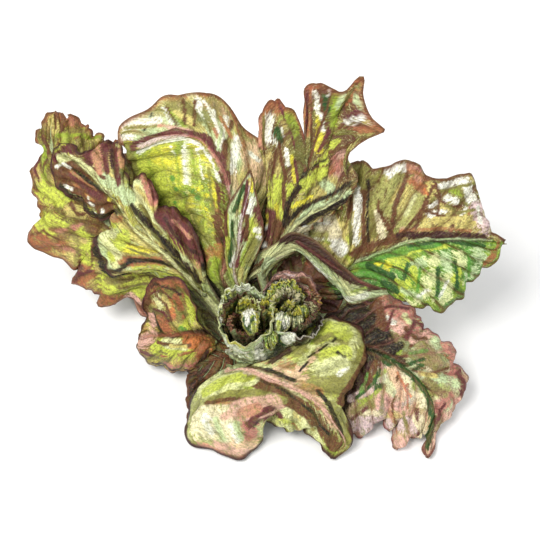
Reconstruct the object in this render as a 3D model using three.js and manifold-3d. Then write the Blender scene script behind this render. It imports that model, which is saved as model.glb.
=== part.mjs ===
// Open head of a red oak-leaf lettuce: a short stem with its cut base and the leaves that grow from it.
// Millimetres, +Z up. The origin is the middle of the underside: x to the right, y to the back of the head.
import * as THREE from 'three';
import Module from 'manifold-3d';

// ---- driving dimensions -------------------------------------------------
const STEM_BASE_RADIUS = 15.5;   // cut base of the stem
const STEM_HEIGHT = 32;          // up to where the heart leaves start
const BLADE_THICKNESS = 1.3;     // leaf blade
const MARGIN_THICKNESS = 0.9;    // at the leaf's edge
const RIB_THICKNESS = 2.0;       // added over the midrib at the leaf's base
const HEART_THICKNESS = 1.1;     // small curled leaves of the heart
const GAP = 0.35;                // air between neighbouring leaves
const GROUND_CLEARANCE = 0.3;    // underside of the leaves that lie on the surface
const NORMAL_PASSES = 5;         // how far the blade's direction is evened out

// direction in which the blades crown between rib and edge
const CROWN = [0.0000, -0.6428, 0.7660];

// Outer leaves. mid: midrib from the stem to the tip; left and right: edges as [position along the leaf 0..1, x, y, z];
// bendLeft, bendRight: how far the blade is drawn sideways halfway between rib and edge, at such positions.
const LEAVES = {
  top_lobed_leaf: {
    mid: [[0, 17, 24], [-10.8, 26.7, 47], [-2.4, 28.3, 59], [5.9, 32.3, 67], [14.1, 39.3, 76], [21.6, 42.9, 86], [30.8, 45.2, 93], [40.5, 46, 99], [50.8, 50.7, 105]],
    left: [[0, -4, 17.5, 25], [0.1, -13.8, 29.6, 50], [0.2, -8.3, 35, 62], [0.28, 0, 40.2, 75], [0.34, 4.7, 46.1, 86], [0.38, 4.1, 50.5, 95], [0.42, 6.4, 58, 109], [0.46, 3, 65, 124], [0.5, -1, 68.9, 133], [0.54, -1.5, 72.9, 141], [0.58, 2.4, 77, 148], [0.62, 8.1, 77.9, 151], [0.66, 14.3, 75.4, 148], [0.7, 20.5, 70.8, 143], [0.73, 25.1, 64.7, 134], [0.755, 23.3, 69.8, 144], [0.78, 24.4, 74.8, 154], [0.81, 26, 79, 160], [0.84, 32.7, 80.1, 162], [0.87, 40.6, 77.6, 159], [0.89, 48.5, 77.8, 158], [0.91, 57.5, 84.2, 162], [0.93, 57.6, 76.4, 154], [0.95, 61.6, 69.4, 146], [0.965, 70.2, 64.3, 140], [0.98, 59.1, 62.1, 135], [0.99, 49.1, 58.9, 127], [1, 48.8, 53.8, 115]],
    right: [[0, 4, 16.5, 23], [0.1, -6.6, 26.8, 45], [0.3, 7.7, 34.7, 56], [0.5, 19.5, 42.4, 68], [0.7, 34.2, 49.9, 80], [0.85, 44.4, 50.3, 90], [1, 52.1, 50.4, 101]],
    bendLeft: [[0, 0, 0, 0], [0.76, 0, 0, 0], [0.82, -1.2, 0, 0], [0.87, -5.3, 0, 0], [0.91, -10.6, 1.4, 1.1], [0.93, -10.6, 2.3, 1.9], [0.95, -10.6, 4.1, 3.4], [0.965, -12.4, 4.5, 3.8], [0.98, -7.1, 1.8, 1.5], [0.99, -1.8, 0, 0], [1, 0, 0, 0]],
    bulge: [0, 2], rib: 0.6, rows: 21, relax: 12, columns: [-1, -0.62, -0.28, 0, 0.28, 0.62, 1], color: '#8b8a46',
  },
  right_ruffled_leaf: {
    mid: [[17, 6, 18], [25.7, 29.3, 40], [40.4, 28.8, 50], [49.2, 30, 56], [55.6, 32.8, 61], [65.8, 33, 68], [76.1, 33.3, 74], [86.3, 34.3, 79], [98.7, 32.4, 83], [112.3, 30.6, 85], [127.4, 30.7, 84], [140.8, 32.7, 80]],
    left: [[0, 18, 2, 17], [0.08, 22.8, 24.1, 33], [0.16, 37.6, 20.1, 38], [0.26, 53.4, 20.6, 45], [0.36, 68.5, 21, 52], [0.42, 78.3, 17.9, 54], [0.48, 82.4, 13.5, 51], [0.54, 89.3, 9.8, 49], [0.6, 97, 9.1, 48], [0.66, 104, 6.9, 47], [0.72, 112.7, 9.8, 50], [0.78, 118.6, 14.1, 54], [0.83, 121.8, 18.3, 60], [0.88, 128.6, 21.7, 65], [0.93, 133.8, 24.5, 68], [0.97, 138.1, 27.9, 74], [1, 140.7, 31.9, 80]],
    right: [[0, 15, 10, 19], [0.07, 13.2, 41.7, 42], [0.14, 14.9, 48.8, 56], [0.2, 21.4, 54.9, 69], [0.27, 33.1, 62.2, 84], [0.33, 43.4, 65.9, 99], [0.39, 49.5, 66.9, 108], [0.44, 55.1, 66.1, 113], [0.49, 59.6, 65.2, 114], [0.53, 64.2, 61.5, 112], [0.57, 70.4, 60.4, 114], [0.61, 77.2, 61.5, 117], [0.65, 84.6, 62.1, 118], [0.69, 91.2, 61.2, 114], [0.73, 95.9, 57.8, 110], [0.77, 102.5, 57.5, 107], [0.81, 110.2, 59.9, 107], [0.85, 117.5, 63.2, 106], [0.89, 123.6, 62.9, 103], [0.92, 126.4, 55.6, 98], [0.945, 126.8, 49, 94], [0.965, 130.7, 41.7, 90], [0.985, 134, 35.1, 86], [1, 140.9, 33.5, 80]],
    bulge: [6, 2], rib: 1, rows: 19, relax: 3, columns: [-1, -0.62, -0.28, 0, 0.28, 0.62, 1], color: '#8f9a4c',
  },
  back_left_leaf: {
    mid: [[-8, 15, 22], [-23.8, 22.7, 50], [-22.3, 34.3, 71], [-19.2, 45.7, 89], [-19.6, 54.1, 103], [-23.6, 61.2, 114], [-33.3, 69.9, 124], [-43.5, 72.3, 128], [-55.7, 72.5, 127], [-67.5, 72.8, 121], [-76, 72.9, 116]],
    left: [[0, -11, 13, 21], [0.1, -29.9, 26, 44], [0.2, -34.7, 36.5, 52], [0.32, -39.4, 46, 62], [0.45, -47.9, 55.8, 68], [0.6, -61.1, 64.9, 74], [0.72, -69.4, 72.1, 82], [0.82, -76.2, 77.4, 92], [0.92, -79.5, 77.3, 104], [1, -78.6, 74.9, 114]],
    right: [[0, -5, 17, 23], [0.12, -14.4, 32.7, 50], [0.24, -5.9, 43, 70], [0.34, 1.2, 55.5, 86], [0.42, 6.5, 66.2, 97], [0.48, 6.5, 72.8, 107], [0.54, 0, 77.6, 117], [0.6, -10.3, 79.9, 127], [0.66, -17.7, 86, 137], [0.72, -26.2, 88.6, 144], [0.78, -35.9, 87.9, 147], [0.84, -46.6, 85.4, 147], [0.89, -56.5, 86.7, 145], [0.93, -65.3, 83.3, 138], [0.96, -77.4, 84.2, 130], [0.98, -83.8, 84.1, 122], [1, -81.9, 76, 117]],
    bulge: [12, 0], rib: 1, rows: 15, relax: 3, columns: [-1, -0.62, -0.28, 0, 0.28, 0.62, 1], color: '#a7b055',
  },
  left_ruffled_leaf: {
    mid: [[-14, 9, 20], [-33.9, 20.6, 45], [-47.3, 29, 59], [-58.4, 37, 67], [-72.5, 44.9, 75], [-80.4, 54.6, 80], [-91.4, 66, 86], [-105.1, 80.9, 91], [-117.9, 92.4, 92], [-123.8, 98.1, 93]],
    left: [[0, -16, 6, 19], [0.1, -39.5, 22.3, 42], [0.17, -50.2, 30.5, 48], [0.23, -62.4, 36.6, 50], [0.29, -73.8, 39.7, 51], [0.35, -81, 38.2, 50], [0.41, -88.2, 35.2, 47], [0.47, -94.7, 40.3, 53], [0.53, -98.2, 46.9, 60], [0.59, -95.1, 52.8, 66], [0.64, -88.8, 55.4, 72], [0.68, -83.8, 57.3, 77], [0.72, -89.5, 59.3, 74], [0.76, -96.4, 58.8, 70], [0.8, -102, 62.1, 70], [0.84, -109.4, 69.8, 74], [0.88, -118.9, 73.4, 78], [0.92, -124.8, 77.1, 82], [0.96, -125.2, 87.2, 87], [1, -124.9, 96.6, 92]],
    right: [[0, -12, 11, 21], [0.1, -31.9, 23.9, 56], [0.18, -34.6, 29.1, 68], [0.26, -37.3, 37.3, 80], [0.34, -47.2, 48.1, 89], [0.4, -54.8, 50.8, 92], [0.44, -61.3, 51.6, 92], [0.48, -63.6, 61.1, 99], [0.52, -67.8, 66.1, 103], [0.56, -73.1, 64.9, 100], [0.61, -76.3, 63.2, 95], [0.66, -79.9, 69.1, 99], [0.72, -80.6, 77.3, 104], [0.77, -83.3, 85.9, 107], [0.82, -90, 89.3, 107], [0.88, -99.7, 86.6, 103], [0.93, -107.8, 86.4, 99], [0.965, -113.2, 94.7, 99], [1, -121.7, 97.8, 95]],
    bulge: [2, 4], rib: 1, rows: 17, relax: 3, columns: [-1, -0.62, -0.28, 0, 0.28, 0.62, 1], color: '#8e8f4c',
  },
  front_lobed_leaf: {
    mid: [[-5, -18, 16], [-17.6, -19.9, 27], [-9.3, -24.3, 33], [0.1, -31.5, 36], [12.7, -37.8, 36], [25.3, -43.4, 33], [35.7, -49, 27], [42.1, -53.9, 20], [46.8, -57.5, 13], [48.7, -60.4, 7], [42.9, -65.3, 3]],
    left: [[0, -9, -16, 15], [0.04, -22.4, -18.4, 24], [0.08, -28.2, -21.3, 23], [0.13, -36.4, -26.4, 19], [0.18, -41.1, -32.9, 14], [0.22, -44, -41.5, 8], [0.26, -44.5, -48.7, 4], [0.3, -40.3, -55, 2], [0.34, -31.9, -60, 2.2], [0.38, -22, -63.4, 2.2], [0.42, -12.7, -64.8, 2.2], [0.46, -5.8, -61.6, 2.5], [0.5, 0, -56.3, 4], [0.54, -2.3, -51.4, 7], [0.58, -1.1, -47.8, 10], [0.63, 4.1, -46.4, 12], [0.68, 9.4, -48.5, 10], [0.73, 14.6, -50.7, 7], [0.78, 18.7, -47.8, 11], [0.83, 22.8, -47.1, 12], [0.88, 25.7, -51.3, 9], [0.92, 32, -56.3, 6], [0.96, 36.6, -61.2, 3], [1, 40, -66.3, 2.4]],
    right: [[0, -1, -18, 17], [0.08, -12.9, -16.3, 29], [0.16, 0, -17.8, 32], [0.24, 13.5, -16.3, 35], [0.3, 21.1, -9.1, 38], [0.36, 26.4, -0.3, 41], [0.42, 34.1, 4.1, 43], [0.48, 42.9, 5.5, 44], [0.54, 52.3, 2.5, 44], [0.6, 59.2, -3.3, 42], [0.65, 61.9, -11.3, 39], [0.69, 60.6, -18.5, 36], [0.73, 56.4, -25.7, 33], [0.77, 49.3, -30.7, 31], [0.81, 44.1, -34.9, 29], [0.85, 43.4, -39.9, 26], [0.88, 45.8, -44.8, 21], [0.91, 49.3, -50.5, 15], [0.94, 51.7, -55.5, 10], [0.97, 51.1, -59.8, 5], [1, 42.3, -66.3, 2.4]],
    bendLeft: [[0, 0, 0, 0], [0.25, -2.4, 0, 0], [0.38, -7.1, 0, 0], [0.46, -8.8, 0, 0], [0.5, -7.1, 0.9, 0.8], [0.54, -3.5, 1.4, 1.1], [0.58, -0.6, 1.4, 1.1], [0.68, 0, 0.9, 0.8], [0.8, 0, 0, 0], [1, 0, 0, 0]],
    bulge: [7, 6], rib: 1, rows: 20, relax: 4, columns: [-1, -0.62, -0.28, 0, 0.28, 0.62, 1], color: '#bcc26a',
  },
  front_right_leaf: {
    mid: [[17, -5, 14], [33.2, -2.2, 26], [51.8, -7.5, 33], [66.7, -13.4, 35], [76.4, -19.2, 34], [86.2, -24.2, 31], [92.6, -30, 27], [98.4, -36.4, 21], [100.3, -41.4, 15], [99.2, -48.5, 9], [96.6, -57.7, 4], [95.6, -65.6, 2.4]],
    left: [[0, 16, -9, 13], [0.08, 23.8, -3.7, 18], [0.16, 33.2, -15.5, 16], [0.24, 42.5, -28.6, 12], [0.32, 48.8, -41.6, 6], [0.4, 52.7, -50.8, 2], [0.46, 58.6, -50.1, 2], [0.52, 63.9, -47.3, 4], [0.57, 67.5, -41.5, 8], [0.61, 69.2, -40.1, 9], [0.65, 71.5, -45.8, 5], [0.7, 75.6, -46.5, 5], [0.74, 74.8, -53.3, 2.5], [0.78, 77.5, -57.9, 2.2], [0.83, 84.7, -54.3, 3], [0.88, 91.2, -50.7, 5], [0.93, 94.1, -53.6, 3], [0.97, 93.2, -59.2, 2], [1, 95.1, -65.5, 2.2]],
    right: [[0, 17, -1, 15], [0.08, 29.9, 10.5, 25], [0.16, 41.8, 16.4, 35], [0.24, 52.3, 17.7, 41], [0.3, 62.9, 19.1, 45], [0.36, 72.3, 19.8, 47], [0.42, 80.6, 18.3, 46], [0.48, 88.2, 13.1, 43], [0.53, 94.2, 9.5, 39], [0.57, 95.3, 3.6, 35], [0.61, 101.2, 1.4, 33], [0.65, 108.4, -1.5, 30], [0.69, 112.6, -5.2, 26], [0.73, 113.1, -11.1, 22], [0.77, 118.6, -14.7, 18], [0.81, 120.2, -20.6, 15], [0.85, 117.5, -27.9, 12], [0.89, 111.3, -34.4, 10], [0.92, 105.7, -39.4, 9], [0.95, 104.2, -47.2, 6], [0.975, 102.7, -54.2, 4], [1, 96.8, -65.5, 2.2]],
    bulge: [5, 5], rib: 1, rows: 20, relax: 4, columns: [-1, -0.62, -0.28, 0, 0.28, 0.62, 1], color: '#a56c5c',
  },
  right_folded_leaf: {
    mid: [[7, 13, 31], [0, 28.1, 62], [8.8, 32.7, 71], [17, 36.1, 77], [24, 33.1, 76], [33.9, 28.1, 71], [45.1, 21.9, 63], [52.8, 17.7, 57], [64.7, 17.1, 54], [80.2, 18.7, 52]],
    left: [[0, 9, 11, 30], [0.12, 3.5, 28.4, 57], [0.3, 15.3, 33.9, 66], [0.4, 21.8, 35.3, 68], [0.5, 30.1, 31.1, 62], [0.62, 40.2, 24, 54], [0.7, 47.3, 18.9, 49], [0.76, 52.6, 14.5, 45], [0.84, 62.6, 15.1, 48], [1, 80.3, 18.8, 51]],
    right: [[0, 5, 14, 32], [0.12, -4.7, 31, 64], [0.28, 8.2, 34.5, 77], [0.38, 16.9, 36.9, 84], [0.48, 28, 34, 82], [0.58, 38.5, 29.2, 76], [0.68, 47.2, 22.9, 70], [0.78, 56.2, 19.6, 63], [0.88, 68, 17.6, 58], [1, 80.7, 18.7, 53]],
    bulge: [0, 0], rib: 0.3, rows: 12, relax: 3, columns: [-1, -0.5, 0, 0.5, 1], color: '#b9c78e',
  },
  small_upright_leaf: {
    mid: [[-3, 13, 29], [-16.6, 26.1, 57], [-14.1, 34.3, 71], [-12.1, 38.8, 88], [-9.1, 45.1, 100], [-6.8, 49.9, 110], [-6.7, 54.1, 118]],
    left: [[0, -5, 12, 28], [0.15, -22.5, 24.7, 55], [0.3, -22.3, 33.6, 70], [0.5, -22.1, 40.6, 86], [0.65, -19.6, 45.4, 98], [0.82, -12, 51.6, 109], [1, -7.3, 54.1, 118]],
    right: [[0, -1, 13, 30], [0.15, -9.4, 26.7, 60], [0.3, -2.3, 30.3, 72], [0.45, 1.2, 36.9, 84], [0.6, -0.5, 42.6, 95], [0.78, -3.4, 48.2, 106], [0.9, -4.5, 52, 112], [1, -6.2, 54.1, 118]],
    bulge: [0, 0], rib: 1, rows: 9, relax: 3, columns: [-1, -0.5, 0, 0.5, 1], color: '#94905a',
  },
  right_inner_leaf: {
    mid: [[11, 10, 30], [16.6, 19.2, 43], [24.9, 25, 50], [32.6, 29.3, 55], [38.5, 32.9, 59]],
    left: [[0, 13, 7, 29], [0.2, 27.3, 14, 38], [0.45, 41.5, 12.4, 40], [0.7, 47.4, 16.8, 44], [0.88, 47.4, 24.1, 51], [1, 41.4, 31.4, 58]],
    right: [[0, 8, 12, 31], [0.2, 8.9, 26.9, 42], [0.45, 8.9, 35, 50], [0.7, 15.5, 40.9, 56], [0.88, 27.3, 39.9, 59], [1, 36.7, 35.2, 60]],
    bulge: [-3, -3], rib: 1, rows: 8, relax: 3, columns: [-1, -0.5, 0, 0.5, 1], color: '#a99a6c',
  },
  left_curled_leaf: {
    mid: [[-17, -6, 18], [-29.7, -1.5, 30], [-37.8, -0.9, 34], [-47.8, -1.7, 36], [-57.3, -0.9, 34], [-65.5, 2.9, 29], [-73.2, 6, 23]],
    left: [[0, -16, -9, 17], [0.12, -28.6, -3.7, 24], [0.22, -31.1, -5.2, 20], [0.34, -35.9, -7.4, 15], [0.47, -43.2, -8.9, 11], [0.6, -53, -7.4, 8], [0.72, -61.7, -3, 7], [0.82, -69.7, 0, 7], [0.9, -74.4, 3.8, 12], [1, -74.7, 6.8, 20]],
    right: [[0, -17, -2, 19], [0.1, -33.1, 2, 36], [0.2, -38.2, 4.8, 44], [0.3, -39.2, 9.6, 53], [0.4, -43.3, 16, 60], [0.5, -52.8, 21.9, 62], [0.6, -62.5, 23.7, 58], [0.7, -68.7, 21.8, 51], [0.8, -70.1, 16.9, 43], [0.9, -69.3, 12.6, 34], [1, -73.9, 8.3, 24]],
    bulge: [9, -8], rib: 0.5, rows: 13, relax: 3, columns: [-1, -0.62, -0.28, 0, 0.28, 0.62, 1], color: '#a87c4c',
  },
  left_outer_leaf: {
    mid: [[-17, 5, 13], [-42.5, 32.6, 34], [-66.3, 42.9, 50], [-90.1, 58.4, 66], [-111.2, 76.5, 80], [-125.7, 96, 90], [-128.2, 118.8, 98]],
    left: [[0, -17, 1, 12], [0.1, -30.5, 16, 18], [0.2, -48.9, 19.8, 16], [0.28, -64, 26, 13], [0.34, -73.3, 29.1, 14], [0.38, -81.2, 36.1, 20], [0.42, -92, 37, 17], [0.46, -102.3, 36.9, 19], [0.5, -104.5, 42.3, 26], [0.54, -116.9, 44.7, 27], [0.58, -113.2, 49.9, 37], [0.62, -125.8, 52.9, 42], [0.66, -141.2, 59.1, 46], [0.71, -137.8, 68.1, 56], [0.75, -132.5, 73.2, 64], [0.79, -140.3, 82.7, 68], [0.84, -137.2, 97.8, 76], [0.88, -134, 106.2, 84], [0.92, -137.9, 114.8, 90], [0.96, -133.4, 117.7, 94], [1, -127.3, 122.3, 98]],
    right: [[0, -16, 9, 14], [0.12, -31.8, 45.1, 38], [0.28, -42.5, 56.9, 54], [0.42, -56.9, 73.4, 70], [0.55, -72.7, 88.7, 82], [0.66, -86, 99.3, 91], [0.74, -95.7, 103.9, 94], [0.8, -101.8, 106.2, 96], [0.86, -106.1, 110.2, 98], [0.91, -112.6, 116.8, 100], [0.95, -117.9, 114.3, 99], [0.975, -122.7, 122, 100], [1, -126.6, 122.3, 98]],
    bulge: [3, 3], rib: 1, rows: 19, relax: 3, columns: [-1, -0.62, -0.28, 0, 0.28, 0.62, 1], color: '#8a7a45',
  },
  front_under_leaf: {
    mid: [[-13, -12, 11], [-28.6, -16.2, 13], [-32.7, -25.8, 9], [-34.2, -37.3, 5], [-33.4, -48.7, 2]],
    left: [[0, -15, -8, 11], [0.2, -37.1, -10.3, 15], [0.35, -44.2, -13.3, 13], [0.5, -44.6, -22.8, 10], [0.7, -44.3, -35.2, 5], [0.88, -42.2, -48.7, 2], [1, -35, -53.8, 2.2]],
    right: [[0, -10, -14, 11], [0.2, -19.1, -19.9, 12], [0.35, -14.3, -25.8, 8], [0.6, -13, -38.1, 3], [0.85, -21.1, -50.3, 2.2], [1, -31.5, -53.8, 2.2]],
    bulge: [2, 1], rib: 1, rows: 7, relax: 3, columns: [-1, -0.5, 0, 0.5, 1], color: '#6d4a3c',
  },
  back_middle_leaf: {
    mid: [[6, 15.5, 19], [-2, 51.1, 44], [-0.2, 61.6, 56], [1.7, 72.6, 70], [2.9, 81.3, 81], [2.3, 86.2, 88]],
    left: [[0, 2, 16.5, 19], [0.2, -9.3, 51, 46], [0.42, -14.7, 60.8, 57], [0.62, -13.4, 71.9, 69], [0.8, -9.2, 79.9, 79], [0.92, -4.3, 84.8, 86], [1, 1.1, 87.1, 88]],
    right: [[0, 10, 14, 19], [0.2, 5.3, 52, 43], [0.42, 14.4, 62.7, 53], [0.62, 18, 73.8, 66], [0.8, 15.6, 81.5, 79], [0.92, 9.5, 85.5, 87], [1, 3.5, 87.1, 88]],
    bulge: [3, 3], rib: 1, rows: 8, relax: 3, columns: [-1, -0.5, 0, 0.5, 1], color: '#8a7a45',
  },
  back_middle_left_leaf: {
    mid: [[-8, 15, 15], [-18.7, 57.3, 33], [-25.5, 72.2, 44], [-32.5, 88.2, 53], [-37.5, 101, 62], [-41, 108.4, 73], [-43.7, 108.8, 84]],
    left: [[0, -12, 12, 15], [0.15, -26.1, 55.8, 31], [0.32, -47.2, 66, 38], [0.48, -63.4, 78.7, 46], [0.6, -61, 87.5, 52], [0.72, -70.8, 96.1, 60], [0.86, -64.5, 108.5, 72], [1, -45.5, 108.8, 84]],
    right: [[0, -4, 17, 15], [0.15, -12.6, 60.5, 33], [0.32, -7.7, 74, 42], [0.48, -2.8, 89.3, 50], [0.6, -10.2, 94.7, 56], [0.72, -7.7, 105.9, 64], [0.86, -16.3, 109.8, 76], [1, -41.8, 108.6, 85]],
    bulge: [3, 3], rib: 1, rows: 9, relax: 3, columns: [-1, -0.5, 0, 0.5, 1], color: '#7f7a42',
  },
  back_middle_right_leaf: {
    mid: [[9, 14, 15], [18.2, 54.1, 33], [31.8, 65.8, 42], [44.2, 78.4, 50], [55.3, 87.8, 58], [63.5, 89.5, 67]],
    left: [[0, 5, 16.5, 15], [0.15, 12.1, 56.4, 34], [0.32, 15.8, 68.9, 44], [0.48, 22, 85.6, 55], [0.6, 33, 86.2, 58], [0.72, 36.7, 92.3, 64], [0.86, 50.7, 91.9, 68], [1, 62.3, 90.3, 68]],
    right: [[0, 13, 11, 15], [0.15, 25.6, 50.9, 31], [0.32, 48.9, 55.6, 35], [0.48, 71.1, 64.2, 42], [0.6, 72.5, 74.5, 47], [0.72, 86.1, 79.2, 51], [0.86, 82.3, 87.7, 60], [1, 65.4, 89.5, 67]],
    bulge: [3, 3], rib: 1, rows: 9, relax: 3, columns: [-1, -0.5, 0, 0.5, 1], color: '#7f7440',
  },
  back_low_leaf: {
    mid: [[0, 16, 14], [0, 42, 15], [2, 70, 14], [3, 94, 18], [4, 110, 28], [4, 118, 39]],
    left: [[0, -5, 16, 14], [0.2, -22, 42, 16], [0.35, -34, 60, 16], [0.5, -38, 80, 16], [0.62, -22, 89, 18], [0.75, -30, 104, 26], [0.88, -16, 114, 35], [1, 2, 119, 40]],
    right: [[0, 5, 16, 14], [0.2, 22, 42, 16], [0.35, 36, 60, 16], [0.5, 42, 78, 16], [0.62, 28, 88, 18], [0.75, 36, 102, 26], [0.88, 22, 113, 35], [1, 6, 119, 40]],
    bulge: [2, 2], rib: 1, rows: 9, relax: 3, columns: [-1, -0.5, 0, 0.5, 1], color: '#7f7a42',
  },
  back_low_left_leaf: {
    mid: [[-12, 12, 8], [-30, 34, 4], [-52, 60, 2], [-70, 80, 5], [-82, 96, 13], [-88, 106, 23]],
    left: [[0, -16, 8, 8], [0.2, -45, 28, 5], [0.35, -68, 36, 3], [0.5, -82, 56, 2], [0.62, -80, 70, 3], [0.75, -100, 78, 8], [0.88, -100, 96, 18], [1, -90, 106, 24]],
    right: [[0, -8, 16, 8], [0.2, -16, 46, 5], [0.35, -20, 68, 3], [0.5, -32, 88, 3], [0.62, -48, 88, 4], [0.75, -56, 106, 10], [0.88, -74, 113, 20], [1, -87, 107, 24]],
    bulge: [2, 2], rib: 1, rows: 9, relax: 3, columns: [-1, -0.5, 0, 0.5, 1], color: '#7b7440',
  },
  back_low_right_leaf: {
    mid: [[12, 12, 8], [32, 32, 4], [54, 54, 2], [74, 74, 5], [88, 88, 12], [95, 95, 21]],
    left: [[0, 8, 16, 8], [0.2, 18, 44, 5], [0.35, 22, 66, 3], [0.5, 34, 84, 3], [0.62, 52, 82, 4], [0.75, 58, 100, 10], [0.88, 80, 104, 19], [1, 94, 96, 22]],
    right: [[0, 16, 8, 8], [0.2, 46, 18, 5], [0.35, 68, 24, 3], [0.5, 86, 36, 2], [0.62, 84, 50, 3], [0.75, 102, 60, 8], [0.88, 104, 80, 16], [1, 96, 95, 22]],
    bulge: [2, 2], rib: 1, rows: 9, relax: 3, columns: [-1, -0.5, 0, 0.5, 1], color: '#7d7641',
  },
};

// Heart leaves: each is part of a cup round the axis from base to top.
const HEART_LEAVES = {
  heart_left_outer_leaf: { base: [-6.5, -4.5, 33], top: [-10.2, -9.3, 61], R: 15.4, r0: 4, phi: -75, dphi: 150, flare: 0.9, droop: 0.1, spiral: 0.08, ruffle: [3, 0.5], w0: 0.45, mid: 0.55, rows: 7, columns: 11, color: '#c3cf9a' },
  heart_left_frill_leaf: { base: [-6.5, -3, 33], top: [-10.7, -6.1, 68], R: 14.6, r0: 3.8, phi: 98, dphi: 84, flare: 1.2, droop: 0.3, spiral: 0.02, ruffle: [9, 0.8], w0: 0.45, mid: 0.55, rows: 7, columns: 11, color: '#cdd99a' },
  heart_left_back_leaf: { base: [-6.5, -3.5, 34], top: [-10.7, -9, 67], R: 11.9, r0: 3.2, phi: 95, dphi: 120, flare: -0.4, droop: 0.22, spiral: 0.08, ruffle: [5, 0.6], w0: 0.45, mid: 0.55, rows: 7, columns: 11, color: '#9a8a5c' },
  heart_left_middle_leaf: { base: [-6.5, -4.5, 35], top: [-10.7, -10.9, 63], R: 9.2, r0: 2.6, phi: -130, dphi: 125, flare: -0.6, droop: 0.2, spiral: 0.1, ruffle: [4, 0.5], w0: 0.45, mid: 0.5, rows: 7, columns: 11, color: '#8c7a4c' },
  heart_left_inner_leaf: { base: [-6.5, -4.5, 36], top: [-8.4, -10.3, 66], R: 5.8, r0: 2, phi: 20, dphi: 130, flare: -0.4, droop: 0.3, spiral: 0.12, ruffle: [3, 0.4], w0: 0.45, mid: 0.5, rows: 6, columns: 9, color: '#c6d59a' },
  heart_left_bud: { base: [-6.5, -4.5, 37], top: [-8.5, -8.7, 63], R: 2.6, r0: 1.6, phi: 150, dphi: 140, flare: -0.7, droop: 0.3, spiral: 0.2, ruffle: [0, 0], w0: 0.45, mid: 0.4, rows: 6, columns: 9, color: '#b9c766' },
  heart_right_outer_leaf: { base: [8.5, 3, 33], top: [19.7, -1.2, 60], R: 17.4, r0: 4.2, phi: -60, dphi: 86, flare: 0.5, droop: 0.2, spiral: 0.05, ruffle: [4, 0.7], w0: 0.45, mid: 0.55, rows: 7, columns: 11, color: '#cbd2a0' },
  heart_right_back_leaf: { base: [8.5, 5, 34], top: [17.8, -1.9, 71], R: 17.2, r0: 4.2, phi: 80, dphi: 86, flare: 1.2, droop: 0.26, spiral: -0.04, ruffle: [7, 0.8], w0: 0.45, mid: 0.55, rows: 7, columns: 11, color: '#a8796c' },
  heart_right_side_leaf: { base: [8, 4, 35], top: [19.6, -0.9, 67], R: 13.2, r0: 3.4, phi: -16, dphi: 76, flare: -0.2, droop: 0.25, spiral: -0.05, ruffle: [6, 0.6], w0: 0.45, mid: 0.5, rows: 7, columns: 9, color: '#8b6a4e' },
  heart_right_frill_leaf: { base: [8, 4, 35], top: [16.1, -2.5, 69], R: 12.4, r0: 3.2, phi: 96, dphi: 74, flare: 0.6, droop: 0.22, spiral: 0.02, ruffle: [9, 0.7], w0: 0.45, mid: 0.52, rows: 7, columns: 9, color: '#9fb35a' },
  heart_right_middle_leaf: { base: [8, 4, 36], top: [16.7, -2.4, 68], R: 9, r0: 2.6, phi: 112, dphi: 105, flare: 0.2, droop: 0.28, spiral: 0.08, ruffle: [7, 0.7], w0: 0.45, mid: 0.5, rows: 7, columns: 9, color: '#8da24c' },
  heart_right_inner_leaf: { base: [8, 4, 37], top: [16.8, -2.3, 66], R: 6, r0: 1.9, phi: -60, dphi: 125, flare: 0.0, droop: 0.3, spiral: 0.12, ruffle: [5, 0.5], w0: 0.45, mid: 0.5, rows: 6, columns: 9, color: '#9aa656' },
  heart_right_bud: { base: [8, 4, 38], top: [16.8, -1.5, 65], R: 2.8, r0: 1.5, phi: 60, dphi: 140, flare: -0.7, droop: 0.3, spiral: 0.2, ruffle: [0, 0], w0: 0.45, mid: 0.4, rows: 6, columns: 9, color: '#b5c257' },
  heart_front_cup_leaf: { base: [-4, -7, 20], top: [-7.5, -5, 47], R: 15.5, r0: 6, phi: -88, dphi: 78, flare: 0.8, droop: 0.3, spiral: 0.05, ruffle: [4, 0.5], w0: 0.5, mid: 0.6, rows: 7, columns: 11, color: '#c9d4a8' },
};

// ---- curves and surfaces ------------------------------------------------
// smooth curve through points at the given parameters (cubic Hermite)
function hermite(T, pts, t) {
  const n = T.length;
  let i = 0;
  while (i < n - 2 && t >= T[i + 1]) i++;
  const tangent = (k) => {
    const lo = Math.max(k - 1, 0), hi = Math.min(k + 1, n - 1);
    return pts[hi].map((c, a) => (c - pts[lo][a]) / (T[hi] - T[lo]));
  };
  const h = T[i + 1] - T[i], s = (t - T[i]) / h;
  const m0 = tangent(i), m1 = tangent(i + 1);
  const a = 2 * s ** 3 - 3 * s ** 2 + 1, b = s ** 3 - 2 * s ** 2 + s, c = -2 * s ** 3 + 3 * s ** 2, d = s ** 3 - s ** 2;
  return [0, 1, 2].map((k) => a * pts[i][k] + b * h * m0[k] + c * pts[i + 1][k] + d * h * m1[k]);
}

// smooth step from 0 at a to 1 at b
function step(a, b, x) {
  const t = Math.min(Math.max((x - a) / (b - a), 0), 1);
  return t * t * (3 - 2 * t);
}

function chordParameters(pts) {
  const c = [0];
  for (let i = 1; i < pts.length; i++) {
    c.push(c[i - 1] + Math.hypot(...pts[i].map((v, k) => v - pts[i - 1][k])));
  }
  return c.map((v) => v / c[c.length - 1]);
}

const STRAIGHT = [[0, 0, 0, 0], [1, 0, 0, 0]];

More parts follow.
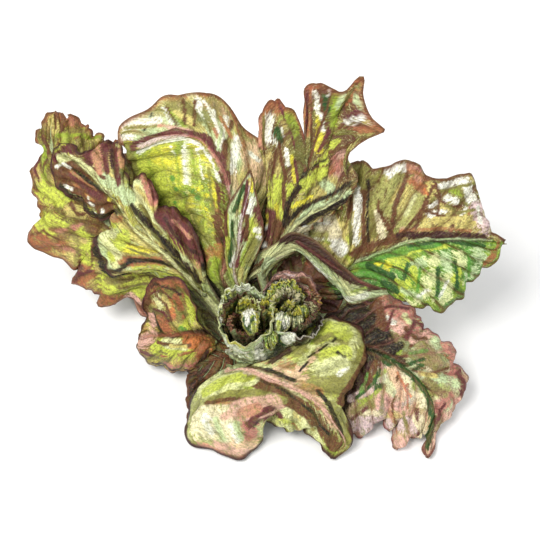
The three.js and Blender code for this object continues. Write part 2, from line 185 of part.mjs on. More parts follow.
// leaf blade between its two edges, through its midrib; v = -1 left edge, 0 rib, 1 right edge
function bladeSurface(leaf) {
  const midT = chordParameters(leaf.mid);
  const rail = (list) => ({ T: list.map((p) => p[0]), pts: list.map((p) => p.slice(1)) });
  const sides = [leaf.left, leaf.right].map(rail);
  const bends = [leaf.bendLeft ?? STRAIGHT, leaf.bendRight ?? STRAIGHT].map(rail);
  return (u, v) => {
    const edges = sides.map((side) => hermite(side.T, side.pts, u));
    // the narrow stalk and the tip are flat from edge to edge
    const flat = step(0.24, 0.04, u) + step(0.93, 1, u);
    const m = hermite(midT, leaf.mid, u).map((c, k) => c + flat * ((edges[0][k] + edges[1][k]) / 2 - c));
    const e = v < 0 ? edges[0] : edges[1];
    const a = Math.abs(v);
    const env = Math.max(Math.sin(Math.PI * Math.min(Math.max(u, 0), 1)), 0) ** 0.9;
    const bulge = (v < 0 ? leaf.bulge[0] : leaf.bulge[1]) * env * 4 * a * (1 - a);
    const way = v < 0 ? bends[0] : bends[1];
    const bend = hermite(way.T, way.pts, u);
    return m.map((c, k) => c + (e[k] - c) * a + CROWN[k] * bulge + bend[k] * 4 * a * (1 - a));
  };
}

// curled heart leaf: part of a cup around its own axis
function cupSurface(c) {
  const base = new THREE.Vector3(...c.base), axis = new THREE.Vector3(...c.top).sub(base);
  const H = axis.length();
  const a = axis.clone().normalize();
  const e1 = new THREE.Vector3(1, 0, 0).addScaledVector(a, -a.x).normalize();
  const e2 = new THREE.Vector3().crossVectors(a, e1);
  return (u, v) => {
    let s = Math.min(Math.max(u / c.mid, 0), 1);
    s = s * s * (3 - 2 * s);
    const t = Math.min(Math.max((u - c.mid) / (1 - c.mid), 0), 1);
    const w = (c.w0 + (1 - c.w0) * s) * (1 - 0.22 * t * t);
    const ph = (c.phi + v * c.dphi * w) * Math.PI / 180;
    let r = (c.r0 + (c.R - c.r0) * s + c.flare * t * t) * (1 + c.spiral * v);
    r += c.ruffle[1] * Math.sin(c.ruffle[0] * ph) * u * u;
    let h = H * (u - c.droop * Math.abs(v) ** 2.4 * u);
    h += 0.6 * c.ruffle[1] * Math.cos(c.ruffle[0] * ph + 0.7) * u ** 3;
    return base.clone().addScaledVector(a, h).addScaledVector(e1, r * Math.cos(ph)).addScaledVector(e2, r * Math.sin(ph)).toArray();
  };
}

// closed leaf solid: the surface offset to both sides by half its thickness
function leafSolid(surface, us, vs, thickness, relax = 0, grow = 0) {
  const nu = us.length, nv = vs.length;
  let mid = us.map((u) => vs.map((v) => new THREE.Vector3(...surface(u, v))));
  // the inside of the blade is relaxed between its edges and its rib
  const rib = (nv - 1) / 2;
  for (let pass = 0; pass < relax; pass++) {
    mid = mid.map((row, i) => row.map((p, j) => {
      if (i === 0 || i === nu - 1 || j === 0 || j === nv - 1 || j === rib) return p;
      const q = mid[i - 1][j].clone().add(mid[i + 1][j]).add(mid[i][j - 1]).add(mid[i][j + 1]).multiplyScalar(0.25);
      return p.clone().lerp(q, 0.5);
    }));
  }
  if (grow) {
    // push the outline outwards as well
    for (let i = 0; i < nu; i++) {
      for (const [j, q] of [[0, 1], [nv - 1, nv - 2]]) {
        const d = mid[i][j].clone().sub(mid[i][q]);
        mid[i][j].addScaledVector(d.normalize(), grow);
      }
    }
    for (const [i, q] of [[0, 1], [nu - 1, nu - 2]]) {
      for (let j = 0; j < nv; j++) {
        const d = mid[i][j].clone().sub(mid[q][j]);
        mid[i][j].addScaledVector(d.normalize(), grow);
      }
    }
  }
  // surface directions, evened out so that the two faces never cross at a notch
  let normal = mid.map((row, i) => row.map((p, j) => {
    const du = mid[Math.min(i + 1, nu - 1)][j].clone().sub(mid[Math.max(i - 1, 0)][j]).normalize();
    const dv = mid[i][Math.min(j + 1, nv - 1)].clone().sub(mid[i][Math.max(j - 1, 0)]).normalize();
    return du.cross(dv);
  }));
  for (let pass = 0; pass < NORMAL_PASSES; pass++) {
    normal = normal.map((row, i) => row.map((n, j) => {
      const sum = n.clone().multiplyScalar(2);
      for (const [a, b] of [[i - 1, j], [i + 1, j], [i, j - 1], [i, j + 1]]) {
        if (a >= 0 && a < nu && b >= 0 && b < nv) sum.add(normal[a][b]);
      }
      return sum.multiplyScalar(0.2);
    }));
  }
  const top = [], bottom = [];
  for (let i = 0; i < nu; i++) {
    for (let j = 0; j < nv; j++) {
      const n = normal[i][j].clone().normalize();
      const h = thickness(us[i], vs[j]) / 2 + grow;
      const p = mid[i][j];
      const t = p.clone().addScaledVector(n, h), b = p.clone().addScaledVector(n, -h);
      if (!grow) {
        t.z = Math.max(t.z, GROUND_CLEARANCE);
        b.z = Math.max(b.z, GROUND_CLEARANCE);
      }
      top.push(t); bottom.push(b);
    }
  }
  const pts = [...top, ...bottom], off = nu * nv, tri = [];
  const id = (i, j) => i * nv + j;
  for (let i = 0; i < nu - 1; i++) {
    for (let j = 0; j < nv - 1; j++) {
      const a = id(i, j), b = id(i + 1, j), c = id(i + 1, j + 1), d = id(i, j + 1);
      // the shorter diagonal
      if (pts[a].distanceTo(pts[c]) < pts[b].distanceTo(pts[d])) {
        tri.push(a, b, c, a, c, d, off + a, off + c, off + b, off + a, off + d, off + c);
      } else {
        tri.push(a, b, d, b, c, d, off + a, off + d, off + b, off + b, off + d, off + c);
      }
    }
  }
  const wall = (p, q) => tri.push(p, off + p, q, q, off + p, off + q);
  for (let i = 0; i < nu - 1; i++) {
    wall(id(i, 0), id(i + 1, 0));
    wall(id(i + 1, nv - 1), id(i, nv - 1));
  }
  for (let j = 0; j < nv - 1; j++) {
    wall(id(0, j + 1), id(0, j));
    wall(id(nu - 1, j), id(nu - 1, j + 1));
  }
  return { pts, tri, off };
}

const wasm = await Module();
wasm.setup();

// a folded leaf is joined from one small wedge per facet, so that no facet runs through another
function joinWedges({ pts, off }, nu, nv) {
  const wedges = [];
  const id = (i, j) => i * nv + j;
  const wedge = (...k) => wedges.push(wasm.Manifold.hull([...k, ...k.map((q) => q + off)].map((q) => pts[q].toArray())));
  for (let i = 0; i < nu - 1; i++) {
    for (let j = 0; j < nv - 1; j++) {
      const a = id(i, j), b = id(i + 1, j), c = id(i + 1, j + 1), d = id(i, j + 1);
      if (pts[a].distanceTo(pts[c]) < pts[b].distanceTo(pts[d])) {
        wedge(a, b, c); wedge(a, c, d);
      } else {
        wedge(a, b, d); wedge(b, c, d);
      }
    }
  }
  return wasm.Manifold.union(wedges).simplify(0.02);
}

function toManifold({ pts, tri }) {
  const vertProperties = new Float32Array(pts.length * 3);
  pts.forEach((p, i) => vertProperties.set([p.x, p.y, p.z], i * 3));
  let m = new wasm.Manifold(new wasm.Mesh({ numProp: 3, vertProperties, triVerts: new Uint32Array(tri) }));
  if (m.volume() < 0) {
    const flipped = [];
    for (let i = 0; i < tri.length; i += 3) flipped.push(tri[i], tri[i + 2], tri[i + 1]);
    m = new wasm.Manifold(new wasm.Mesh({ numProp: 3, vertProperties, triVerts: new Uint32Array(flipped) }));
  }
  return m;
}

function toGeometry(m) {
  const mesh = m.getMesh();
  const g = new THREE.BufferGeometry();
  const pos = new Float32Array(mesh.vertProperties.length);
  pos.set(mesh.vertProperties);
  g.setAttribute('position', new THREE.BufferAttribute(pos, 3));
  g.setIndex(new THREE.BufferAttribute(new Uint32Array(mesh.triVerts), 1));
  g.computeVertexNormals();
  return g;
}

const spaced = (n, lo = 0, hi = 1) => Array.from({ length: n }, (_, i) => lo + (hi - lo) * i / (n - 1));

// ---- the pieces, from the ones that stay whole to the ones that give way -
const pieces = [];

// stem: a short thick cone with a flat cut base
{
  const profile = [[0, 0], [1, 0], [1.03, 0.06], [1.0, 0.2], [0.93, 0.45], [0.8, 0.68], [0.6, 0.86], [0.34, 0.96], [0, 1]]
    .map(([r, z]) => new THREE.Vector2(r * STEM_BASE_RADIUS, z * STEM_HEIGHT));
  const build = (grow) => {
    const n = 28, pts = [], tri = [];
    const prof = profile.slice(1, -1).map((p, i, all) => {
      const q = all[Math.min(i + 1, all.length - 1)], o = all[Math.max(i - 1, 0)];
      const nrm = new THREE.Vector2(q.y - o.y, o.x - q.x).normalize();
      return p.clone().addScaledVector(nrm, grow);
    });
    if (grow) prof[0].y = -1;
    const bottom = grow ? -1 : 0, topZ = STEM_HEIGHT + grow;
    for (const p of prof) {
      for (let k = 0; k < n; k++) {
        const a = 2 * Math.PI * k / n;
        const lobe = 1 + 0.03 * Math.sin(3 * a + 0.5) * (p.y / STEM_HEIGHT);
        pts.push(new THREE.Vector3(p.x * lobe * Math.cos(a), p.x * lobe * Math.sin(a), p.y));
      }
    }
    const lo = pts.push(new THREE.Vector3(0, 0, bottom)) - 1, hi = pts.push(new THREE.Vector3(0, 0, topZ)) - 1;
    for (let r = 0; r < prof.length - 1; r++) {
      for (let k = 0; k < n; k++) {
        const a = r * n + k, b = r * n + (k + 1) % n, c = (r + 1) * n + (k + 1) % n, d = (r + 1) * n + k;
        tri.push(a, b, c, a, c, d);
      }
    }
    for (let k = 0; k < n; k++) {
      tri.push(lo, (k + 1) % n, k);
      const o = (prof.length - 1) * n;
      tri.push(hi, o + k, o + (k + 1) % n);
    }
    return toManifold({ pts, tri });
  };
  pieces.push({ name: 'stem', solid: build(0), grown: build(GAP), color: '#d9dcae' });
}

for (const [name, c] of Object.entries(HEART_LEAVES)) {
  const s = cupSurface(c);
  const us = spaced(c.rows), vs = spaced(c.columns, -1, 1);
  const th = (u, v) => (HEART_THICKNESS + 1.3 * (1 - u) ** 2 * (1 - v * v)) * (1 - 0.25 * v ** 4) * (c.R < 3 ? 0.8 : 1);
  pieces.push({ name, solid: toManifold(leafSolid(s, us, vs, th)), grown: toManifold(leafSolid(s, us, vs, th, 0, GAP)), color: c.color });
}

for (const [name, l] of Object.entries(LEAVES)) {
  const s = bladeSurface(l);
  const us = spaced(l.rows), vs = l.columns;
  const th = (u, v) => {
    const edge = BLADE_THICKNESS + (MARGIN_THICKNESS - BLADE_THICKNESS) * v * v;
    return edge + RIB_THICKNESS * l.rib * (1 - u) ** 1.6 * Math.max(0, 1 - Math.abs(v) * (1.1 + 3 * u));
  };
  const sheet = leafSolid(s, us, vs, th, l.relax);
  const solid = joinWedges(sheet, us.length, vs.length);
  pieces.push({ name, solid, grown: toManifold(leafSolid(s, us, vs, th, l.relax, GAP)), color: l.color });
}

// leaves lie close together: each one keeps clear of those listed before it
for (const p of pieces) p.grown = p.grown.add(p.solid);
for (let i = 1; i < pieces.length; i++) {
  const p = pieces[i];
  for (let k = 0; k < i; k++) {
    p.solid = p.solid.subtract(pieces[k].grown);
  }
  const parts = p.solid.decompose().sort((a, b) => b.volume() - a.volume());
  p.solid = parts[0];
}

const lettuce = new THREE.Group();
for (const p of pieces) {
  const material = new THREE.MeshStandardMaterial({ color: p.color, roughness: 0.55, metalness: 0 });
  const mesh = new THREE.Mesh(toGeometry(p.solid), material);
  mesh.name = p.name;
  lettuce.add(mesh);
}

export default lettuce;
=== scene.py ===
"""Open head of a red oak-leaf lettuce, seen obliquely from above.

Every leaf is a closed blade with a midrib, side veins, blisters and a ruffled edge, built from its own
control curves in millimetres: x to the right, y to the back, z up, origin under the stem.
"""
import math

import bpy
import numpy as np
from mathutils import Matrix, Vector
from mathutils.bvhtree import BVHTree


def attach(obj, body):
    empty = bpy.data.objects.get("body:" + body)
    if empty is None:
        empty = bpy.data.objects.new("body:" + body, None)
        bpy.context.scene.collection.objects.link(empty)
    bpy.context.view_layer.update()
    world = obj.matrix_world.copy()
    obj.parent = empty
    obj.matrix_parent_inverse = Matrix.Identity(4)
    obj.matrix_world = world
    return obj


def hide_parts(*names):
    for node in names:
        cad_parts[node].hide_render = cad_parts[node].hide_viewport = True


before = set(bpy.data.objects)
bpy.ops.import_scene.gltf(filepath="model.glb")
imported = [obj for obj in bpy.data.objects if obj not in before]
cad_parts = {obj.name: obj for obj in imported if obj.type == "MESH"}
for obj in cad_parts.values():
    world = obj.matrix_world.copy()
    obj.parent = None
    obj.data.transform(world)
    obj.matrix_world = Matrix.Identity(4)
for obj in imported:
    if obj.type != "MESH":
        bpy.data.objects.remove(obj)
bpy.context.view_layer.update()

MM = 0.001


# direction in which the blades crown between rib and edge
CROWN = np.array([0.0000, -0.6428, 0.7660])

# ------------------------------------------------------------ leaf shapes --
# mid: midrib from the stem to the tip, in mm; left and right: edges as (position along the leaf 0..1, x, y, z)
LEAVES = {
    "top_lobed_leaf": dict(
        mid=[(0, 17, 24), (-10.8, 26.7, 47), (-2.4, 28.3, 59), (5.9, 32.3, 67), (14.1, 39.3, 76), (21.6, 42.9, 86), (30.8, 45.2, 93), (40.5, 46, 99), (50.8, 50.7, 105)],
        left=[(0, -4, 17.5, 25), (0.1, -13.8, 29.6, 50), (0.2, -8.3, 35, 62), (0.28, 0, 40.2, 75), (0.34, 4.7, 46.1, 86), (0.38, 4.1, 50.5, 95), (0.42, 6.4, 58, 109), (0.46, 3, 65, 124), (0.5, -1, 68.9, 133), (0.54, -1.5, 72.9, 141), (0.58, 2.4, 77, 148), (0.62, 8.1, 77.9, 151), (0.66, 14.3, 75.4, 148), (0.7, 20.5, 70.8, 143), (0.73, 25.1, 64.7, 134), (0.755, 23.3, 69.8, 144), (0.78, 24.4, 74.8, 154), (0.81, 26, 79, 160), (0.84, 32.7, 80.1, 162), (0.87, 40.6, 77.6, 159), (0.89, 48.5, 77.8, 158), (0.91, 57.5, 84.2, 162), (0.93, 57.6, 76.4, 154), (0.95, 61.6, 69.4, 146), (0.965, 70.2, 64.3, 140), (0.98, 59.1, 62.1, 135), (0.99, 49.1, 58.9, 127), (1, 48.8, 53.8, 115)],
        right=[(0, 4, 16.5, 23), (0.1, -6.6, 26.8, 45), (0.3, 7.7, 34.7, 56), (0.5, 19.5, 42.4, 68), (0.7, 34.2, 49.9, 80), (0.85, 44.4, 50.3, 90), (1, 52.1, 50.4, 101)],
        bend_left=[(0, 0, 0, 0), (0.76, 0, 0, 0), (0.82, -1.2, 0, 0), (0.87, -5.3, 0, 0), (0.91, -10.6, 1.4, 1.1), (0.93, -10.6, 2.3, 1.9), (0.95, -10.6, 4.1, 3.4), (0.965, -12.4, 4.5, 3.8), (0.98, -7.1, 1.8, 1.5), (0.99, -1.8, 0, 0), (1, 0, 0, 0)],
        bulge=(0, 2)),
    "right_ruffled_leaf": dict(
        mid=[(17, 6, 18), (25.7, 29.3, 40), (40.4, 28.8, 50), (49.2, 30, 56), (55.6, 32.8, 61), (65.8, 33, 68), (76.1, 33.3, 74), (86.3, 34.3, 79), (98.7, 32.4, 83), (112.3, 30.6, 85), (127.4, 30.7, 84), (140.8, 32.7, 80)],
        left=[(0, 18, 2, 17), (0.08, 22.8, 24.1, 33), (0.16, 37.6, 20.1, 38), (0.26, 53.4, 20.6, 45), (0.36, 68.5, 21, 52), (0.42, 78.3, 17.9, 54), (0.48, 82.4, 13.5, 51), (0.54, 89.3, 9.8, 49), (0.6, 97, 9.1, 48), (0.66, 104, 6.9, 47), (0.72, 112.7, 9.8, 50), (0.78, 118.6, 14.1, 54), (0.83, 121.8, 18.3, 60), (0.88, 128.6, 21.7, 65), (0.93, 133.8, 24.5, 68), (0.97, 138.1, 27.9, 74), (1, 140.7, 31.9, 80)],
        right=[(0, 15, 10, 19), (0.07, 13.2, 41.7, 42), (0.14, 14.9, 48.8, 56), (0.2, 21.4, 54.9, 69), (0.27, 33.1, 62.2, 84), (0.33, 43.4, 65.9, 99), (0.39, 49.5, 66.9, 108), (0.44, 55.1, 66.1, 113), (0.49, 59.6, 65.2, 114), (0.53, 64.2, 61.5, 112), (0.57, 70.4, 60.4, 114), (0.61, 77.2, 61.5, 117), (0.65, 84.6, 62.1, 118), (0.69, 91.2, 61.2, 114), (0.73, 95.9, 57.8, 110), (0.77, 102.5, 57.5, 107), (0.81, 110.2, 59.9, 107), (0.85, 117.5, 63.2, 106), (0.89, 123.6, 62.9, 103), (0.92, 126.4, 55.6, 98), (0.945, 126.8, 49, 94), (0.965, 130.7, 41.7, 90), (0.985, 134, 35.1, 86), (1, 140.9, 33.5, 80)],
        bulge=(6, 2)),
    "back_left_leaf": dict(
        mid=[(-8, 15, 22), (-23.8, 22.7, 50), (-22.3, 34.3, 71), (-19.2, 45.7, 89), (-19.6, 54.1, 103), (-23.6, 61.2, 114), (-33.3, 69.9, 124), (-43.5, 72.3, 128), (-55.7, 72.5, 127), (-67.5, 72.8, 121), (-76, 72.9, 116)],
        left=[(0, -11, 13, 21), (0.1, -29.9, 26, 44), (0.2, -34.7, 36.5, 52), (0.32, -39.4, 46, 62), (0.45, -47.9, 55.8, 68), (0.6, -61.1, 64.9, 74), (0.72, -69.4, 72.1, 82), (0.82, -76.2, 77.4, 92), (0.92, -79.5, 77.3, 104), (1, -78.6, 74.9, 114)],
        right=[(0, -5, 17, 23), (0.12, -14.4, 32.7, 50), (0.24, -5.9, 43, 70), (0.34, 1.2, 55.5, 86), (0.42, 6.5, 66.2, 97), (0.48, 6.5, 72.8, 107), (0.54, 0, 77.6, 117), (0.6, -10.3, 79.9, 127), (0.66, -17.7, 86, 137), (0.72, -26.2, 88.6, 144), (0.78, -35.9, 87.9, 147), (0.84, -46.6, 85.4, 147), (0.89, -56.5, 86.7, 145), (0.93, -65.3, 83.3, 138), (0.96, -77.4, 84.2, 130), (0.98, -83.8, 84.1, 122), (1, -81.9, 76, 117)],
        bulge=(12, 0)),
    "left_ruffled_leaf": dict(
        mid=[(-14, 9, 20), (-33.9, 20.6, 45), (-47.3, 29, 59), (-58.4, 37, 67), (-72.5, 44.9, 75), (-80.4, 54.6, 80), (-91.4, 66, 86), (-105.1, 80.9, 91), (-117.9, 92.4, 92), (-123.8, 98.1, 93)],
        left=[(0, -16, 6, 19), (0.1, -39.5, 22.3, 42), (0.17, -50.2, 30.5, 48), (0.23, -62.4, 36.6, 50), (0.29, -73.8, 39.7, 51), (0.35, -81, 38.2, 50), (0.41, -88.2, 35.2, 47), (0.47, -94.7, 40.3, 53), (0.53, -98.2, 46.9, 60), (0.59, -95.1, 52.8, 66), (0.64, -88.8, 55.4, 72), (0.68, -83.8, 57.3, 77), (0.72, -89.5, 59.3, 74), (0.76, -96.4, 58.8, 70), (0.8, -102, 62.1, 70), (0.84, -109.4, 69.8, 74), (0.88, -118.9, 73.4, 78), (0.92, -124.8, 77.1, 82), (0.96, -125.2, 87.2, 87), (1, -124.9, 96.6, 92)],
        right=[(0, -12, 11, 21), (0.1, -31.9, 23.9, 56), (0.18, -34.6, 29.1, 68), (0.26, -37.3, 37.3, 80), (0.34, -47.2, 48.1, 89), (0.4, -54.8, 50.8, 92), (0.44, -61.3, 51.6, 92), (0.48, -63.6, 61.1, 99), (0.52, -67.8, 66.1, 103), (0.56, -73.1, 64.9, 100), (0.61, -76.3, 63.2, 95), (0.66, -79.9, 69.1, 99), (0.72, -80.6, 77.3, 104), (0.77, -83.3, 85.9, 107), (0.82, -90, 89.3, 107), (0.88, -99.7, 86.6, 103), (0.93, -107.8, 86.4, 99), (0.965, -113.2, 94.7, 99), (1, -121.7, 97.8, 95)],
        bulge=(2, 4)),
    "front_lobed_leaf": dict(
        mid=[(-5, -18, 16), (-17.6, -19.9, 27), (-9.3, -24.3, 33), (0.1, -31.5, 36), (12.7, -37.8, 36), (25.3, -43.4, 33), (35.7, -49, 27), (42.1, -53.9, 20), (46.8, -57.5, 13), (48.7, -60.4, 7), (42.9, -65.3, 3)],
        left=[(0, -9, -16, 15), (0.04, -22.4, -18.4, 24), (0.08, -28.2, -21.3, 23), (0.13, -36.4, -26.4, 19), (0.18, -41.1, -32.9, 14), (0.22, -44, -41.5, 8), (0.26, -44.5, -48.7, 4), (0.3, -40.3, -55, 2), (0.34, -31.9, -60, 2.2), (0.38, -22, -63.4, 2.2), (0.42, -12.7, -64.8, 2.2), (0.46, -5.8, -61.6, 2.5), (0.5, 0, -56.3, 4), (0.54, -2.3, -51.4, 7), (0.58, -1.1, -47.8, 10), (0.63, 4.1, -46.4, 12), (0.68, 9.4, -48.5, 10), (0.73, 14.6, -50.7, 7), (0.78, 18.7, -47.8, 11), (0.83, 22.8, -47.1, 12), (0.88, 25.7, -51.3, 9), (0.92, 32, -56.3, 6), (0.96, 36.6, -61.2, 3), (1, 40, -66.3, 2.4)],
        right=[(0, -1, -18, 17), (0.08, -12.9, -16.3, 29), (0.16, 0, -17.8, 32), (0.24, 13.5, -16.3, 35), (0.3, 21.1, -9.1, 38), (0.36, 26.4, -0.3, 41), (0.42, 34.1, 4.1, 43), (0.48, 42.9, 5.5, 44), (0.54, 52.3, 2.5, 44), (0.6, 59.2, -3.3, 42), (0.65, 61.9, -11.3, 39), (0.69, 60.6, -18.5, 36), (0.73, 56.4, -25.7, 33), (0.77, 49.3, -30.7, 31), (0.81, 44.1, -34.9, 29), (0.85, 43.4, -39.9, 26), (0.88, 45.8, -44.8, 21), (0.91, 49.3, -50.5, 15), (0.94, 51.7, -55.5, 10), (0.97, 51.1, -59.8, 5), (1, 42.3, -66.3, 2.4)],
        bend_left=[(0, 0, 0, 0), (0.25, -2.4, 0, 0), (0.38, -7.1, 0, 0), (0.46, -8.8, 0, 0), (0.5, -7.1, 0.9, 0.8), (0.54, -3.5, 1.4, 1.1), (0.58, -0.6, 1.4, 1.1), (0.68, 0, 0.9, 0.8), (0.8, 0, 0, 0), (1, 0, 0, 0)],
        bulge=(7, 6)),
    "front_right_leaf": dict(
        mid=[(17, -5, 14), (33.2, -2.2, 26), (51.8, -7.5, 33), (66.7, -13.4, 35), (76.4, -19.2, 34), (86.2, -24.2, 31), (92.6, -30, 27), (98.4, -36.4, 21), (100.3, -41.4, 15), (99.2, -48.5, 9), (96.6, -57.7, 4), (95.6, -65.6, 2.4)],
        left=[(0, 16, -9, 13), (0.08, 23.8, -3.7, 18), (0.16, 33.2, -15.5, 16), (0.24, 42.5, -28.6, 12), (0.32, 48.8, -41.6, 6), (0.4, 52.7, -50.8, 2), (0.46, 58.6, -50.1, 2), (0.52, 63.9, -47.3, 4), (0.57, 67.5, -41.5, 8), (0.61, 69.2, -40.1, 9), (0.65, 71.5, -45.8, 5), (0.7, 75.6, -46.5, 5), (0.74, 74.8, -53.3, 2.5), (0.78, 77.5, -57.9, 2.2), (0.83, 84.7, -54.3, 3), (0.88, 91.2, -50.7, 5), (0.93, 94.1, -53.6, 3), (0.97, 93.2, -59.2, 2), (1, 95.1, -65.5, 2.2)],
        right=[(0, 17, -1, 15), (0.08, 29.9, 10.5, 25), (0.16, 41.8, 16.4, 35), (0.24, 52.3, 17.7, 41), (0.3, 62.9, 19.1, 45), (0.36, 72.3, 19.8, 47), (0.42, 80.6, 18.3, 46), (0.48, 88.2, 13.1, 43), (0.53, 94.2, 9.5, 39), (0.57, 95.3, 3.6, 35), (0.61, 101.2, 1.4, 33), (0.65, 108.4, -1.5, 30), (0.69, 112.6, -5.2, 26), (0.73, 113.1, -11.1, 22), (0.77, 118.6, -14.7, 18), (0.81, 120.2, -20.6, 15), (0.85, 117.5, -27.9, 12), (0.89, 111.3, -34.4, 10), (0.92, 105.7, -39.4, 9), (0.95, 104.2, -47.2, 6), (0.975, 102.7, -54.2, 4), (1, 96.8, -65.5, 2.2)],
        bulge=(5, 5)),
    "right_folded_leaf": dict(
        mid=[(7, 13, 31), (0, 28.1, 62), (8.8, 32.7, 71), (17, 36.1, 77), (24, 33.1, 76), (33.9, 28.1, 71), (45.1, 21.9, 63), (52.8, 17.7, 57), (64.7, 17.1, 54), (80.2, 18.7, 52)],
        left=[(0, 9, 11, 30), (0.12, 3.5, 28.4, 57), (0.3, 15.3, 33.9, 66), (0.4, 21.8, 35.3, 68), (0.5, 30.1, 31.1, 62), (0.62, 40.2, 24, 54), (0.7, 47.3, 18.9, 49), (0.76, 52.6, 14.5, 45), (0.84, 62.6, 15.1, 48), (1, 80.3, 18.8, 51)],
        right=[(0, 5, 14, 32), (0.12, -4.7, 31, 64), (0.28, 8.2, 34.5, 77), (0.38, 16.9, 36.9, 84), (0.48, 28, 34, 82), (0.58, 38.5, 29.2, 76), (0.68, 47.2, 22.9, 70), (0.78, 56.2, 19.6, 63), (0.88, 68, 17.6, 58), (1, 80.7, 18.7, 53)],
        bulge=(0, 0)),
    "small_upright_leaf": dict(
        mid=[(-3, 13, 29), (-16.6, 26.1, 57), (-14.1, 34.3, 71), (-12.1, 38.8, 88), (-9.1, 45.1, 100), (-6.8, 49.9, 110), (-6.7, 54.1, 118)],
        left=[(0, -5, 12, 28), (0.15, -22.5, 24.7, 55), (0.3, -22.3, 33.6, 70), (0.5, -22.1, 40.6, 86), (0.65, -19.6, 45.4, 98), (0.82, -12, 51.6, 109), (1, -7.3, 54.1, 118)],
        right=[(0, -1, 13, 30), (0.15, -9.4, 26.7, 60), (0.3, -2.3, 30.3, 72), (0.45, 1.2, 36.9, 84), (0.6, -0.5, 42.6, 95), (0.78, -3.4, 48.2, 106), (0.9, -4.5, 52, 112), (1, -6.2, 54.1, 118)],
        bulge=(0, 0)),
    "right_inner_leaf": dict(
        mid=[(11, 10, 30), (16.6, 19.2, 43), (24.9, 25, 50), (32.6, 29.3, 55), (38.5, 32.9, 59)],
        left=[(0, 13, 7, 29), (0.2, 27.3, 14, 38), (0.45, 41.5, 12.4, 40), (0.7, 47.4, 16.8, 44), (0.88, 47.4, 24.1, 51), (1, 41.4, 31.4, 58)],
        right=[(0, 8, 12, 31), (0.2, 8.9, 26.9, 42), (0.45, 8.9, 35, 50), (0.7, 15.5, 40.9, 56), (0.88, 27.3, 39.9, 59), (1, 36.7, 35.2, 60)],
        bulge=(-3, -3)),
    "left_curled_leaf": dict(
        mid=[(-17, -6, 18), (-29.7, -1.5, 30), (-37.8, -0.9, 34), (-47.8, -1.7, 36), (-57.3, -0.9, 34), (-65.5, 2.9, 29), (-73.2, 6, 23)],
        left=[(0, -16, -9, 17), (0.12, -28.6, -3.7, 24), (0.22, -31.1, -5.2, 20), (0.34, -35.9, -7.4, 15), (0.47, -43.2, -8.9, 11), (0.6, -53, -7.4, 8), (0.72, -61.7, -3, 7), (0.82, -69.7, 0, 7), (0.9, -74.4, 3.8, 12), (1, -74.7, 6.8, 20)],
        right=[(0, -17, -2, 19), (0.1, -33.1, 2, 36), (0.2, -38.2, 4.8, 44), (0.3, -39.2, 9.6, 53), (0.4, -43.3, 16, 60), (0.5, -52.8, 21.9, 62), (0.6, -62.5, 23.7, 58), (0.7, -68.7, 21.8, 51), (0.8, -70.1, 16.9, 43), (0.9, -69.3, 12.6, 34), (1, -73.9, 8.3, 24)],
        bulge=(9, -8)),
    "left_outer_leaf": dict(
        mid=[(-17, 5, 13), (-42.5, 32.6, 34), (-66.3, 42.9, 50), (-90.1, 58.4, 66), (-111.2, 76.5, 80), (-125.7, 96, 90), (-128.2, 118.8, 98)],
        left=[(0, -17, 1, 12), (0.1, -30.5, 16, 18), (0.2, -48.9, 19.8, 16), (0.28, -64, 26, 13), (0.34, -73.3, 29.1, 14), (0.38, -81.2, 36.1, 20), (0.42, -92, 37, 17), (0.46, -102.3, 36.9, 19), (0.5, -104.5, 42.3, 26), (0.54, -116.9, 44.7, 27), (0.58, -113.2, 49.9, 37), (0.62, -125.8, 52.9, 42), (0.66, -141.2, 59.1, 46), (0.71, -137.8, 68.1, 56), (0.75, -132.5, 73.2, 64), (0.79, -140.3, 82.7, 68), (0.84, -137.2, 97.8, 76), (0.88, -134, 106.2, 84), (0.92, -137.9, 114.8, 90), (0.96, -133.4, 117.7, 94), (1, -127.3, 122.3, 98)],
        right=[(0, -16, 9, 14), (0.12, -31.8, 45.1, 38), (0.28, -42.5, 56.9, 54), (0.42, -56.9, 73.4, 70), (0.55, -72.7, 88.7, 82), (0.66, -86, 99.3, 91), (0.74, -95.7, 103.9, 94), (0.8, -101.8, 106.2, 96), (0.86, -106.1, 110.2, 98), (0.91, -112.6, 116.8, 100), (0.95, -117.9, 114.3, 99), (0.975, -122.7, 122, 100), (1, -126.6, 122.3, 98)],
        bulge=(3, 3)),
    "front_under_leaf": dict(
        mid=[(-13, -12, 11), (-28.6, -16.2, 13), (-32.7, -25.8, 9), (-34.2, -37.3, 5), (-33.4, -48.7, 2)],
        left=[(0, -15, -8, 11), (0.2, -37.1, -10.3, 15), (0.35, -44.2, -13.3, 13), (0.5, -44.6, -22.8, 10), (0.7, -44.3, -35.2, 5), (0.88, -42.2, -48.7, 2), (1, -35, -53.8, 2.2)],
        right=[(0, -10, -14, 11), (0.2, -19.1, -19.9, 12), (0.35, -14.3, -25.8, 8), (0.6, -13, -38.1, 3), (0.85, -21.1, -50.3, 2.2), (1, -31.5, -53.8, 2.2)],
        bulge=(2, 1)),
    "back_middle_leaf": dict(
        mid=[(6, 15.5, 19), (-2, 51.1, 44), (-0.2, 61.6, 56), (1.7, 72.6, 70), (2.9, 81.3, 81), (2.3, 86.2, 88)],
        left=[(0, 2, 16.5, 19), (0.2, -9.3, 51, 46), (0.42, -14.7, 60.8, 57), (0.62, -13.4, 71.9, 69), (0.8, -9.2, 79.9, 79), (0.92, -4.3, 84.8, 86), (1, 1.1, 87.1, 88)],
        right=[(0, 10, 14, 19), (0.2, 5.3, 52, 43), (0.42, 14.4, 62.7, 53), (0.62, 18, 73.8, 66), (0.8, 15.6, 81.5, 79), (0.92, 9.5, 85.5, 87), (1, 3.5, 87.1, 88)],
        bulge=(3, 3)),
    "back_middle_left_leaf": dict(
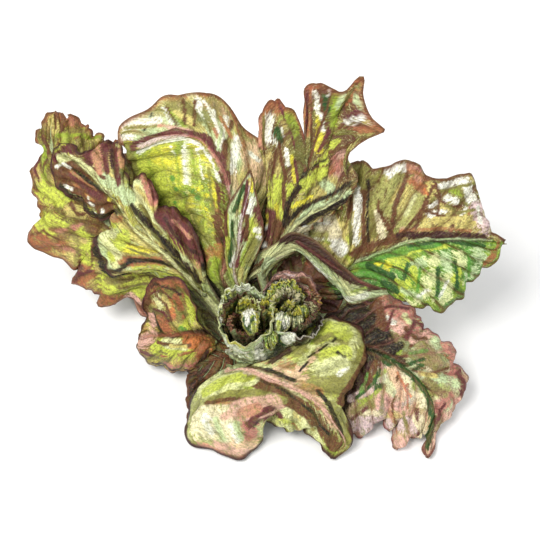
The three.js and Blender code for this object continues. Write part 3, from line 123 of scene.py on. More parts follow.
        mid=[(-8, 15, 15), (-18.7, 57.3, 33), (-25.5, 72.2, 44), (-32.5, 88.2, 53), (-37.5, 101, 62), (-41, 108.4, 73), (-43.7, 108.8, 84)],
        left=[(0, -12, 12, 15), (0.15, -26.1, 55.8, 31), (0.32, -47.2, 66, 38), (0.48, -63.4, 78.7, 46), (0.6, -61, 87.5, 52), (0.72, -70.8, 96.1, 60), (0.86, -64.5, 108.5, 72), (1, -45.5, 108.8, 84)],
        right=[(0, -4, 17, 15), (0.15, -12.6, 60.5, 33), (0.32, -7.7, 74, 42), (0.48, -2.8, 89.3, 50), (0.6, -10.2, 94.7, 56), (0.72, -7.7, 105.9, 64), (0.86, -16.3, 109.8, 76), (1, -41.8, 108.6, 85)],
        bulge=(3, 3)),
    "back_middle_right_leaf": dict(
        mid=[(9, 14, 15), (18.2, 54.1, 33), (31.8, 65.8, 42), (44.2, 78.4, 50), (55.3, 87.8, 58), (63.5, 89.5, 67)],
        left=[(0, 5, 16.5, 15), (0.15, 12.1, 56.4, 34), (0.32, 15.8, 68.9, 44), (0.48, 22, 85.6, 55), (0.6, 33, 86.2, 58), (0.72, 36.7, 92.3, 64), (0.86, 50.7, 91.9, 68), (1, 62.3, 90.3, 68)],
        right=[(0, 13, 11, 15), (0.15, 25.6, 50.9, 31), (0.32, 48.9, 55.6, 35), (0.48, 71.1, 64.2, 42), (0.6, 72.5, 74.5, 47), (0.72, 86.1, 79.2, 51), (0.86, 82.3, 87.7, 60), (1, 65.4, 89.5, 67)],
        bulge=(3, 3)),
    "back_low_leaf": dict(
        mid=[(0, 16, 14), (0, 42, 15), (2, 70, 14), (3, 94, 18), (4, 110, 28), (4, 118, 39)],
        left=[(0, -5, 16, 14), (0.2, -22, 42, 16), (0.35, -34, 60, 16), (0.5, -38, 80, 16), (0.62, -22, 89, 18), (0.75, -30, 104, 26), (0.88, -16, 114, 35), (1, 2, 119, 40)],
        right=[(0, 5, 16, 14), (0.2, 22, 42, 16), (0.35, 36, 60, 16), (0.5, 42, 78, 16), (0.62, 28, 88, 18), (0.75, 36, 102, 26), (0.88, 22, 113, 35), (1, 6, 119, 40)],
        bulge=(2, 2)),
    "back_low_left_leaf": dict(
        mid=[(-12, 12, 8), (-30, 34, 4), (-52, 60, 2), (-70, 80, 5), (-82, 96, 13), (-88, 106, 23)],
        left=[(0, -16, 8, 8), (0.2, -45, 28, 5), (0.35, -68, 36, 3), (0.5, -82, 56, 2), (0.62, -80, 70, 3), (0.75, -100, 78, 8), (0.88, -100, 96, 18), (1, -90, 106, 24)],
        right=[(0, -8, 16, 8), (0.2, -16, 46, 5), (0.35, -20, 68, 3), (0.5, -32, 88, 3), (0.62, -48, 88, 4), (0.75, -56, 106, 10), (0.88, -74, 113, 20), (1, -87, 107, 24)],
        bulge=(2, 2)),
    "back_low_right_leaf": dict(
        mid=[(12, 12, 8), (32, 32, 4), (54, 54, 2), (74, 74, 5), (88, 88, 12), (95, 95, 21)],
        left=[(0, 8, 16, 8), (0.2, 18, 44, 5), (0.35, 22, 66, 3), (0.5, 34, 84, 3), (0.62, 52, 82, 4), (0.75, 58, 100, 10), (0.88, 80, 104, 19), (1, 94, 96, 22)],
        right=[(0, 16, 8, 8), (0.2, 46, 18, 5), (0.35, 68, 24, 3), (0.5, 86, 36, 2), (0.62, 84, 50, 3), (0.75, 102, 60, 8), (0.88, 104, 80, 16), (1, 96, 95, 22)],
        bulge=(2, 2)),
}

# leaves of the heart: parts of cups round the axis from base to top
HEART_LEAVES = {
    "heart_left_outer_leaf": dict(base=(-6.5, -4.5, 33), top=(-10.2, -9.3, 61), R=15.4, r0=4, phi=-75, dphi=150, flare=0.9, droop=0.1, spiral=0.08, ruffle=(3, 0.5), w0=0.45, mid=0.55),
    "heart_left_frill_leaf": dict(base=(-6.5, -3, 33), top=(-10.7, -6.1, 68), R=14.6, r0=3.8, phi=98, dphi=84, flare=1.2, droop=0.3, spiral=0.02, ruffle=(9, 0.8), w0=0.45, mid=0.55),
    "heart_left_back_leaf": dict(base=(-6.5, -3.5, 34), top=(-10.7, -9, 67), R=11.9, r0=3.2, phi=95, dphi=120, flare=-0.4, droop=0.22, spiral=0.08, ruffle=(5, 0.6), w0=0.45, mid=0.55),
    "heart_left_middle_leaf": dict(base=(-6.5, -4.5, 35), top=(-10.7, -10.9, 63), R=9.2, r0=2.6, phi=-130, dphi=125, flare=-0.6, droop=0.2, spiral=0.1, ruffle=(4, 0.5), w0=0.45, mid=0.5),
    "heart_left_inner_leaf": dict(base=(-6.5, -4.5, 36), top=(-8.4, -10.3, 66), R=5.8, r0=2, phi=20, dphi=130, flare=-0.4, droop=0.3, spiral=0.12, ruffle=(3, 0.4), w0=0.45, mid=0.5),
    "heart_left_bud": dict(base=(-6.5, -4.5, 37), top=(-8.5, -8.7, 63), R=2.6, r0=1.6, phi=150, dphi=140, flare=-0.7, droop=0.3, spiral=0.2, ruffle=(0, 0), w0=0.45, mid=0.4),
    "heart_right_outer_leaf": dict(base=(8.5, 3, 33), top=(19.7, -1.2, 60), R=17.4, r0=4.2, phi=-60, dphi=86, flare=0.5, droop=0.2, spiral=0.05, ruffle=(4, 0.7), w0=0.45, mid=0.55),
    "heart_right_back_leaf": dict(base=(8.5, 5, 34), top=(17.8, -1.9, 71), R=17.2, r0=4.2, phi=80, dphi=86, flare=1.2, droop=0.26, spiral=-0.04, ruffle=(7, 0.8), w0=0.45, mid=0.55),
    "heart_right_side_leaf": dict(base=(8, 4, 35), top=(19.6, -0.9, 67), R=13.2, r0=3.4, phi=-16, dphi=76, flare=-0.2, droop=0.25, spiral=-0.05, ruffle=(6, 0.6), w0=0.45, mid=0.5),
    "heart_right_frill_leaf": dict(base=(8, 4, 35), top=(16.1, -2.5, 69), R=12.4, r0=3.2, phi=96, dphi=74, flare=0.6, droop=0.22, spiral=0.02, ruffle=(9, 0.7), w0=0.45, mid=0.52),
    "heart_right_middle_leaf": dict(base=(8, 4, 36), top=(16.7, -2.4, 68), R=9, r0=2.6, phi=112, dphi=105, flare=0.2, droop=0.28, spiral=0.08, ruffle=(7, 0.7), w0=0.45, mid=0.5),
    "heart_right_inner_leaf": dict(base=(8, 4, 37), top=(16.8, -2.3, 66), R=6, r0=1.9, phi=-60, dphi=125, flare=0.0, droop=0.3, spiral=0.12, ruffle=(5, 0.5), w0=0.45, mid=0.5),
    "heart_right_bud": dict(base=(8, 4, 38), top=(16.8, -1.5, 65), R=2.8, r0=1.5, phi=60, dphi=140, flare=-0.7, droop=0.3, spiral=0.2, ruffle=(0, 0), w0=0.45, mid=0.4),
    "heart_front_cup_leaf": dict(base=(-4, -7, 20), top=(-7.5, -5, 47), R=15.5, r0=6, phi=-88, dphi=78, flare=0.8, droop=0.3, spiral=0.05, ruffle=(4, 0.5), w0=0.5, mid=0.6),
}

# the smallest leaves between them, each beside a leaf of the heart
HEART_CRISPS = {
    "heart_right_crisp_a": dict(beside="heart_right_frill_leaf", base=(8, 4, 36), top=(15.6, -1.6, 66), R=14.4, r0=2.6, phi=100, dphi=60, flare=0.5, droop=0.25, spiral=0.03, ruffle=(11, 0.5), w0=0.45, mid=0.52),
    "heart_right_crisp_b": dict(beside="heart_right_frill_leaf", base=(8, 4, 36), top=(15.6, -2.8, 68.5), R=10.6, r0=2.6, phi=104, dphi=64, flare=0.5, droop=0.25, spiral=0.03, ruffle=(11, 0.5), w0=0.45, mid=0.52),
    "heart_right_crisp_c": dict(beside="heart_right_middle_leaf", base=(8, 4, 36), top=(15.6, -2, 66.5), R=7.3, r0=2.6, phi=96, dphi=70, flare=0.5, droop=0.25, spiral=0.03, ruffle=(9, 0.5), w0=0.45, mid=0.52),
    "heart_right_crisp_d": dict(beside="heart_right_side_leaf", base=(8, 4, 36), top=(19, -1.7, 68), R=15.4, r0=2.6, phi=22, dphi=40, flare=0.5, droop=0.25, spiral=0.03, ruffle=(9, 0.5), w0=0.45, mid=0.52),
    "heart_right_crisp_e": dict(beside="heart_right_side_leaf", base=(8, 4, 36), top=(19.1, -0.8, 65), R=10.4, r0=2.6, phi=2, dphi=44, flare=0.5, droop=0.25, spiral=0.03, ruffle=(9, 0.5), w0=0.45, mid=0.52),
    "heart_right_crisp_f": dict(beside="heart_right_inner_leaf", bulge=(1.6, 1.6),
        mid=[(8, 4, 36), (12.9, 0.9, 48), (12.8, -4.1, 60), (12.3, -8.5, 62.5), (11.6, -11.1, 60), (10.4, -14.1, 55)],
        left=[(0, 9.2, 4, 36), (0.3, 15.4, -0.6, 50), (0.5, 16.8, -6.3, 60), (0.66, 16.6, -10.4, 62), (0.82, 15.8, -11.6, 59.2), (0.93, 13.7, -13.2, 56.5), (1, 10.4, -14.1, 55)],
        right=[(0, 6.8, 4, 36), (0.3, 10.3, 0.7, 50), (0.5, 8.7, -4.2, 60), (0.66, 7.7, -8, 62), (0.82, 7.4, -9.3, 59.2), (0.93, 8.1, -11.8, 56.5), (1, 10.4, -14.1, 55)]),
    "heart_right_crisp_g": dict(beside="heart_right_inner_leaf", bulge=(1.6, 1.6),
        mid=[(8, 4, 36), (19.9, 1.7, 46), (19.7, -3.3, 58), (19.9, -7.3, 60.5), (20.2, -9.2, 58), (20.8, -11.1, 53)],
        left=[(0, 9.2, 4, 36), (0.3, 22.2, 1.2, 48), (0.5, 23.2, -3.8, 58), (0.66, 23.8, -7.2, 60), (0.82, 24, -7.9, 57.2), (0.93, 23.1, -9.5, 54.5), (1, 20.8, -11.1, 53)],
        right=[(0, 6.8, 4, 36), (0.3, 17.6, 0.5, 48), (0.5, 16.2, -5, 58), (0.66, 16, -8.4, 60), (0.82, 16.5, -9.1, 57.2), (0.93, 18.2, -10.3, 54.5), (1, 20.8, -11.1, 53)]),
    "heart_right_crisp_h": dict(beside="heart_right_inner_leaf", bulge=(1.6, 1.6),
        mid=[(8, 4, 36), (22.3, 6.1, 48), (22.1, 1, 60), (22.4, -2.7, 62.5), (23.1, -4.2, 60.5), (24.3, -5.4, 56)],
        left=[(0, 9.2, 4, 36), (0.3, 24.6, 6.2, 50), (0.5, 25.7, 1.4, 60), (0.66, 26.6, -1.4, 62), (0.82, 27, -2, 59.7), (0.93, 26.4, -3.7, 57.5), (1, 24.3, -5.4, 56)],
        right=[(0, 6.8, 4, 36), (0.3, 19.9, 4.3, 50), (0.5, 18.3, -1.5, 60), (0.66, 18.5, -4.6, 62), (0.82, 19.3, -5, 59.7), (0.93, 21.3, -5.7, 57.5), (1, 24.3, -5.4, 56)]),
    "heart_right_crisp_i": dict(beside="heart_right_outer_leaf", bulge=(1.6, 1.6),
        mid=[(6, 0, 34), (4.7, -8.5, 42), (4.7, -13.3, 54), (4.8, -17.4, 56.5), (5, -19.5, 54), (5.3, -21.8, 49)],
        left=[(0, 7.2, 0, 34), (0.3, 7, -9.1, 44), (0.5, 8.2, -14.1, 54), (0.66, 8.7, -17.6, 56), (0.82, 8.7, -18.6, 53.2), (0.93, 7.6, -20.3, 50.5), (1, 5.3, -21.8, 49)],
        right=[(0, 4.8, 0, 34), (0.3, 2.4, -9.5, 44), (0.5, 1.2, -14.7, 54), (0.66, 0.9, -18.2, 56), (0.82, 1.3, -19.1, 53.2), (0.93, 2.7, -20.7, 50.5), (1, 5.3, -21.8, 49)]),
    "heart_between_crisp_a": dict(beside="heart_right_frill_leaf", base=(1, 0, 34), top=(3, -3.6, 64), R=4.6, r0=1.6, phi=90, dphi=165, flare=0.5, droop=0.25, spiral=0.03, ruffle=(7, 0.5), w0=0.45, mid=0.52),
    "heart_between_crisp_b": dict(beside="heart_right_frill_leaf", base=(1, -2, 34), top=(3, -7.8, 60), R=4.2, r0=1.6, phi=90, dphi=165, flare=0.5, droop=0.25, spiral=0.03, ruffle=(7, 0.5), w0=0.45, mid=0.52),
    "heart_left_crisp_a": dict(beside="heart_left_frill_leaf", base=(-6.5, -4.5, 36), top=(-10.1, -9.7, 67), R=10.2, r0=2.6, phi=70, dphi=62, flare=0.5, droop=0.25, spiral=0.03, ruffle=(9, 0.5), w0=0.45, mid=0.52),
    "heart_left_crisp_b": dict(beside="heart_left_middle_leaf", base=(-6.5, -4.5, 36), top=(-11.3, -10.1, 62), R=7.2, r0=2.6, phi=185, dphi=66, flare=0.5, droop=0.25, spiral=0.03, ruffle=(7, 0.4), w0=0.45, mid=0.52),
    "heart_left_crisp_c": dict(beside="heart_left_middle_leaf", base=(-6.5, -4.5, 36), top=(-10.8, -9.3, 60), R=7.3, r0=2.6, phi=-96, dphi=56, flare=0.5, droop=0.25, spiral=0.03, ruffle=(7, 0.4), w0=0.45, mid=0.52),
    "heart_left_crisp_d": dict(beside="heart_left_frill_leaf", base=(-6.5, -4.5, 36), top=(-11.3, -7.4, 65), R=16.2, r0=3.6, phi=100, dphi=66, flare=0.5, droop=0.25, spiral=0.03, ruffle=(11, 0.5), w0=0.45, mid=0.52),
    "heart_left_crisp_e": dict(beside="heart_left_inner_leaf", bulge=(2.4, 2.4),
        mid=[(-6.5, -3, 40), (-7.5, 0, 52), (-7.3, -5.1, 64), (-6.9, -10.4, 66.5), (-6.4, -15, 64.5), (-5.5, -20.8, 60)],
        left=[(0, -5.3, -3, 40), (0.3, -4.9, -0.5, 54), (0.5, -3.2, -5.6, 64), (0.66, -2.3, -10.8, 66), (0.82, -2.1, -13.7, 63.7), (0.93, -3.1, -17.8, 61.5), (1, -5.5, -20.8, 60)],
        right=[(0, -7.7, -3, 40), (0.3, -10.1, -1.3, 54), (0.5, -11.4, -6.8, 64), (0.66, -11.4, -12.1, 66), (0.82, -10.7, -15, 63.7), (0.93, -8.7, -18.7, 61.5), (1, -5.5, -20.8, 60)]),
    # base_shade_leaf: a small dark leaf under the heart that fills the gap there with painted shade
    "base_shade_leaf": dict(beside="front_under_leaf", bulge=(1.5, 1.5),
        mid=[(-8, -9, 14), (-13.2, -2.2, 22), (-21.4, -8.1, 24), (-29.6, -11.1, 23), (-36.9, -11.8, 19), (-44.2, -12.6, 14)],
        left=[(0, -11, -5, 14), (0.25, -18.1, 6.8, 24), (0.45, -26.3, 3, 25), (0.65, -34.7, 0.8, 22), (0.85, -42, -2.9, 17), (1, -44.8, -12.6, 14)],
        right=[(0, -4, -12, 14), (0.25, -4.8, -12.5, 20), (0.45, -13, -19.1, 19), (0.65, -23.7, -20.6, 17), (0.85, -35.6, -19.2, 14), (1, -43.6, -13.3, 14)]),
}

# ------------------------------------------------------------------ looks --
# strokes: (from, to, radius in mm, colour, amount), brush-like marks on the blade between two points; besides the
# leaves' own colours they paint shade and shadow (dark strokes under overlapping leaves, beside ribs, in folds and deep
# by the stem) and highlights (small white dabs)
DEFAULT_LOOK = dict(seed=1, grid=(64, 51), tooth=(0.05, 18, 1), rib_w=3, rib_h=2, rib_top=0.5, blade=0.75, veins=9, slant=0.28, cell=11, wave=1.2, pucker=1.6, blister=0.7, ruffle=(2.2, 9, 3), base=("leaf", "olive", "lime"), stalk="mint", edge=("rust", 4, 0.85), rib="mint", fleck_colour="lime", light_colour="pale", valley_colour="moss", vein_colour="moss", hatch=0.56, valley=0.55)
HEART_LOOK = dict(seed=61, grid=(50, 61), tooth=(0, 18, 1), rib_w=1.2, rib_h=0.6, rib_top=0.2, blade=0.7, veins=6, slant=0.3, cell=6, wave=0.35, pucker=0.8, blister=0.5, ruffle=(0.5, 7, 2), frill=(1.3, 9, 1.7), base=("lime", "pale", "leaf"), stalk="leaf", edge=("pale", 1.6, 0.8), rib="pale", rib_amount=0.4, rib_line_amount=0.15, fleck_colour="yellow", light_colour="white", valley_colour="deep", vein_colour="mint", net_scale=0.4, bump=0.6, shade_to=0.34, rim=0.45, rim_width=2, under=0.12, through=1, hatch=0.62, hatch_dark="moss", dark_colour="moss", relief_light_and_shade=0.5)
LOOKS = {
    "left_outer_leaf": dict(seed=3, grid=(150, 91), tooth=(0.09, 21, 3), veins=11, slant=0.3, rib_w=3.2, wave=2, pucker=2, blister=0.9, ruffle=(3.2, 12, 2.6), base=("olive", "straw", "rust"), edge=("rust", 6, 0.9), fleck_colour="brown", light_colour="lime", valley=0.6, valley_colour="brown", rim_width=3.4, face=-1, strokes=[
        ((-129.6, 110.9, 94.5), (-122.9, 116.4, 98.6), 5, "brown", 0.7), ((-128.7, 120, 97.1), (-124.5, 108.2, 95.7), 3, "straw", 0.9),
        ((-116.8, 113.9, 99), (-109.9, 113.7, 99.2), 3.2, "rose", 0.5), ((-119.6, 100, 93.5), (-115.5, 104.8, 96), 2.72, "leaf", 0.7),
        ((-115.5, 104.8, 96), (-106.7, 106.8, 96.9), 2.72, "leaf", 0.7), ((-115.3, 106.6, 96.7), (-106.3, 104.2, 96), 2.29, "olive", 0.8),
        ((-103, 103.3, 95.2), (-93.3, 102.9, 93.3), 3.6, "straw", 0.9), ((-130.4, 100.6, 87.3), (-129.6, 85.8, 79.7), 3, "leaf", 0.9),
        ((-133.1, 105, 85.4), (-134.8, 91.8, 77.3), 1.06, "wine", 0.8), ((-134.8, 91.8, 77.3), (-131.4, 80.1, 74.3), 1.06, "wine", 0.8),
        ((-130.8, 78.7, 73.3), (-119.9, 72.2, 73.6), 6, "lime", 0.95), ((-130.4, 66.9, 61.9), (-120.9, 60.3, 60.4), 6.6, "lime", 0.97),
        ((-132.2, 74.4, 66), (-118.1, 67.4, 69.5), 1.06, "brown", 0.7), ((-118.1, 67.4, 69.5), (-105.9, 61.5, 66.8), 1.06, "brown", 0.7),
        ((-115.2, 67.2, 70.4), (-107.8, 64.5, 69.6), 3.6, "straw", 0.7), ((-114.2, 69.4, 72.9), (-110.7, 64.5, 69), 1.33, "brown", 0.85),
        ((-110.7, 64.5, 69), (-105.8, 64.1, 69.6), 1.33, "brown", 0.85), ((-137.6, 58.7, 48.2), (-123.7, 58.3, 56.1), 6, "rust", 0.95),
        ((-123.7, 58.3, 56.1), (-106.9, 59.7, 64.4), 3.68, "brown", 0.75), ((-106.9, 59.7, 64.4), (-86.2, 60.1, 67.8), 3.68, "brown", 0.75),
        ((-121.8, 60.1, 59.7), (-97.1, 60.2, 67), 1.48, "rose", 0.8), ((-107, 57, 60.7), (-105.1, 47.7, 44.4), 4.2, "lime", 0.95),
        ((-108.1, 55.3, 57.3), (-106.5, 54.8, 56.7), 1.33, "straw", 0.7), ((-104.4, 50.8, 49.3), (-104.4, 50.8, 49.3), 1.33, "straw", 0.7),
        ((-110.6, 56.8, 59.2), (-108.9, 49.4, 42.1), 0.92, "brown", 0.85), ((-100.7, 54.2, 57.5), (-103.1, 45.7, 41), 0.99, "brown", 0.8),
        ((-115.6, 45.3, 29.9), (-106.9, 45.5, 38.2), 6, "rust", 0.92), ((-115.3, 46, 31.2), (-108.1, 47.6, 41.6), 1.48, "wine", 0.7),
        ((-93.4, 39.5, 34.5), (-72.8, 36.5, 34.7), 7.5, "lime", 0.9), ((-99.3, 43.2, 35.3), (-82.5, 38.6, 34.3), 1.06, "olive", 0.85),
        ((-82.5, 38.6, 34.3), (-67.8, 36.4, 38.1), 1.06, "olive", 0.85), ((-100.6, 37.5, 22.7), (-82.5, 36.9, 24.2), 4, "rust", 0.9),
        ((-79.4, 36.2, 24.6), (-70.4, 28.9, 17.3), 5, "pink", 0.9), ((-92.7, 37.3, 25.1), (-76.8, 34.5, 23.3), 1.26, "wine", 0.7),
        # the dark strokes from here on are painted shadow: shade cast by the ruffled leaf above, and shade in the folds
        # between the lobes
        ((-76.8, 34.5, 23.3), (-69.2, 27.9, 14.9), 1.26, "wine", 0.7), ((-99.5, 50.7, 52.6), (-96.2, 46.1, 45.3), 2.29, "dark", 0.97),
        ((-96.2, 46.1, 45.3), (-90.7, 41.4, 40.2), 2.29, "dark", 0.97), ((-90.7, 41.4, 40.2), (-85.9, 41.8, 43.3), 2.29, "dark", 0.97),
        ((-85.9, 41.8, 43.3), (-78.2, 43.1, 47.6), 2.29, "dark", 0.97), ((-78.2, 43.1, 47.6), (-65.2, 41.8, 48.5), 2.29, "dark", 0.97),
        ((-65.2, 41.8, 48.5), (-48.3, 39.7, 43.3), 2.29, "dark", 0.97), ((-48.3, 39.7, 43.3), (-37.5, 30.5, 31.3), 2.29, "dark", 0.97),
        ((-125.4, 121.3, 98.9), (-124.7, 109.1, 95.9), 1.06, "brown", 0.9), ((-122.4, 116.7, 98.8), (-120.3, 106.6, 96), 0.99, "brown", 0.9),
        ((-122.7, 104.5, 94.7), (-108.1, 103.2, 95.7), 1.33, "leaf", 0.85), ((-108.1, 103.2, 95.7), (-97.4, 101.8, 93.6), 1.33, "leaf", 0.85),
        ((-106.2, 108.3, 97.4), (-99.5, 105.2, 95.2), 1.06, "rose", 0.8), ((-131.9, 107.2, 91.7), (-127.6, 97.9, 89.5), 1.06, "brown", 0.85),
        ((-127.6, 97.9, 89.5), (-130.2, 88.8, 80.7), 1.06, "brown", 0.85), ((-126.3, 92.6, 86.6), (-127.6, 80.5, 77.4), 1.33, "olive", 0.85),
        ((-134.4, 75.8, 65.5), (-127.6, 69.1, 65.9), 1.06, "olive", 0.85), ((-127.6, 69.1, 65.9), (-120.1, 68.7, 69.9), 1.06, "olive", 0.85),
        ((-115.7, 60.5, 62.7), (-110, 54.5, 55), 1.48, "olive", 0.8), ((-110, 54.5, 55), (-112.4, 50.9, 42), 1.48, "olive", 0.8),
        ((-135.1, 66.6, 57.7), (-125.6, 59.2, 56.6), 1.94, "lime", 0.85), ((-140.4, 63, 50.8), (-130.4, 61.8, 57.4), 0.99, "brown", 0.85),
        ((-130.4, 61.8, 57.4), (-122.4, 57.2, 54.8), 0.99, "brown", 0.85), ((-120.8, 79.3, 79.9), (-117, 74, 76.5), 1.41, "dark", 0.98),
        ((-117, 74, 76.5), (-113.5, 71.6, 75.2), 1.41, "dark", 0.98), ((-113.5, 71.6, 75.2), (-106.1, 70.3, 75.6), 1.41, "dark", 0.98),
        ((-106.1, 70.3, 75.6), (-104.1, 66, 71.8), 1.41, "dark", 0.98), ((-104.1, 66, 71.8), (-99.3, 62.5, 69.2), 1.41, "dark", 0.98),
        ((-99.3, 62.5, 69.2), (-91.1, 61.9, 69.4), 1.41, "dark", 0.98), ((-91.1, 61.9, 69.4), (-85.1, 64.1, 71.3), 1.41, "dark", 0.98),
        ((-103, 59.1, 64.6), (-90.2, 59.4, 67), 4, "brown", 0.75), ((-123.4, 55.5, 51), (-113.7, 53.2, 50.3), 1.48, "rose", 0.7),
        ((-106, 42.8, 26.4), (-99.6, 37.1, 22), 1.33, "rust", 0.85), ((-99.6, 37.1, 22), (-86.8, 37.1, 23.7), 1.33, "rust", 0.85),
        ((-117.1, 45.1, 27.6), (-111.2, 45.3, 34.5), 1.26, "wine", 0.8), ((-111.2, 45.3, 34.5), (-103.1, 45.7, 41), 1.26, "wine", 0.8),
        ((-93.3, 40.3, 36.3), (-79.3, 39.8, 39.7), 2.11, "olive", 0.8),
    ]),
    "left_ruffled_leaf": dict(seed=4, grid=(150, 91), tooth=(0.08, 17, 5), veins=10, slant=0.25, rib_w=2.2, rib_h=2.6, wave=1.4, pucker=2, blister=0.9, ruffle=(2.4, 11, 2.8), base=("lime", "straw", "mint"), edge=("brown", 2.6, 0.9), rib="pale", rib_amount=0.9, rib_line="moss", rib_line_amount=0.9, fleck_colour="mint", valley=0.6, valley_colour="brown", light_colour="lime", rim_width=3.6, rim_colour="plum", rim=0.85, face=-1, strokes=[
        ((-116.8, 82.3, 87.7), (-92.9, 63.7, 82.4), 9.5, "brown", 0.97), ((-117.1, 80.4, 86.3), (-100.7, 69.7, 83.1), 1.94, "rust", 0.8),
        ((-113.2, 81.6, 88.2), (-93.1, 66.2, 85.2), 1.06, "rust", 0.8), ((-117.6, 87.9, 90.4), (-85.5, 61.3, 87.4), 0.99, "dark", 0.9),
        ((-119.5, 77.8, 83.6), (-97.1, 64.6, 80), 0.99, "plum", 0.9), ((-114.6, 83.2, 88.9), (-90.9, 64.1, 84.6), 0.92, "plum", 0.85),
        ((-117.4, 91.3, 92.8), (-98, 76.6, 93.2), 3, "pale", 0.98), ((-98, 76.6, 93.2), (-78.8, 58.8, 92.5), 3, "pale", 0.98),
        ((-95.9, 74.4, 92.6), (-77.7, 57.8, 92.3), 3.6, "mint", 0.95), ((-122.2, 90, 90.2), (-113.7, 92.1, 97.6), 3.4, "wine", 0.92),
        ((-113.7, 92.1, 97.6), (-101.3, 86.1, 102.1), 3.4, "wine", 0.92), ((-103.9, 85.7, 100.7), (-89, 85.8, 105.7), 3.2, "wine", 0.9),
        ((-100.3, 84.1, 100.5), (-96.4, 77.8, 96), 3, "rose", 0.7), ((-93.2, 84.9, 103.8), (-91.6, 73.9, 96), 1.48, "wine", 0.92),
        ((-88.5, 81.5, 103.4), (-87.8, 67.7, 93.9), 2.11, "straw", 0.8), ((-85.5, 82.3, 104.9), (-83.6, 64.8, 95.4), 1.94, "wine", 0.92),
        ((-97.3, 86.9, 103.9), (-101.8, 83.3, 98.4), 1.48, "brown", 0.85), ((-80.7, 71.8, 101), (-69.5, 63.1, 101), 7, "moss", 0.92),
        ((-80.8, 73.5, 102), (-68.4, 66.3, 103), 3, "olive", 0.95), ((-80.6, 77.1, 103.9), (-80.6, 73.9, 102.2), 2.29, "rust", 0.6),
        ((-68.5, 64.6, 102.1), (-63.6, 52.5, 93.1), 2.29, "rose", 0.95), ((-71.3, 62.8, 100.1), (-69.3, 66.2, 102.7), 0.99, "plum", 0.97),
        ((-69.3, 66.2, 102.7), (-66.9, 65.6, 102.7), 0.99, "plum", 0.97), ((-67, 64, 101.8), (-62.7, 52.3, 93), 0.99, "plum", 0.95),
        ((-72.7, 56.4, 95), (-60.4, 42.7, 84), 8, "pale", 0.92), ((-76.8, 59.2, 93.6), (-63.5, 44.4, 83.1), 1.48, "leaf", 0.9),
        ((-70.7, 51.7, 90.3), (-59.3, 40.3, 79.9), 1.48, "olive", 0.85), ((-72.4, 59.3, 97.5), (-61.4, 47.8, 89.5), 1.48, "straw", 0.9),
        ((-63.8, 59.8, 98.3), (-54.8, 50.8, 92), 3, "deep", 0.95), ((-57.8, 46.8, 89), (-52.3, 50.3, 91.4), 4, "plum", 0.97),
        ((-54, 46.3, 88.7), (-37.9, 34.6, 77.2), 8.5, "wine", 0.93), ((-49.5, 41.3, 83.2), (-39, 36.6, 79.4), 3, "rose", 0.95),
        ((-53.2, 46.7, 88.9), (-48.6, 43.7, 85.7), 2.11, "rose", 0.8), ((-57.7, 43.9, 86.1), (-49.6, 37.8, 78.5), 1.06, "plum", 0.97),
        ((-49.6, 37.8, 78.5), (-37, 32.4, 74.4), 1.06, "plum", 0.97), ((-50, 49.6, 90.5), (-37.5, 37.6, 80.3), 0.92, "plum", 0.9),
        ((-37.1, 35.9, 78.5), (-35, 27.7, 66.8), 3.2, "rose", 0.85), ((-36.6, 36.2, 78.6), (-34.5, 26.8, 64.8), 0.86, "plum", 0.9),
        ((-75.6, 52.5, 88.1), (-56.6, 37.2, 72.9), 1.26, "moss", 0.97), ((-56.6, 37.2, 72.9), (-37.7, 23.7, 54), 1.26, "moss", 0.97),
        ((-65.3, 41.2, 73), (-49.2, 31.4, 64.6), 1.33, "dark", 0.9), ((-49.2, 31.4, 64.6), (-38.4, 23.5, 51.1), 1.33, "dark", 0.9),
        ((-121.8, 84.7, 87.6), (-119, 86.2, 89.2), 1.06, "white", 0.98), ((-119, 86.2, 89.2), (-114.6, 83.2, 88.9), 1.06, "white", 0.98),
        ((-116.7, 76, 81.9), (-116.7, 76, 81.9), 0.92, "white", 0.95), ((-114.1, 75.1, 81.4), (-114.3, 74.8, 81), 0.92, "white", 0.95),
        ((-102, 68.2, 80), (-102, 68.2, 80), 0.92, "white", 0.95), ((-101.3, 66, 77.7), (-100.5, 64.9, 76.9), 0.92, "white", 0.95),
        ((-98.2, 61.6, 74), (-98.2, 61.6, 74), 0.92, "white", 0.95), ((-93.7, 61.2, 77.5), (-93.7, 61, 77.1), 0.92, "white", 0.95),
        # the chains of dark strokes here and further down are painted shadow, along the lower edge of this leaf where
        # it shades the leaf below, and beside its rib
        ((-117.9, 74.7, 80.1), (-113, 72, 76.5), 1.41, "dark", 0.98), ((-113, 72, 76.5), (-106.8, 70, 77.1), 1.41, "dark", 0.98),
        ((-106.8, 70, 77.1), (-103.8, 65.3, 73.2), 1.41, "dark", 0.98), ((-103.8, 65.3, 73.2), (-98.4, 60.3, 71.2), 1.41, "dark", 0.98),
        ((-98.4, 60.3, 71.2), (-90.4, 59.5, 74.4), 1.41, "dark", 0.98), ((-90.4, 59.5, 74.4), (-82.9, 56.4, 80.9), 1.41, "dark", 0.98),
        ((-89.4, 63, 84.4), (-88.8, 62.6, 84.4), 1.06, "yellow", 0.95), ((-86.9, 62.7, 87.5), (-86.3, 61.9, 87.1), 1.06, "yellow", 0.95),
        ((-95.2, 50.4, 65.2), (-89, 39.9, 57.9), 6, "mint", 0.8), ((-86.5, 42.9, 65.6), (-84.1, 37.3, 56.8), 4, "pale", 0.8),
        ((-90.8, 49.9, 69.2), (-81.9, 43.6, 69.8), 3, "pale", 0.95), ((-92.2, 52.8, 69.2), (-79.8, 44.1, 71.6), 0.99, "brown", 0.9),
        ((-79.8, 44.1, 71.6), (-65.3, 40.1, 70.3), 0.99, "brown", 0.9), ((-65.3, 40.1, 70.3), (-55.8, 34.5, 64.5), 0.99, "brown", 0.9),
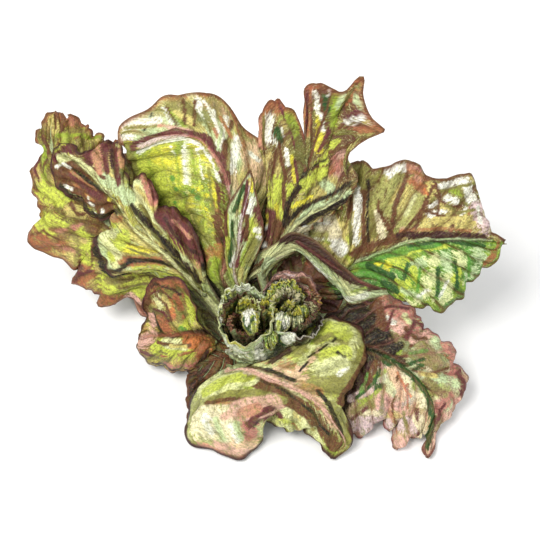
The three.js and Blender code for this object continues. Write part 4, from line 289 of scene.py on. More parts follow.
        ((-80.4, 40.3, 65.2), (-62, 37.8, 67.6), 2.29, "yellow", 0.85), ((-82.5, 37.8, 59), (-59.9, 33.6, 62.2), 2.8, "rust", 0.92),
        ((-79.9, 48.9, 76), (-65.3, 40.1, 70.3), 4, "straw", 0.85), ((-88.3, 44.8, 67), (-66, 36.1, 64.1), 0.92, "moss", 0.9),
        ((-99.3, 60, 69.5), (-83.3, 53, 77.8), 2.11, "rust", 0.85), ((-95.3, 51.2, 65.4), (-97.5, 46.9, 60.6), 1.48, "dark", 0.98),
        ((-97.5, 46.9, 60.6), (-96.6, 42.9, 55.7), 1.48, "dark", 0.98), ((-96.6, 42.9, 55.7), (-91.4, 36.9, 49.1), 1.48, "dark", 0.98),
        ((-91.4, 36.9, 49.1), (-84.3, 35.7, 53.1), 1.48, "dark", 0.98), ((-84.3, 35.7, 53.1), (-77.9, 36.5, 59.6), 1.48, "dark", 0.98),
        ((-77.9, 36.5, 59.6), (-65.3, 34.6, 61.8), 1.48, "dark", 0.98), ((-65.3, 34.6, 61.8), (-46.4, 29.2, 61.2), 1.48, "dark", 0.98),
        ((-46.4, 29.2, 61.2), (-35.3, 21.7, 46.6), 1.48, "dark", 0.98), ((-118, 88.9, 90.7), (-100.4, 77.4, 91.8), 4.4, "pale", 0.97),
        ((-100.4, 77.4, 91.8), (-87.8, 66.5, 92.5), 4.4, "pale", 0.97), ((-92.6, 71.8, 92.9), (-76.5, 55.9, 91.5), 4, "mint", 0.95),
        ((-105.7, 84, 96.2), (-92.6, 71.8, 92.9), 0.99, "brown", 0.85), ((-40.2, 41.1, 83.5), (-35.7, 31.6, 73), 1.06, "dark", 0.95),
        ((-35.7, 31.6, 73), (-34.2, 26.3, 63.7), 1.06, "dark", 0.95), ((-44, 29.7, 65.6), (-36.5, 23.7, 55.8), 1.48, "dark", 0.95),
        ((-89.1, 64.6, 87.3), (-66.1, 42.2, 75.5), 1.06, "pale", 0.97), ((-66.1, 42.2, 75.5), (-38.4, 23.8, 52.9), 1.06, "pale", 0.97),
        ((-75.5, 53.1, 89.2), (-59.2, 39.4, 77.8), 1.85, "dark", 0.97), ((-59.2, 39.4, 77.8), (-43.3, 28.9, 64), 1.85, "dark", 0.97),
        ((-98.9, 86.7, 103.4), (-98.2, 82.2, 99.4), 3, "wine", 0.95), ((-88.5, 84.9, 105.4), (-86.6, 76, 101.2), 2.29, "wine", 0.95),
        ((-96.4, 84.8, 102.5), (-94.6, 76.7, 96.2), 3, "rose", 0.8), ((-49.4, 44.1, 86.2), (-37.9, 34.6, 77.2), 4.4, "wine", 0.95),
        ((-37.9, 34.6, 77.2), (-36.3, 30.4, 71.4), 4.4, "wine", 0.95), ((-47.3, 38.8, 80.3), (-40.7, 36.2, 78.6), 1.94, "rose", 0.8),
        ((-114.5, 80.1, 86.7), (-94.6, 64, 81.4), 8, "brown", 0.9), ((-114.5, 78.4, 85.1), (-102.4, 71.5, 83.7), 3, "rose", 0.5),
        ((-119.8, 80.5, 85.9), (-108.1, 73.8, 81.7), 1.06, "plum", 0.97), ((-108.1, 73.8, 81.7), (-93.7, 61.9, 78.8), 1.06, "plum", 0.97),
        ((-116.3, 82.9, 88.3), (-103.4, 76, 87.7), 0.99, "plum", 0.97), ((-103.4, 76, 87.7), (-88.3, 63.1, 85.3), 0.99, "plum", 0.97),
        ((-112.5, 78.9, 86.2), (-96.2, 66.6, 83.5), 0.92, "rust", 0.8), ((-121.8, 84.7, 87.6), (-119, 86.2, 89.2), 0.99, "white", 0.98),
        ((-119, 86.2, 89.2), (-114.6, 83.2, 88.9), 0.99, "white", 0.98), ((-116.7, 76, 81.9), (-116.7, 76, 81.9), 0.92, "white", 0.95),
        ((-114.1, 75.1, 81.4), (-114.3, 74.8, 81), 0.92, "white", 0.95), ((-102, 68.2, 80), (-102, 68.2, 80), 0.92, "white", 0.95),
        ((-101.3, 66, 77.7), (-100.5, 64.9, 76.9), 0.92, "white", 0.95), ((-98.2, 61.6, 74), (-98.2, 61.6, 74), 0.92, "white", 0.95),
        ((-93.7, 61.2, 77.5), (-93.7, 61, 77.1), 0.92, "white", 0.95), ((-119.9, 75.9, 81.5), (-114.5, 72.5, 77.1), 1.94, "dark", 0.98),
        ((-114.5, 72.5, 77.1), (-106.8, 70, 77.1), 1.94, "dark", 0.98), ((-106.8, 70, 77.1), (-103.8, 65.3, 73.2), 1.94, "dark", 0.98),
        ((-103.8, 65.3, 73.2), (-98.4, 60.6, 71.8), 1.94, "dark", 0.98), ((-98.4, 60.6, 71.8), (-90.5, 59.8, 75.6), 1.94, "dark", 0.98),
        ((-90.5, 59.8, 75.6), (-82.9, 56.4, 80.9), 1.94, "dark", 0.98), ((-89.4, 63, 84.4), (-88.8, 62.6, 84.4), 1.06, "yellow", 0.95),
        ((-86.9, 62.7, 87.5), (-86.3, 61.9, 87.1), 1.06, "yellow", 0.95), ((-103.6, 85.7, 100.9), (-101.5, 81.9, 96.7), 3, "wine", 0.95),
        ((-92.9, 85.2, 104.1), (-90.4, 73.6, 96.8), 2.29, "wine", 0.95), ((-85.5, 82.3, 104.9), (-83.6, 64.8, 95.4), 1.94, "wine", 0.95),
        ((-88.6, 83, 104.3), (-87.1, 73.9, 99.6), 1.33, "plum", 0.9), ((-97.9, 84.3, 101.6), (-95.3, 76.2, 95.1), 3, "rose", 0.85),
        ((-82.5, 80.1, 104.9), (-81.2, 72.6, 101.6), 1.94, "rose", 0.85), ((-68.4, 66.3, 103), (-66.6, 59.5, 98.9), 2.8, "rose", 0.95),
        ((-66.6, 59.5, 98.9), (-62.7, 52.3, 93), 2.8, "rose", 0.95), ((-66.9, 65.6, 102.7), (-62.7, 53.5, 93.8), 1.06, "wine", 0.95),
        ((-54.8, 46.6, 88.9), (-43.9, 38.8, 80.9), 4.6, "wine", 0.9), ((-43.9, 38.8, 80.9), (-37, 32.4, 74.4), 4.6, "wine", 0.9),
        ((-52.5, 42, 84.2), (-43.3, 36.5, 78.4), 1.48, "rose", 0.8), ((-56.7, 43.8, 86), (-47.4, 36.3, 76.8), 0.99, "plum", 0.95),
        ((-47.4, 36.3, 76.8), (-36.3, 30.4, 71.4), 0.99, "plum", 0.95), ((-50, 49.6, 90.5), (-40.3, 40.5, 83), 0.99, "plum", 0.95),
        ((-40.3, 40.5, 83), (-36.1, 32.9, 74.8), 0.99, "plum", 0.95), ((-80.9, 44.7, 71.8), (-88.8, 40.4, 59.1), 4, "lime", 0.85),
        ((-92.3, 48.2, 66.8), (-85.2, 39.5, 60.4), 3, "pale", 0.9), ((-75.8, 45.4, 74.6), (-65.3, 39.6, 69.5), 2.11, "straw", 0.9),
        ((-52.4, 44.2, 86.5), (-41.5, 36.5, 78.8), 6.5, "wine", 1), ((-51.7, 43.9, 86.2), (-41.5, 37, 79.4), 1.06, "rose", 0.9),
        ((-56.7, 44.7, 87.1), (-47.4, 36.3, 76.8), 0.99, "plum", 0.97), ((-47.4, 36.3, 76.8), (-36.3, 30.4, 71.4), 0.99, "plum", 0.97),
        ((-51.5, 50.1, 91.1), (-40.2, 41.1, 83.5), 0.99, "plum", 0.95), ((-40.2, 41.1, 83.5), (-35.9, 32.3, 73.9), 0.99, "plum", 0.95),
        ((-114.2, 80.4, 87), (-95.4, 64.7, 81.8), 7.5, "brown", 1), ((-111.8, 79.7, 87.2), (-96.2, 66.6, 83.5), 3, "wine", 0.9),
        ((-112.8, 76.6, 83.7), (-99.4, 66.1, 79.8), 0.92, "rust", 0.9), ((-117.9, 85.8, 89.4), (-104.3, 76.5, 87.6), 0.99, "dark", 0.97),
        ((-104.3, 76.5, 87.6), (-88.3, 63.1, 85.3), 0.99, "dark", 0.97), ((-121.8, 84.7, 87.6), (-119, 86.2, 89.2), 0.99, "white", 0.98),
        ((-119, 86.2, 89.2), (-114.6, 83.2, 88.9), 0.99, "white", 0.98), ((-116.7, 76, 81.9), (-116.7, 76, 81.9), 0.99, "white", 0.95),
        ((-114.1, 75.1, 81.4), (-114.3, 74.8, 81), 0.99, "white", 0.95), ((-102, 68.2, 80), (-102, 68.2, 80), 0.99, "white", 0.95),
        ((-101.3, 66, 77.7), (-100.5, 64.9, 76.9), 0.99, "white", 0.95), ((-98.2, 61.6, 74), (-98.2, 61.6, 74), 0.99, "white", 0.95),
        ((-93.7, 61.2, 77.5), (-93.7, 61, 77.1), 0.99, "white", 0.95), ((-120.4, 75.4, 80.8), (-114.5, 72.5, 77.1), 1.94, "dark", 0.98),
        ((-114.5, 72.5, 77.1), (-106.9, 69.8, 76.6), 1.94, "dark", 0.98), ((-106.9, 69.8, 76.6), (-103.8, 65.3, 73.2), 1.94, "dark", 0.98),
        ((-103.8, 65.3, 73.2), (-98.4, 60.6, 71.8), 1.94, "dark", 0.98), ((-98.4, 60.6, 71.8), (-90.5, 59.8, 75.6), 1.94, "dark", 0.98),
        ((-90.5, 59.8, 75.6), (-82.9, 56.4, 80.9), 1.94, "dark", 0.98), ((-89.4, 63, 84.4), (-88.8, 62.6, 84.4), 1.06, "yellow", 0.95),
        ((-86.9, 62.7, 87.5), (-86.3, 61.9, 87.1), 1.06, "yellow", 0.95), ((-114.3, 81.9, 88.1), (-98.2, 69.7, 85.1), 1.06, "rust", 0.9),
    ]),
    "back_left_leaf": dict(seed=5, grid=(140, 97), tooth=(0.02, 9, 7), veins=9, slant=0.22, rib_w=1.8, rib_h=2.4, wave=1.6, pucker=1.7, blister=0.5, ruffle=(1.2, 6, 3.2), base=("straw", "mint", "peach"), base_left=("lime", "leaf", "yellow"), edge=("rust", 5.4, 0.97), edge_left=("wine", 2, 0.5), rib="rose", rib_amount=0.8, rib_line="wine", fleck_colour="pale", hatch=0.42, shade_to=0.38, valley_colour="olive", hatch_dark="olive", dark_colour="olive", valley=0.25, vein_colour="olive", stalk_painted_shade=0.2, hatch_left="olive", face=-1, strokes=[
        ((-51, 81.8, 140.9), (-37.9, 79.2, 136.1), 5, "olive", 0.9), ((-48.6, 79, 137.5), (-41.7, 77.2, 134.2), 3, "straw", 0.85),
        ((-53.7, 81.2, 139), (-44.4, 75.7, 132.5), 1.48, "leaf", 0.9), ((-65.8, 78.3, 130.2), (-53.2, 75.5, 131.7), 6, "mint", 0.8),
        ((-28.5, 77.6, 131.9), (-20.1, 71, 122.6), 5, "mint", 0.8), ((-8.5, 71.4, 115.8), (-1, 64.8, 101.8), 5, "peach", 0.75),
        # the white strokes on this leaf are painted highlights
        ((-32.2, 84.2, 140.9), (-17, 81.2, 131.6), 4, "brown", 0.55), ((-80.4, 83.9, 125.8), (-72.7, 82.2, 130.8), 3.57, "white", 0.86),
        ((-69.9, 80.3, 130.2), (-58.9, 78.6, 133.4), 2.24, "white", 0.86), ((-82.3, 79.9, 118.2), (-75.1, 78, 121.5), 1.94, "white", 0.86),
        ((-62.7, 81.3, 136), (-62.8, 81, 135.6), 0.99, "dark", 0.95), ((-76, 84.1, 131.2), (-76, 84.1, 131.2), 0.99, "dark", 0.95),
        ((-67.4, 77.7, 128.1), (-67.4, 77.4, 127.7), 0.99, "dark", 0.95), ((-56.8, 82.9, 139.8), (-51.7, 76.4, 133.4), 1.01, "white", 0.86),
        ((-54.6, 82.4, 140.2), (-48.7, 75.8, 132.9), 0.86, "brown", 0.9), ((-36.2, 84.4, 142.5), (-29.8, 79.6, 134.6), 3.57, "white", 0.86),
        ((-28, 82.3, 137.1), (-25.9, 74.4, 127.8), 1.26, "white", 0.86), ((-21.1, 80.6, 132.7), (-24.9, 69.6, 122.6), 2.24, "white", 0.86),
        ((-14.4, 73.9, 122.8), (-17.9, 61.1, 110.4), 2.72, "white", 0.86), ((-33.9, 82, 138.7), (-29.5, 74.6, 128.8), 0.99, "olive", 0.9),
        ((-17.5, 80.1, 130.7), (-20.6, 69.9, 121.7), 0.92, "brown", 0.9), ((-7.7, 71.1, 114.8), (-2.6, 69.9, 109.6), 1.26, "white", 0.86),
        ((-21, 71.1, 123), (-23.1, 58.8, 111.4), 2.11, "brown", 0.95), ((-38.2, 84.6, 143.3), (-38.9, 76.3, 132.7), 1.06, "brown", 0.95),
        ((-53.2, 75.5, 131.7), (-40.8, 73.6, 129.5), 1.48, "pink", 0.85), ((-30.6, 71.1, 125.2), (-20.5, 58.8, 109.7), 2.29, "brown", 0.92),
        ((-21.4, 58.2, 109.7), (-19.3, 52.7, 100.7), 0.95, "white", 0.86), ((-30.6, 68.1, 122), (-22.4, 57.7, 109.7), 1.06, "peach", 0.9),
        ((-75.7, 74.5, 115.7), (-64.8, 73.6, 123.8), 2.02, "wine", 0.93), ((-64.8, 73.6, 123.8), (-49.4, 73.9, 130), 2.02, "wine", 0.93),
        ((-49.4, 73.9, 130), (-32.1, 72, 126.3), 2.02, "wine", 0.93), ((-32.1, 72, 126.3), (-23.6, 64.4, 117.2), 2.02, "wine", 0.93),
        ((-23.6, 64.4, 117.2), (-20.3, 56, 106.1), 2.02, "wine", 0.93), ((-70.1, 72.7, 119.2), (-57.9, 72, 125.8), 1.26, "lilac", 0.9),
        ((-57.9, 72, 125.8), (-43.4, 72.3, 128), 1.26, "lilac", 0.9), ((-71.5, 72.9, 114.5), (-58.9, 71.2, 123.9), 0.95, "white", 0.86),
        ((-58.9, 71.2, 123.9), (-45.8, 71.3, 126.7), 0.95, "white", 0.86), ((-45.8, 71.3, 126.7), (-36.3, 69.5, 124), 0.95, "white", 0.86),
        ((-36.3, 69.5, 124), (-29.6, 63.1, 117.4), 0.95, "white", 0.86), ((-29.6, 63.1, 117.4), (-24.7, 55.2, 107.7), 0.95, "white", 0.86),
        ((-78.9, 75.2, 113.7), (-72.7, 75, 91.6), 4, "olive", 0.9), ((-66.1, 71.4, 104.5), (-60, 65.3, 90.6), 8, "lime", 0.95),
        ((-60, 65.3, 90.6), (-50.2, 56, 80.4), 8, "lime", 0.95), ((-59.1, 69.5, 114.4), (-49, 62.9, 108.5), 7, "yellow", 0.45),
        ((-44.2, 68.4, 122.2), (-43.4, 57.7, 105.2), 1.8, "white", 0.86), ((-52, 69.6, 122), (-48.9, 65.9, 114.9), 0.73, "white", 0.86),
        ((-37.5, 67.3, 121.7), (-33.6, 55.8, 108.9), 0.9, "white", 0.86), ((-40.7, 68.3, 122.6), (-37.5, 56.6, 108.2), 0.79, "leaf", 0.9),
        ((-51.8, 62.4, 103.2), (-51.3, 61.9, 102.8), 1.94, "green", 0.95), ((-49.9, 58.8, 97.2), (-49.9, 58.8, 97.2), 1.94, "green", 0.95),
        ((-44.8, 54.7, 96.2), (-44.8, 54.7, 96.2), 1.94, "green", 0.95), ((-39.9, 53.5, 101), (-39.9, 53.5, 101), 1.94, "green", 0.95),
        ((-50.8, 56.9, 87), (-50.3, 56.5, 86.6), 1.94, "green", 0.95), ((-37, 50.9, 98.8), (-36.7, 50.4, 98.3), 1.94, "green", 0.95),
        ((-32, 56.8, 110.5), (-32, 56.8, 110.5), 1.41, "yellow", 0.95), ((-29.7, 53.5, 106.4), (-29.3, 53, 105.6), 1.41, "yellow", 0.95),
        ((-31.9, 50.3, 101.2), (-31.9, 50.3, 101.2), 1.41, "yellow", 0.95), ((-28.6, 47.4, 97.8), (-28.4, 46.9, 97), 1.41, "yellow", 0.95),
        ((-33.6, 46.9, 94.7), (-32.5, 46.3, 94.6), 1.41, "yellow", 0.95), ((-35.9, 53.3, 103.9), (-34.9, 53.3, 104.6), 1.41, "yellow", 0.95),
        ((-26.8, 44, 92.7), (-26.7, 43.5, 92), 1.41, "yellow", 0.95), ((-27, 39.8, 86.6), (-27, 39.3, 85.9), 1.41, "yellow", 0.95),
        ((-47.3, 55.3, 92.4), (-39.4, 45.9, 79.8), 5, "olive", 0.85), ((-39.3, 46.2, 81.6), (-31.8, 36.5, 78.9), 4, "olive", 0.85),
        ((-44.8, 51.9, 85.9), (-38.6, 44.2, 76.7), 3, "straw", 0.8), ((-27.4, 53.5, 106.3), (-24.6, 35.7, 78.8), 2.64, "brown", 0.8),
        ((-28.7, 53.8, 106.7), (-26.2, 45.2, 94.4), 1.06, "rust", 0.8), ((-29.7, 31.6, 72.9), (-32.8, 31.2, 57.3), 4, "rust", 0.85),
        ((-24.9, 33.1, 74.6), (-21.8, 29.6, 61.2), 3.4, "rust", 0.85), ((-27.5, 28.5, 68), (-29, 25.1, 45.1), 3, "leaf", 0.92),
        # the dark strokes near the base are painted shade between the stalks
        ((-37.4, 41.8, 65), (-22, 37.1, 76.8), 3.2, "dark", 0.9), ((-29.6, 28.5, 66.9), (-29.7, 25.7, 46), 0.99, "moss", 0.9),
        ((-33.5, 33, 62), (-29.3, 25.7, 49.7), 3, "dark", 0.9), ((-29.3, 25.7, 49.7), (-26.3, 22.9, 41.8), 3, "dark", 0.9),
        ((-38, 42.6, 70.7), (-32.2, 32.2, 68.6), 2.29, "brown", 0.9), ((-33.4, 83.8, 140.7), (-25.6, 72.8, 126.1), 0.99, "rust", 0.85),
        ((-17.7, 84.6, 135.5), (-9.9, 72.5, 118.2), 0.99, "rust", 0.85), ((-13.6, 77.7, 126.5), (-7.5, 64.3, 106.1), 0.99, "rust", 0.8),
        ((-69.6, 79, 128.5), (-56.2, 76.4, 131.9), 1.06, "rose", 0.8), ((-44.6, 83.8, 144.4), (-44.1, 76.4, 133.4), 0.99, "brown", 0.8),
        ((-23.8, 80.7, 134), (-17.3, 73.6, 124), 0.99, "rust", 0.85), ((-47.5, 54.5, 88.3), (-41.1, 47.4, 76.6), 3, "lime", 0.8),
        ((-68.7, 72.4, 94.4), (-66, 69.1, 78.1), 4, "lime", 0.8), ((-79.5, 82.4, 124.1), (-69.6, 79, 128.5), 0.92, "olive", 0.9),
        ((-69.6, 79, 128.5), (-60.2, 77, 130.9), 0.92, "olive", 0.9), ((-33.5, 83.3, 140.2), (-27.9, 76.7, 130.8), 0.92, "olive", 0.9),
        ((-23.2, 77.2, 129.9), (-25.5, 67.9, 121.1), 0.92, "mint", 0.9), ((-18.4, 73.2, 124), (-20, 60.9, 111.9), 0.92, "olive", 0.85),
        ((-9.8, 71.1, 116.4), (-3.4, 64.1, 102.7), 1.06, "peach", 0.85), ((-65.6, 71.4, 109.1), (-63.1, 66.9, 83.4), 0.99, "leaf", 0.85),
        ((-63.1, 66.9, 83.4), (-53.9, 60.1, 70.6), 0.99, "leaf", 0.85), ((-57.6, 68.8, 113.8), (-55.5, 61.1, 88.8), 0.99, "lime", 0.9),
        ((-55.5, 61.1, 88.8), (-47.7, 55.2, 69.7), 0.99, "lime", 0.9), ((-49.4, 67.8, 119.1), (-47, 57.1, 98.7), 0.99, "leaf", 0.85),
        ((-47, 57.1, 98.7), (-41.8, 48.3, 77.4), 0.99, "leaf", 0.85), ((-42.5, 67.6, 121.4), (-41, 56, 104.6), 0.92, "pale", 0.9),
        ((-36.6, 64.5, 118.6), (-34.1, 49.3, 98.3), 0.92, "lime", 0.9), ((-34.1, 49.3, 98.3), (-31.9, 39.1, 83.1), 0.92, "lime", 0.9),
        ((-30.4, 59.4, 113.7), (-28.3, 43.8, 92.4), 0.92, "olive", 0.85), ((-28.7, 55.7, 109.3), (-26.4, 46.2, 95.9), 0.92, "yellow", 0.85),
        ((-23.8, 57.7, 110.4), (-22.1, 44.4, 90.8), 0.63, "brown", 0.8), ((-65.1, 69.2, 88.2), (-61.6, 65.2, 76.8), 0.92, "deep", 0.85),
        ((-61.6, 65.2, 76.8), (-53, 59.1, 72.2), 0.92, "deep", 0.85),
    ]),
    "small_upright_leaf": dict(seed=6, grid=(110, 51), tooth=(0.03, 8, 9), veins=7, slant=0.3, rib_w=1.4, wave=0.8, pucker=0.9, blister=0.5, ruffle=(0.8, 6, 2.5), base=("mint", "leaf", "straw"), edge=("wine", 2.4, 0.95), rib="lilac", rib_amount=0.8, rib_line="wine", rib_line_amount=0.9, face=-1, strokes=[
        ((-8.7, 53.4, 114.9), (-13.5, 48.3, 103.6), 2.8, "mint", 0.97), ((-18.9, 46, 99.3), (-19.1, 39.1, 82.7), 3.4, "mint", 0.97),
        ((-10.1, 50.8, 108.8), (-15.8, 43.3, 95.2), 1.26, "deep", 0.95), ((-16.7, 40.7, 89.1), (-18.8, 29.4, 62.8), 1.33, "deep", 0.92),
        ((-11.9, 41.7, 93.6), (-13.3, 36.4, 78.6), 0.92, "white", 0.97), ((-13.3, 36.4, 78.6), (-18.2, 29.5, 63.1), 0.92, "white", 0.97),
        ((-8.6, 46.2, 102.2), (-11.2, 37.3, 81.3), 0.99, "wine", 0.97), ((-11.2, 37.3, 81.3), (-14.6, 29, 62.9), 0.99, "wine", 0.97),
        ((-7.6, 51.4, 111.9), (-10.7, 42.2, 94.8), 1.33, "wine", 0.95), ((-6.5, 51.8, 113.3), (-5.8, 48.6, 106.5), 1.06, "yellow", 0.97),
        ((-5.4, 46.2, 102.3), (-7.8, 42.2, 94.8), 1.48, "white", 0.97), ((-6.8, 40.4, 89.9), (-2.7, 36.6, 81.3), 2.29, "lime", 0.97),
        ((-8.5, 41.5, 93.5), (-9.4, 36.5, 78.3), 1.33, "brown", 0.95), ((-3.2, 38.4, 84.9), (-2, 38.1, 84.6), 1.94, "white", 0.95),
        ((-1.7, 35.9, 80.6), (-1.4, 35.7, 80.5), 1.94, "white", 0.95), ((-3.8, 35, 78), (-6.5, 29, 67.3), 3, "olive", 0.9),
        ((-21.2, 43.1, 92.7), (-20.8, 35.5, 74.4), 2.29, "lime", 0.9), ((-21.3, 42.9, 92.2), (-21.4, 42.8, 91.6), 1.26, "yellow", 0.95),
        ((-22.1, 40.4, 85.5), (-22.2, 40.2, 85), 1.26, "yellow", 0.95), ((-2.7, 43.5, 96.8), (0.5, 39.5, 88.8), 2.29, "wine", 0.85),
        ((-20.3, 44.5, 96.1), (-20.8, 38.1, 80.1), 0.86, "brown", 0.9),
    ]),
    "top_lobed_leaf": dict(seed=8, grid=(190, 81), tooth=(0.04, 23, 11), veins=8, slant=0.5, rib_w=2, rib_h=2.6, wave=1.2, pucker=1.3, blister=0.6, ruffle=(1.2, 12, 2.8), base=("olive", "brown", "straw"), edge=("rust", 4.2, 0.95), rib="pale", rib_line="dark", rib_line_amount=0.95, fleck_colour="leaf", fleck=0.6, vein=0.6, vein_colour="wine", valley=0.55, valley_colour="brown", light_colour="pale", face=-1, strokes=[
        ((-1, 72.4, 140), (0.1, 66.1, 128.1), 3, "rose", 0.8), ((3.7, 76.5, 147.1), (13.7, 75.7, 148.4), 4, "rust", 0.9),
        ((4.5, 73.6, 141.7), (3.3, 67.1, 129.3), 2.09, "white", 0.85), ((4.9, 67.2, 129.4), (10.8, 65.9, 127.7), 1.26, "white", 0.85),
        ((11.4, 70.2, 136.6), (12.8, 67.3, 131.2), 0.73, "white", 0.85), ((9.1, 69.6, 134.6), (10.6, 66.8, 129.5), 2.11, "deep", 0.92),
        ((1, 73.6, 141.7), (1, 65.5, 126.9), 0.92, "olive", 0.9), ((1, 65.5, 126.9), (5.8, 64.4, 124), 0.92, "olive", 0.9),
        ((10, 76.6, 148.9), (16.3, 69.7, 137.7), 0.99, "wine", 0.98), ((16.3, 69.7, 137.7), (22.1, 59.1, 119.5), 0.99, "wine", 0.98),
        ((13.9, 74.9, 146.7), (22.9, 63, 128.5), 0.79, "rust", 0.95), ((15.9, 73, 144), (21.8, 65, 131.7), 3, "leaf", 0.92),
        ((14.1, 64.4, 125.9), (15.6, 59.8, 117.3), 1.26, "white", 0.85), ((17.4, 61.6, 121.9), (19.6, 54.9, 109.4), 1.3, "yellow", 0.85),
        ((10.1, 65.8, 127.4), (13.8, 55.7, 108.3), 0.99, "brown", 0.95), ((8.8, 55, 106), (8.1, 45.8, 89.6), 4.6, "lime", 0.97),
        ((8.2, 48.5, 94.3), (9.1, 44.4, 86.8), 1.3, "yellow", 0.85), ((12.6, 55.5, 107.6), (12.9, 47.4, 91.6), 1.06, "brown", 0.95),
        ((16.6, 53.8, 105.6), (16.9, 48.6, 95.3), 1.94, "lime", 0.95), ((21.8, 65, 131.7), (23.1, 55.1, 111.8), 3, "moss", 0.92),
        ((19, 60.2, 120), (21.7, 52.8, 106.3), 0.99, "wine", 0.9), ((30.3, 77.5, 156.9), (32.2, 72.1, 147), 1.48, "white", 0.93),
        ((32.8, 70, 143.4), (32.5, 61.5, 127.2), 1.97, "yellow", 0.85), ((34, 71.2, 146.2), (34.8, 66.4, 137.6), 1.06, "white", 0.95),
        ((27.6, 77.9, 157.7), (28.2, 64.8, 132.2), 0.92, "brown", 0.95), ((25.6, 78.6, 159.5), (24.3, 66.3, 137.2), 3, "rust", 0.85),
        ((35.3, 75.4, 154.2), (36.9, 72, 148.4), 1.94, "deep", 0.92), ((38.4, 78.1, 159.8), (38.6, 75.2, 154.5), 1.33, "white", 0.92),
        ((40.2, 77.7, 159.1), (34.6, 69.1, 142.6), 0.92, "brown", 0.97), ((34.6, 69.1, 142.6), (25.1, 56.4, 116), 0.92, "brown", 0.97),
        ((50.2, 77.4, 151.2), (39.9, 70, 143.4), 0.92, "wine", 0.9), ((39.9, 70, 143.4), (33, 61.2, 127.1), 0.92, "wine", 0.9),
        ((43.2, 75.7, 155.1), (40.2, 69.6, 141.3), 3, "leaf", 0.93), ((48.2, 70, 141.8), (35.8, 63.3, 131.4), 0.99, "brown", 0.93),
        ((51.4, 78.1, 152.6), (56.5, 81, 158), 1.94, "olive", 0.93), ((53.8, 79.6, 155.3), (48.1, 75.8, 148.5), 1.06, "rust", 0.93),
        ((47.4, 77.5, 157.9), (43.2, 73.8, 150.7), 1.48, "mint", 0.92), ((48.2, 70, 141.8), (61.6, 69.4, 146), 1.41, "white", 0.97),
        ((47.3, 71.2, 143.1), (58.4, 71.3, 147.7), 0.92, "wine", 0.97), ((47.8, 68.2, 138.6), (64.2, 67.1, 142.9), 0.92, "brown", 0.95),
        ((64.2, 67.1, 142.9), (69.8, 64.9, 140.9), 0.92, "brown", 0.95), ((53.5, 76.8, 152.6), (57.2, 73.3, 150), 1.94, "mint", 0.93),
        ((54.2, 66.8, 138.2), (68.2, 65.1, 140.6), 2.29, "rust", 0.92), ((51.1, 75.5, 150.1), (57.1, 71.1, 146.8), 0.86, "brown", 0.9),
        ((43, 64.5, 130.4), (33.7, 57.7, 120.7), 2.29, "lime", 0.97), ((48.4, 65.3, 133), (28.8, 56.7, 116.2), 0.99, "brown", 0.97),
        ((45.2, 61.8, 125), (41.5, 54.3, 112.3), 3, "pink", 0.9), ((39.7, 61.9, 125.4), (48.5, 63.2, 128.8), 0.99, "brown", 0.9),
        ((45.4, 59, 119.9), (38.9, 55.9, 114.8), 2.29, "rust", 0.85), ((35.2, 58.6, 122.5), (25.1, 55.9, 114.9), 0.92, "dark", 0.95),
        ((25.1, 55.9, 114.9), (21.7, 53.5, 107.7), 0.92, "dark", 0.95), ((34.6, 55.2, 116.1), (21.7, 52.1, 104.9), 3, "lime", 0.93),
        ((36.9, 54, 113), (25, 50.2, 102.4), 0.92, "moss", 0.95), ((41, 52.9, 110.1), (35.3, 49.6, 104.9), 3.6, "straw", 0.85),
        ((39.8, 50.6, 106.5), (36.6, 51.4, 109), 3, "mint", 0.9), ((18.1, 47.8, 94.3), (28.8, 49.5, 101.5), 1.06, "yellow", 0.85),
        ((21.7, 52.8, 106.3), (15.7, 49.3, 96.3), 1.94, "dark", 0.92), ((15.7, 49.3, 96.3), (13, 43.1, 83.2), 1.94, "dark", 0.92),
        ((4.2, 46.7, 89.9), (1.7, 37.6, 74.9), 4, "wine", 0.93), ((0.6, 39.6, 74.5), (-2.8, 34, 65), 4, "brown", 0.92),
        ((2.6, 43.1, 83.3), (2.5, 42.9, 82.8), 1.48, "white", 0.95), ((1.1, 41, 76.8), (0.7, 40.8, 76.3), 1.48, "white", 0.95),
        ((1.9, 36.4, 73.2), (2.2, 35.7, 72.2), 1.48, "white", 0.95), ((3.4, 46.1, 88.3), (3.6, 45.2, 87.2), 0.9, "yellow", 0.85),
        ((2.7, 43.6, 84.2), (2.9, 43.2, 83.9), 0.9, "yellow", 0.85), ((8.3, 43.6, 85.6), (10.5, 38.6, 76), 3, "brown", 0.9),
        # the dark strokes along the stalk, here and further down, are painted shadow under the pale stalk
        ((14.4, 43.9, 84.9), (22.6, 46.6, 93.8), 1.48, "dark", 0.95), ((22.6, 46.6, 93.8), (35.4, 48, 101.4), 1.48, "dark", 0.95),
        ((35.4, 48, 101.4), (50.2, 52.4, 109), 1.48, "dark", 0.95), ((1.7, 29.8, 62.4), (12.9, 39.6, 76.8), 1.48, "pale", 0.97),
        ((12.9, 39.6, 76.8), (21.7, 43.7, 87.5), 1.48, "pale", 0.97), ((21.7, 43.7, 87.5), (33.1, 46.3, 96.3), 1.48, "lilac", 0.9),
        ((33.1, 46.3, 96.3), (48.5, 50.4, 103.7), 1.48, "lilac", 0.9), ((2.6, 31.5, 55.5), (16.1, 38.7, 70.4), 0.92, "dark", 0.93),
        ((16.1, 38.7, 70.4), (23.9, 43.5, 82.5), 0.92, "dark", 0.93), ((23.9, 43.5, 82.5), (34.8, 46, 93.3), 0.92, "dark", 0.93),
        ((34.8, 46, 93.3), (50, 50.5, 99.5), 0.92, "dark", 0.93), ((-13.3, 28.4, 47.5), (-10.6, 26.6, 46.5), 2.11, "dark", 0.93),
        ((-10.6, 26.6, 46.5), (-3.1, 29.2, 52.5), 2.11, "dark", 0.93), ((-13.3, 31.8, 54.6), (-5.3, 33.3, 61.8), 1.94, "plum", 0.9),
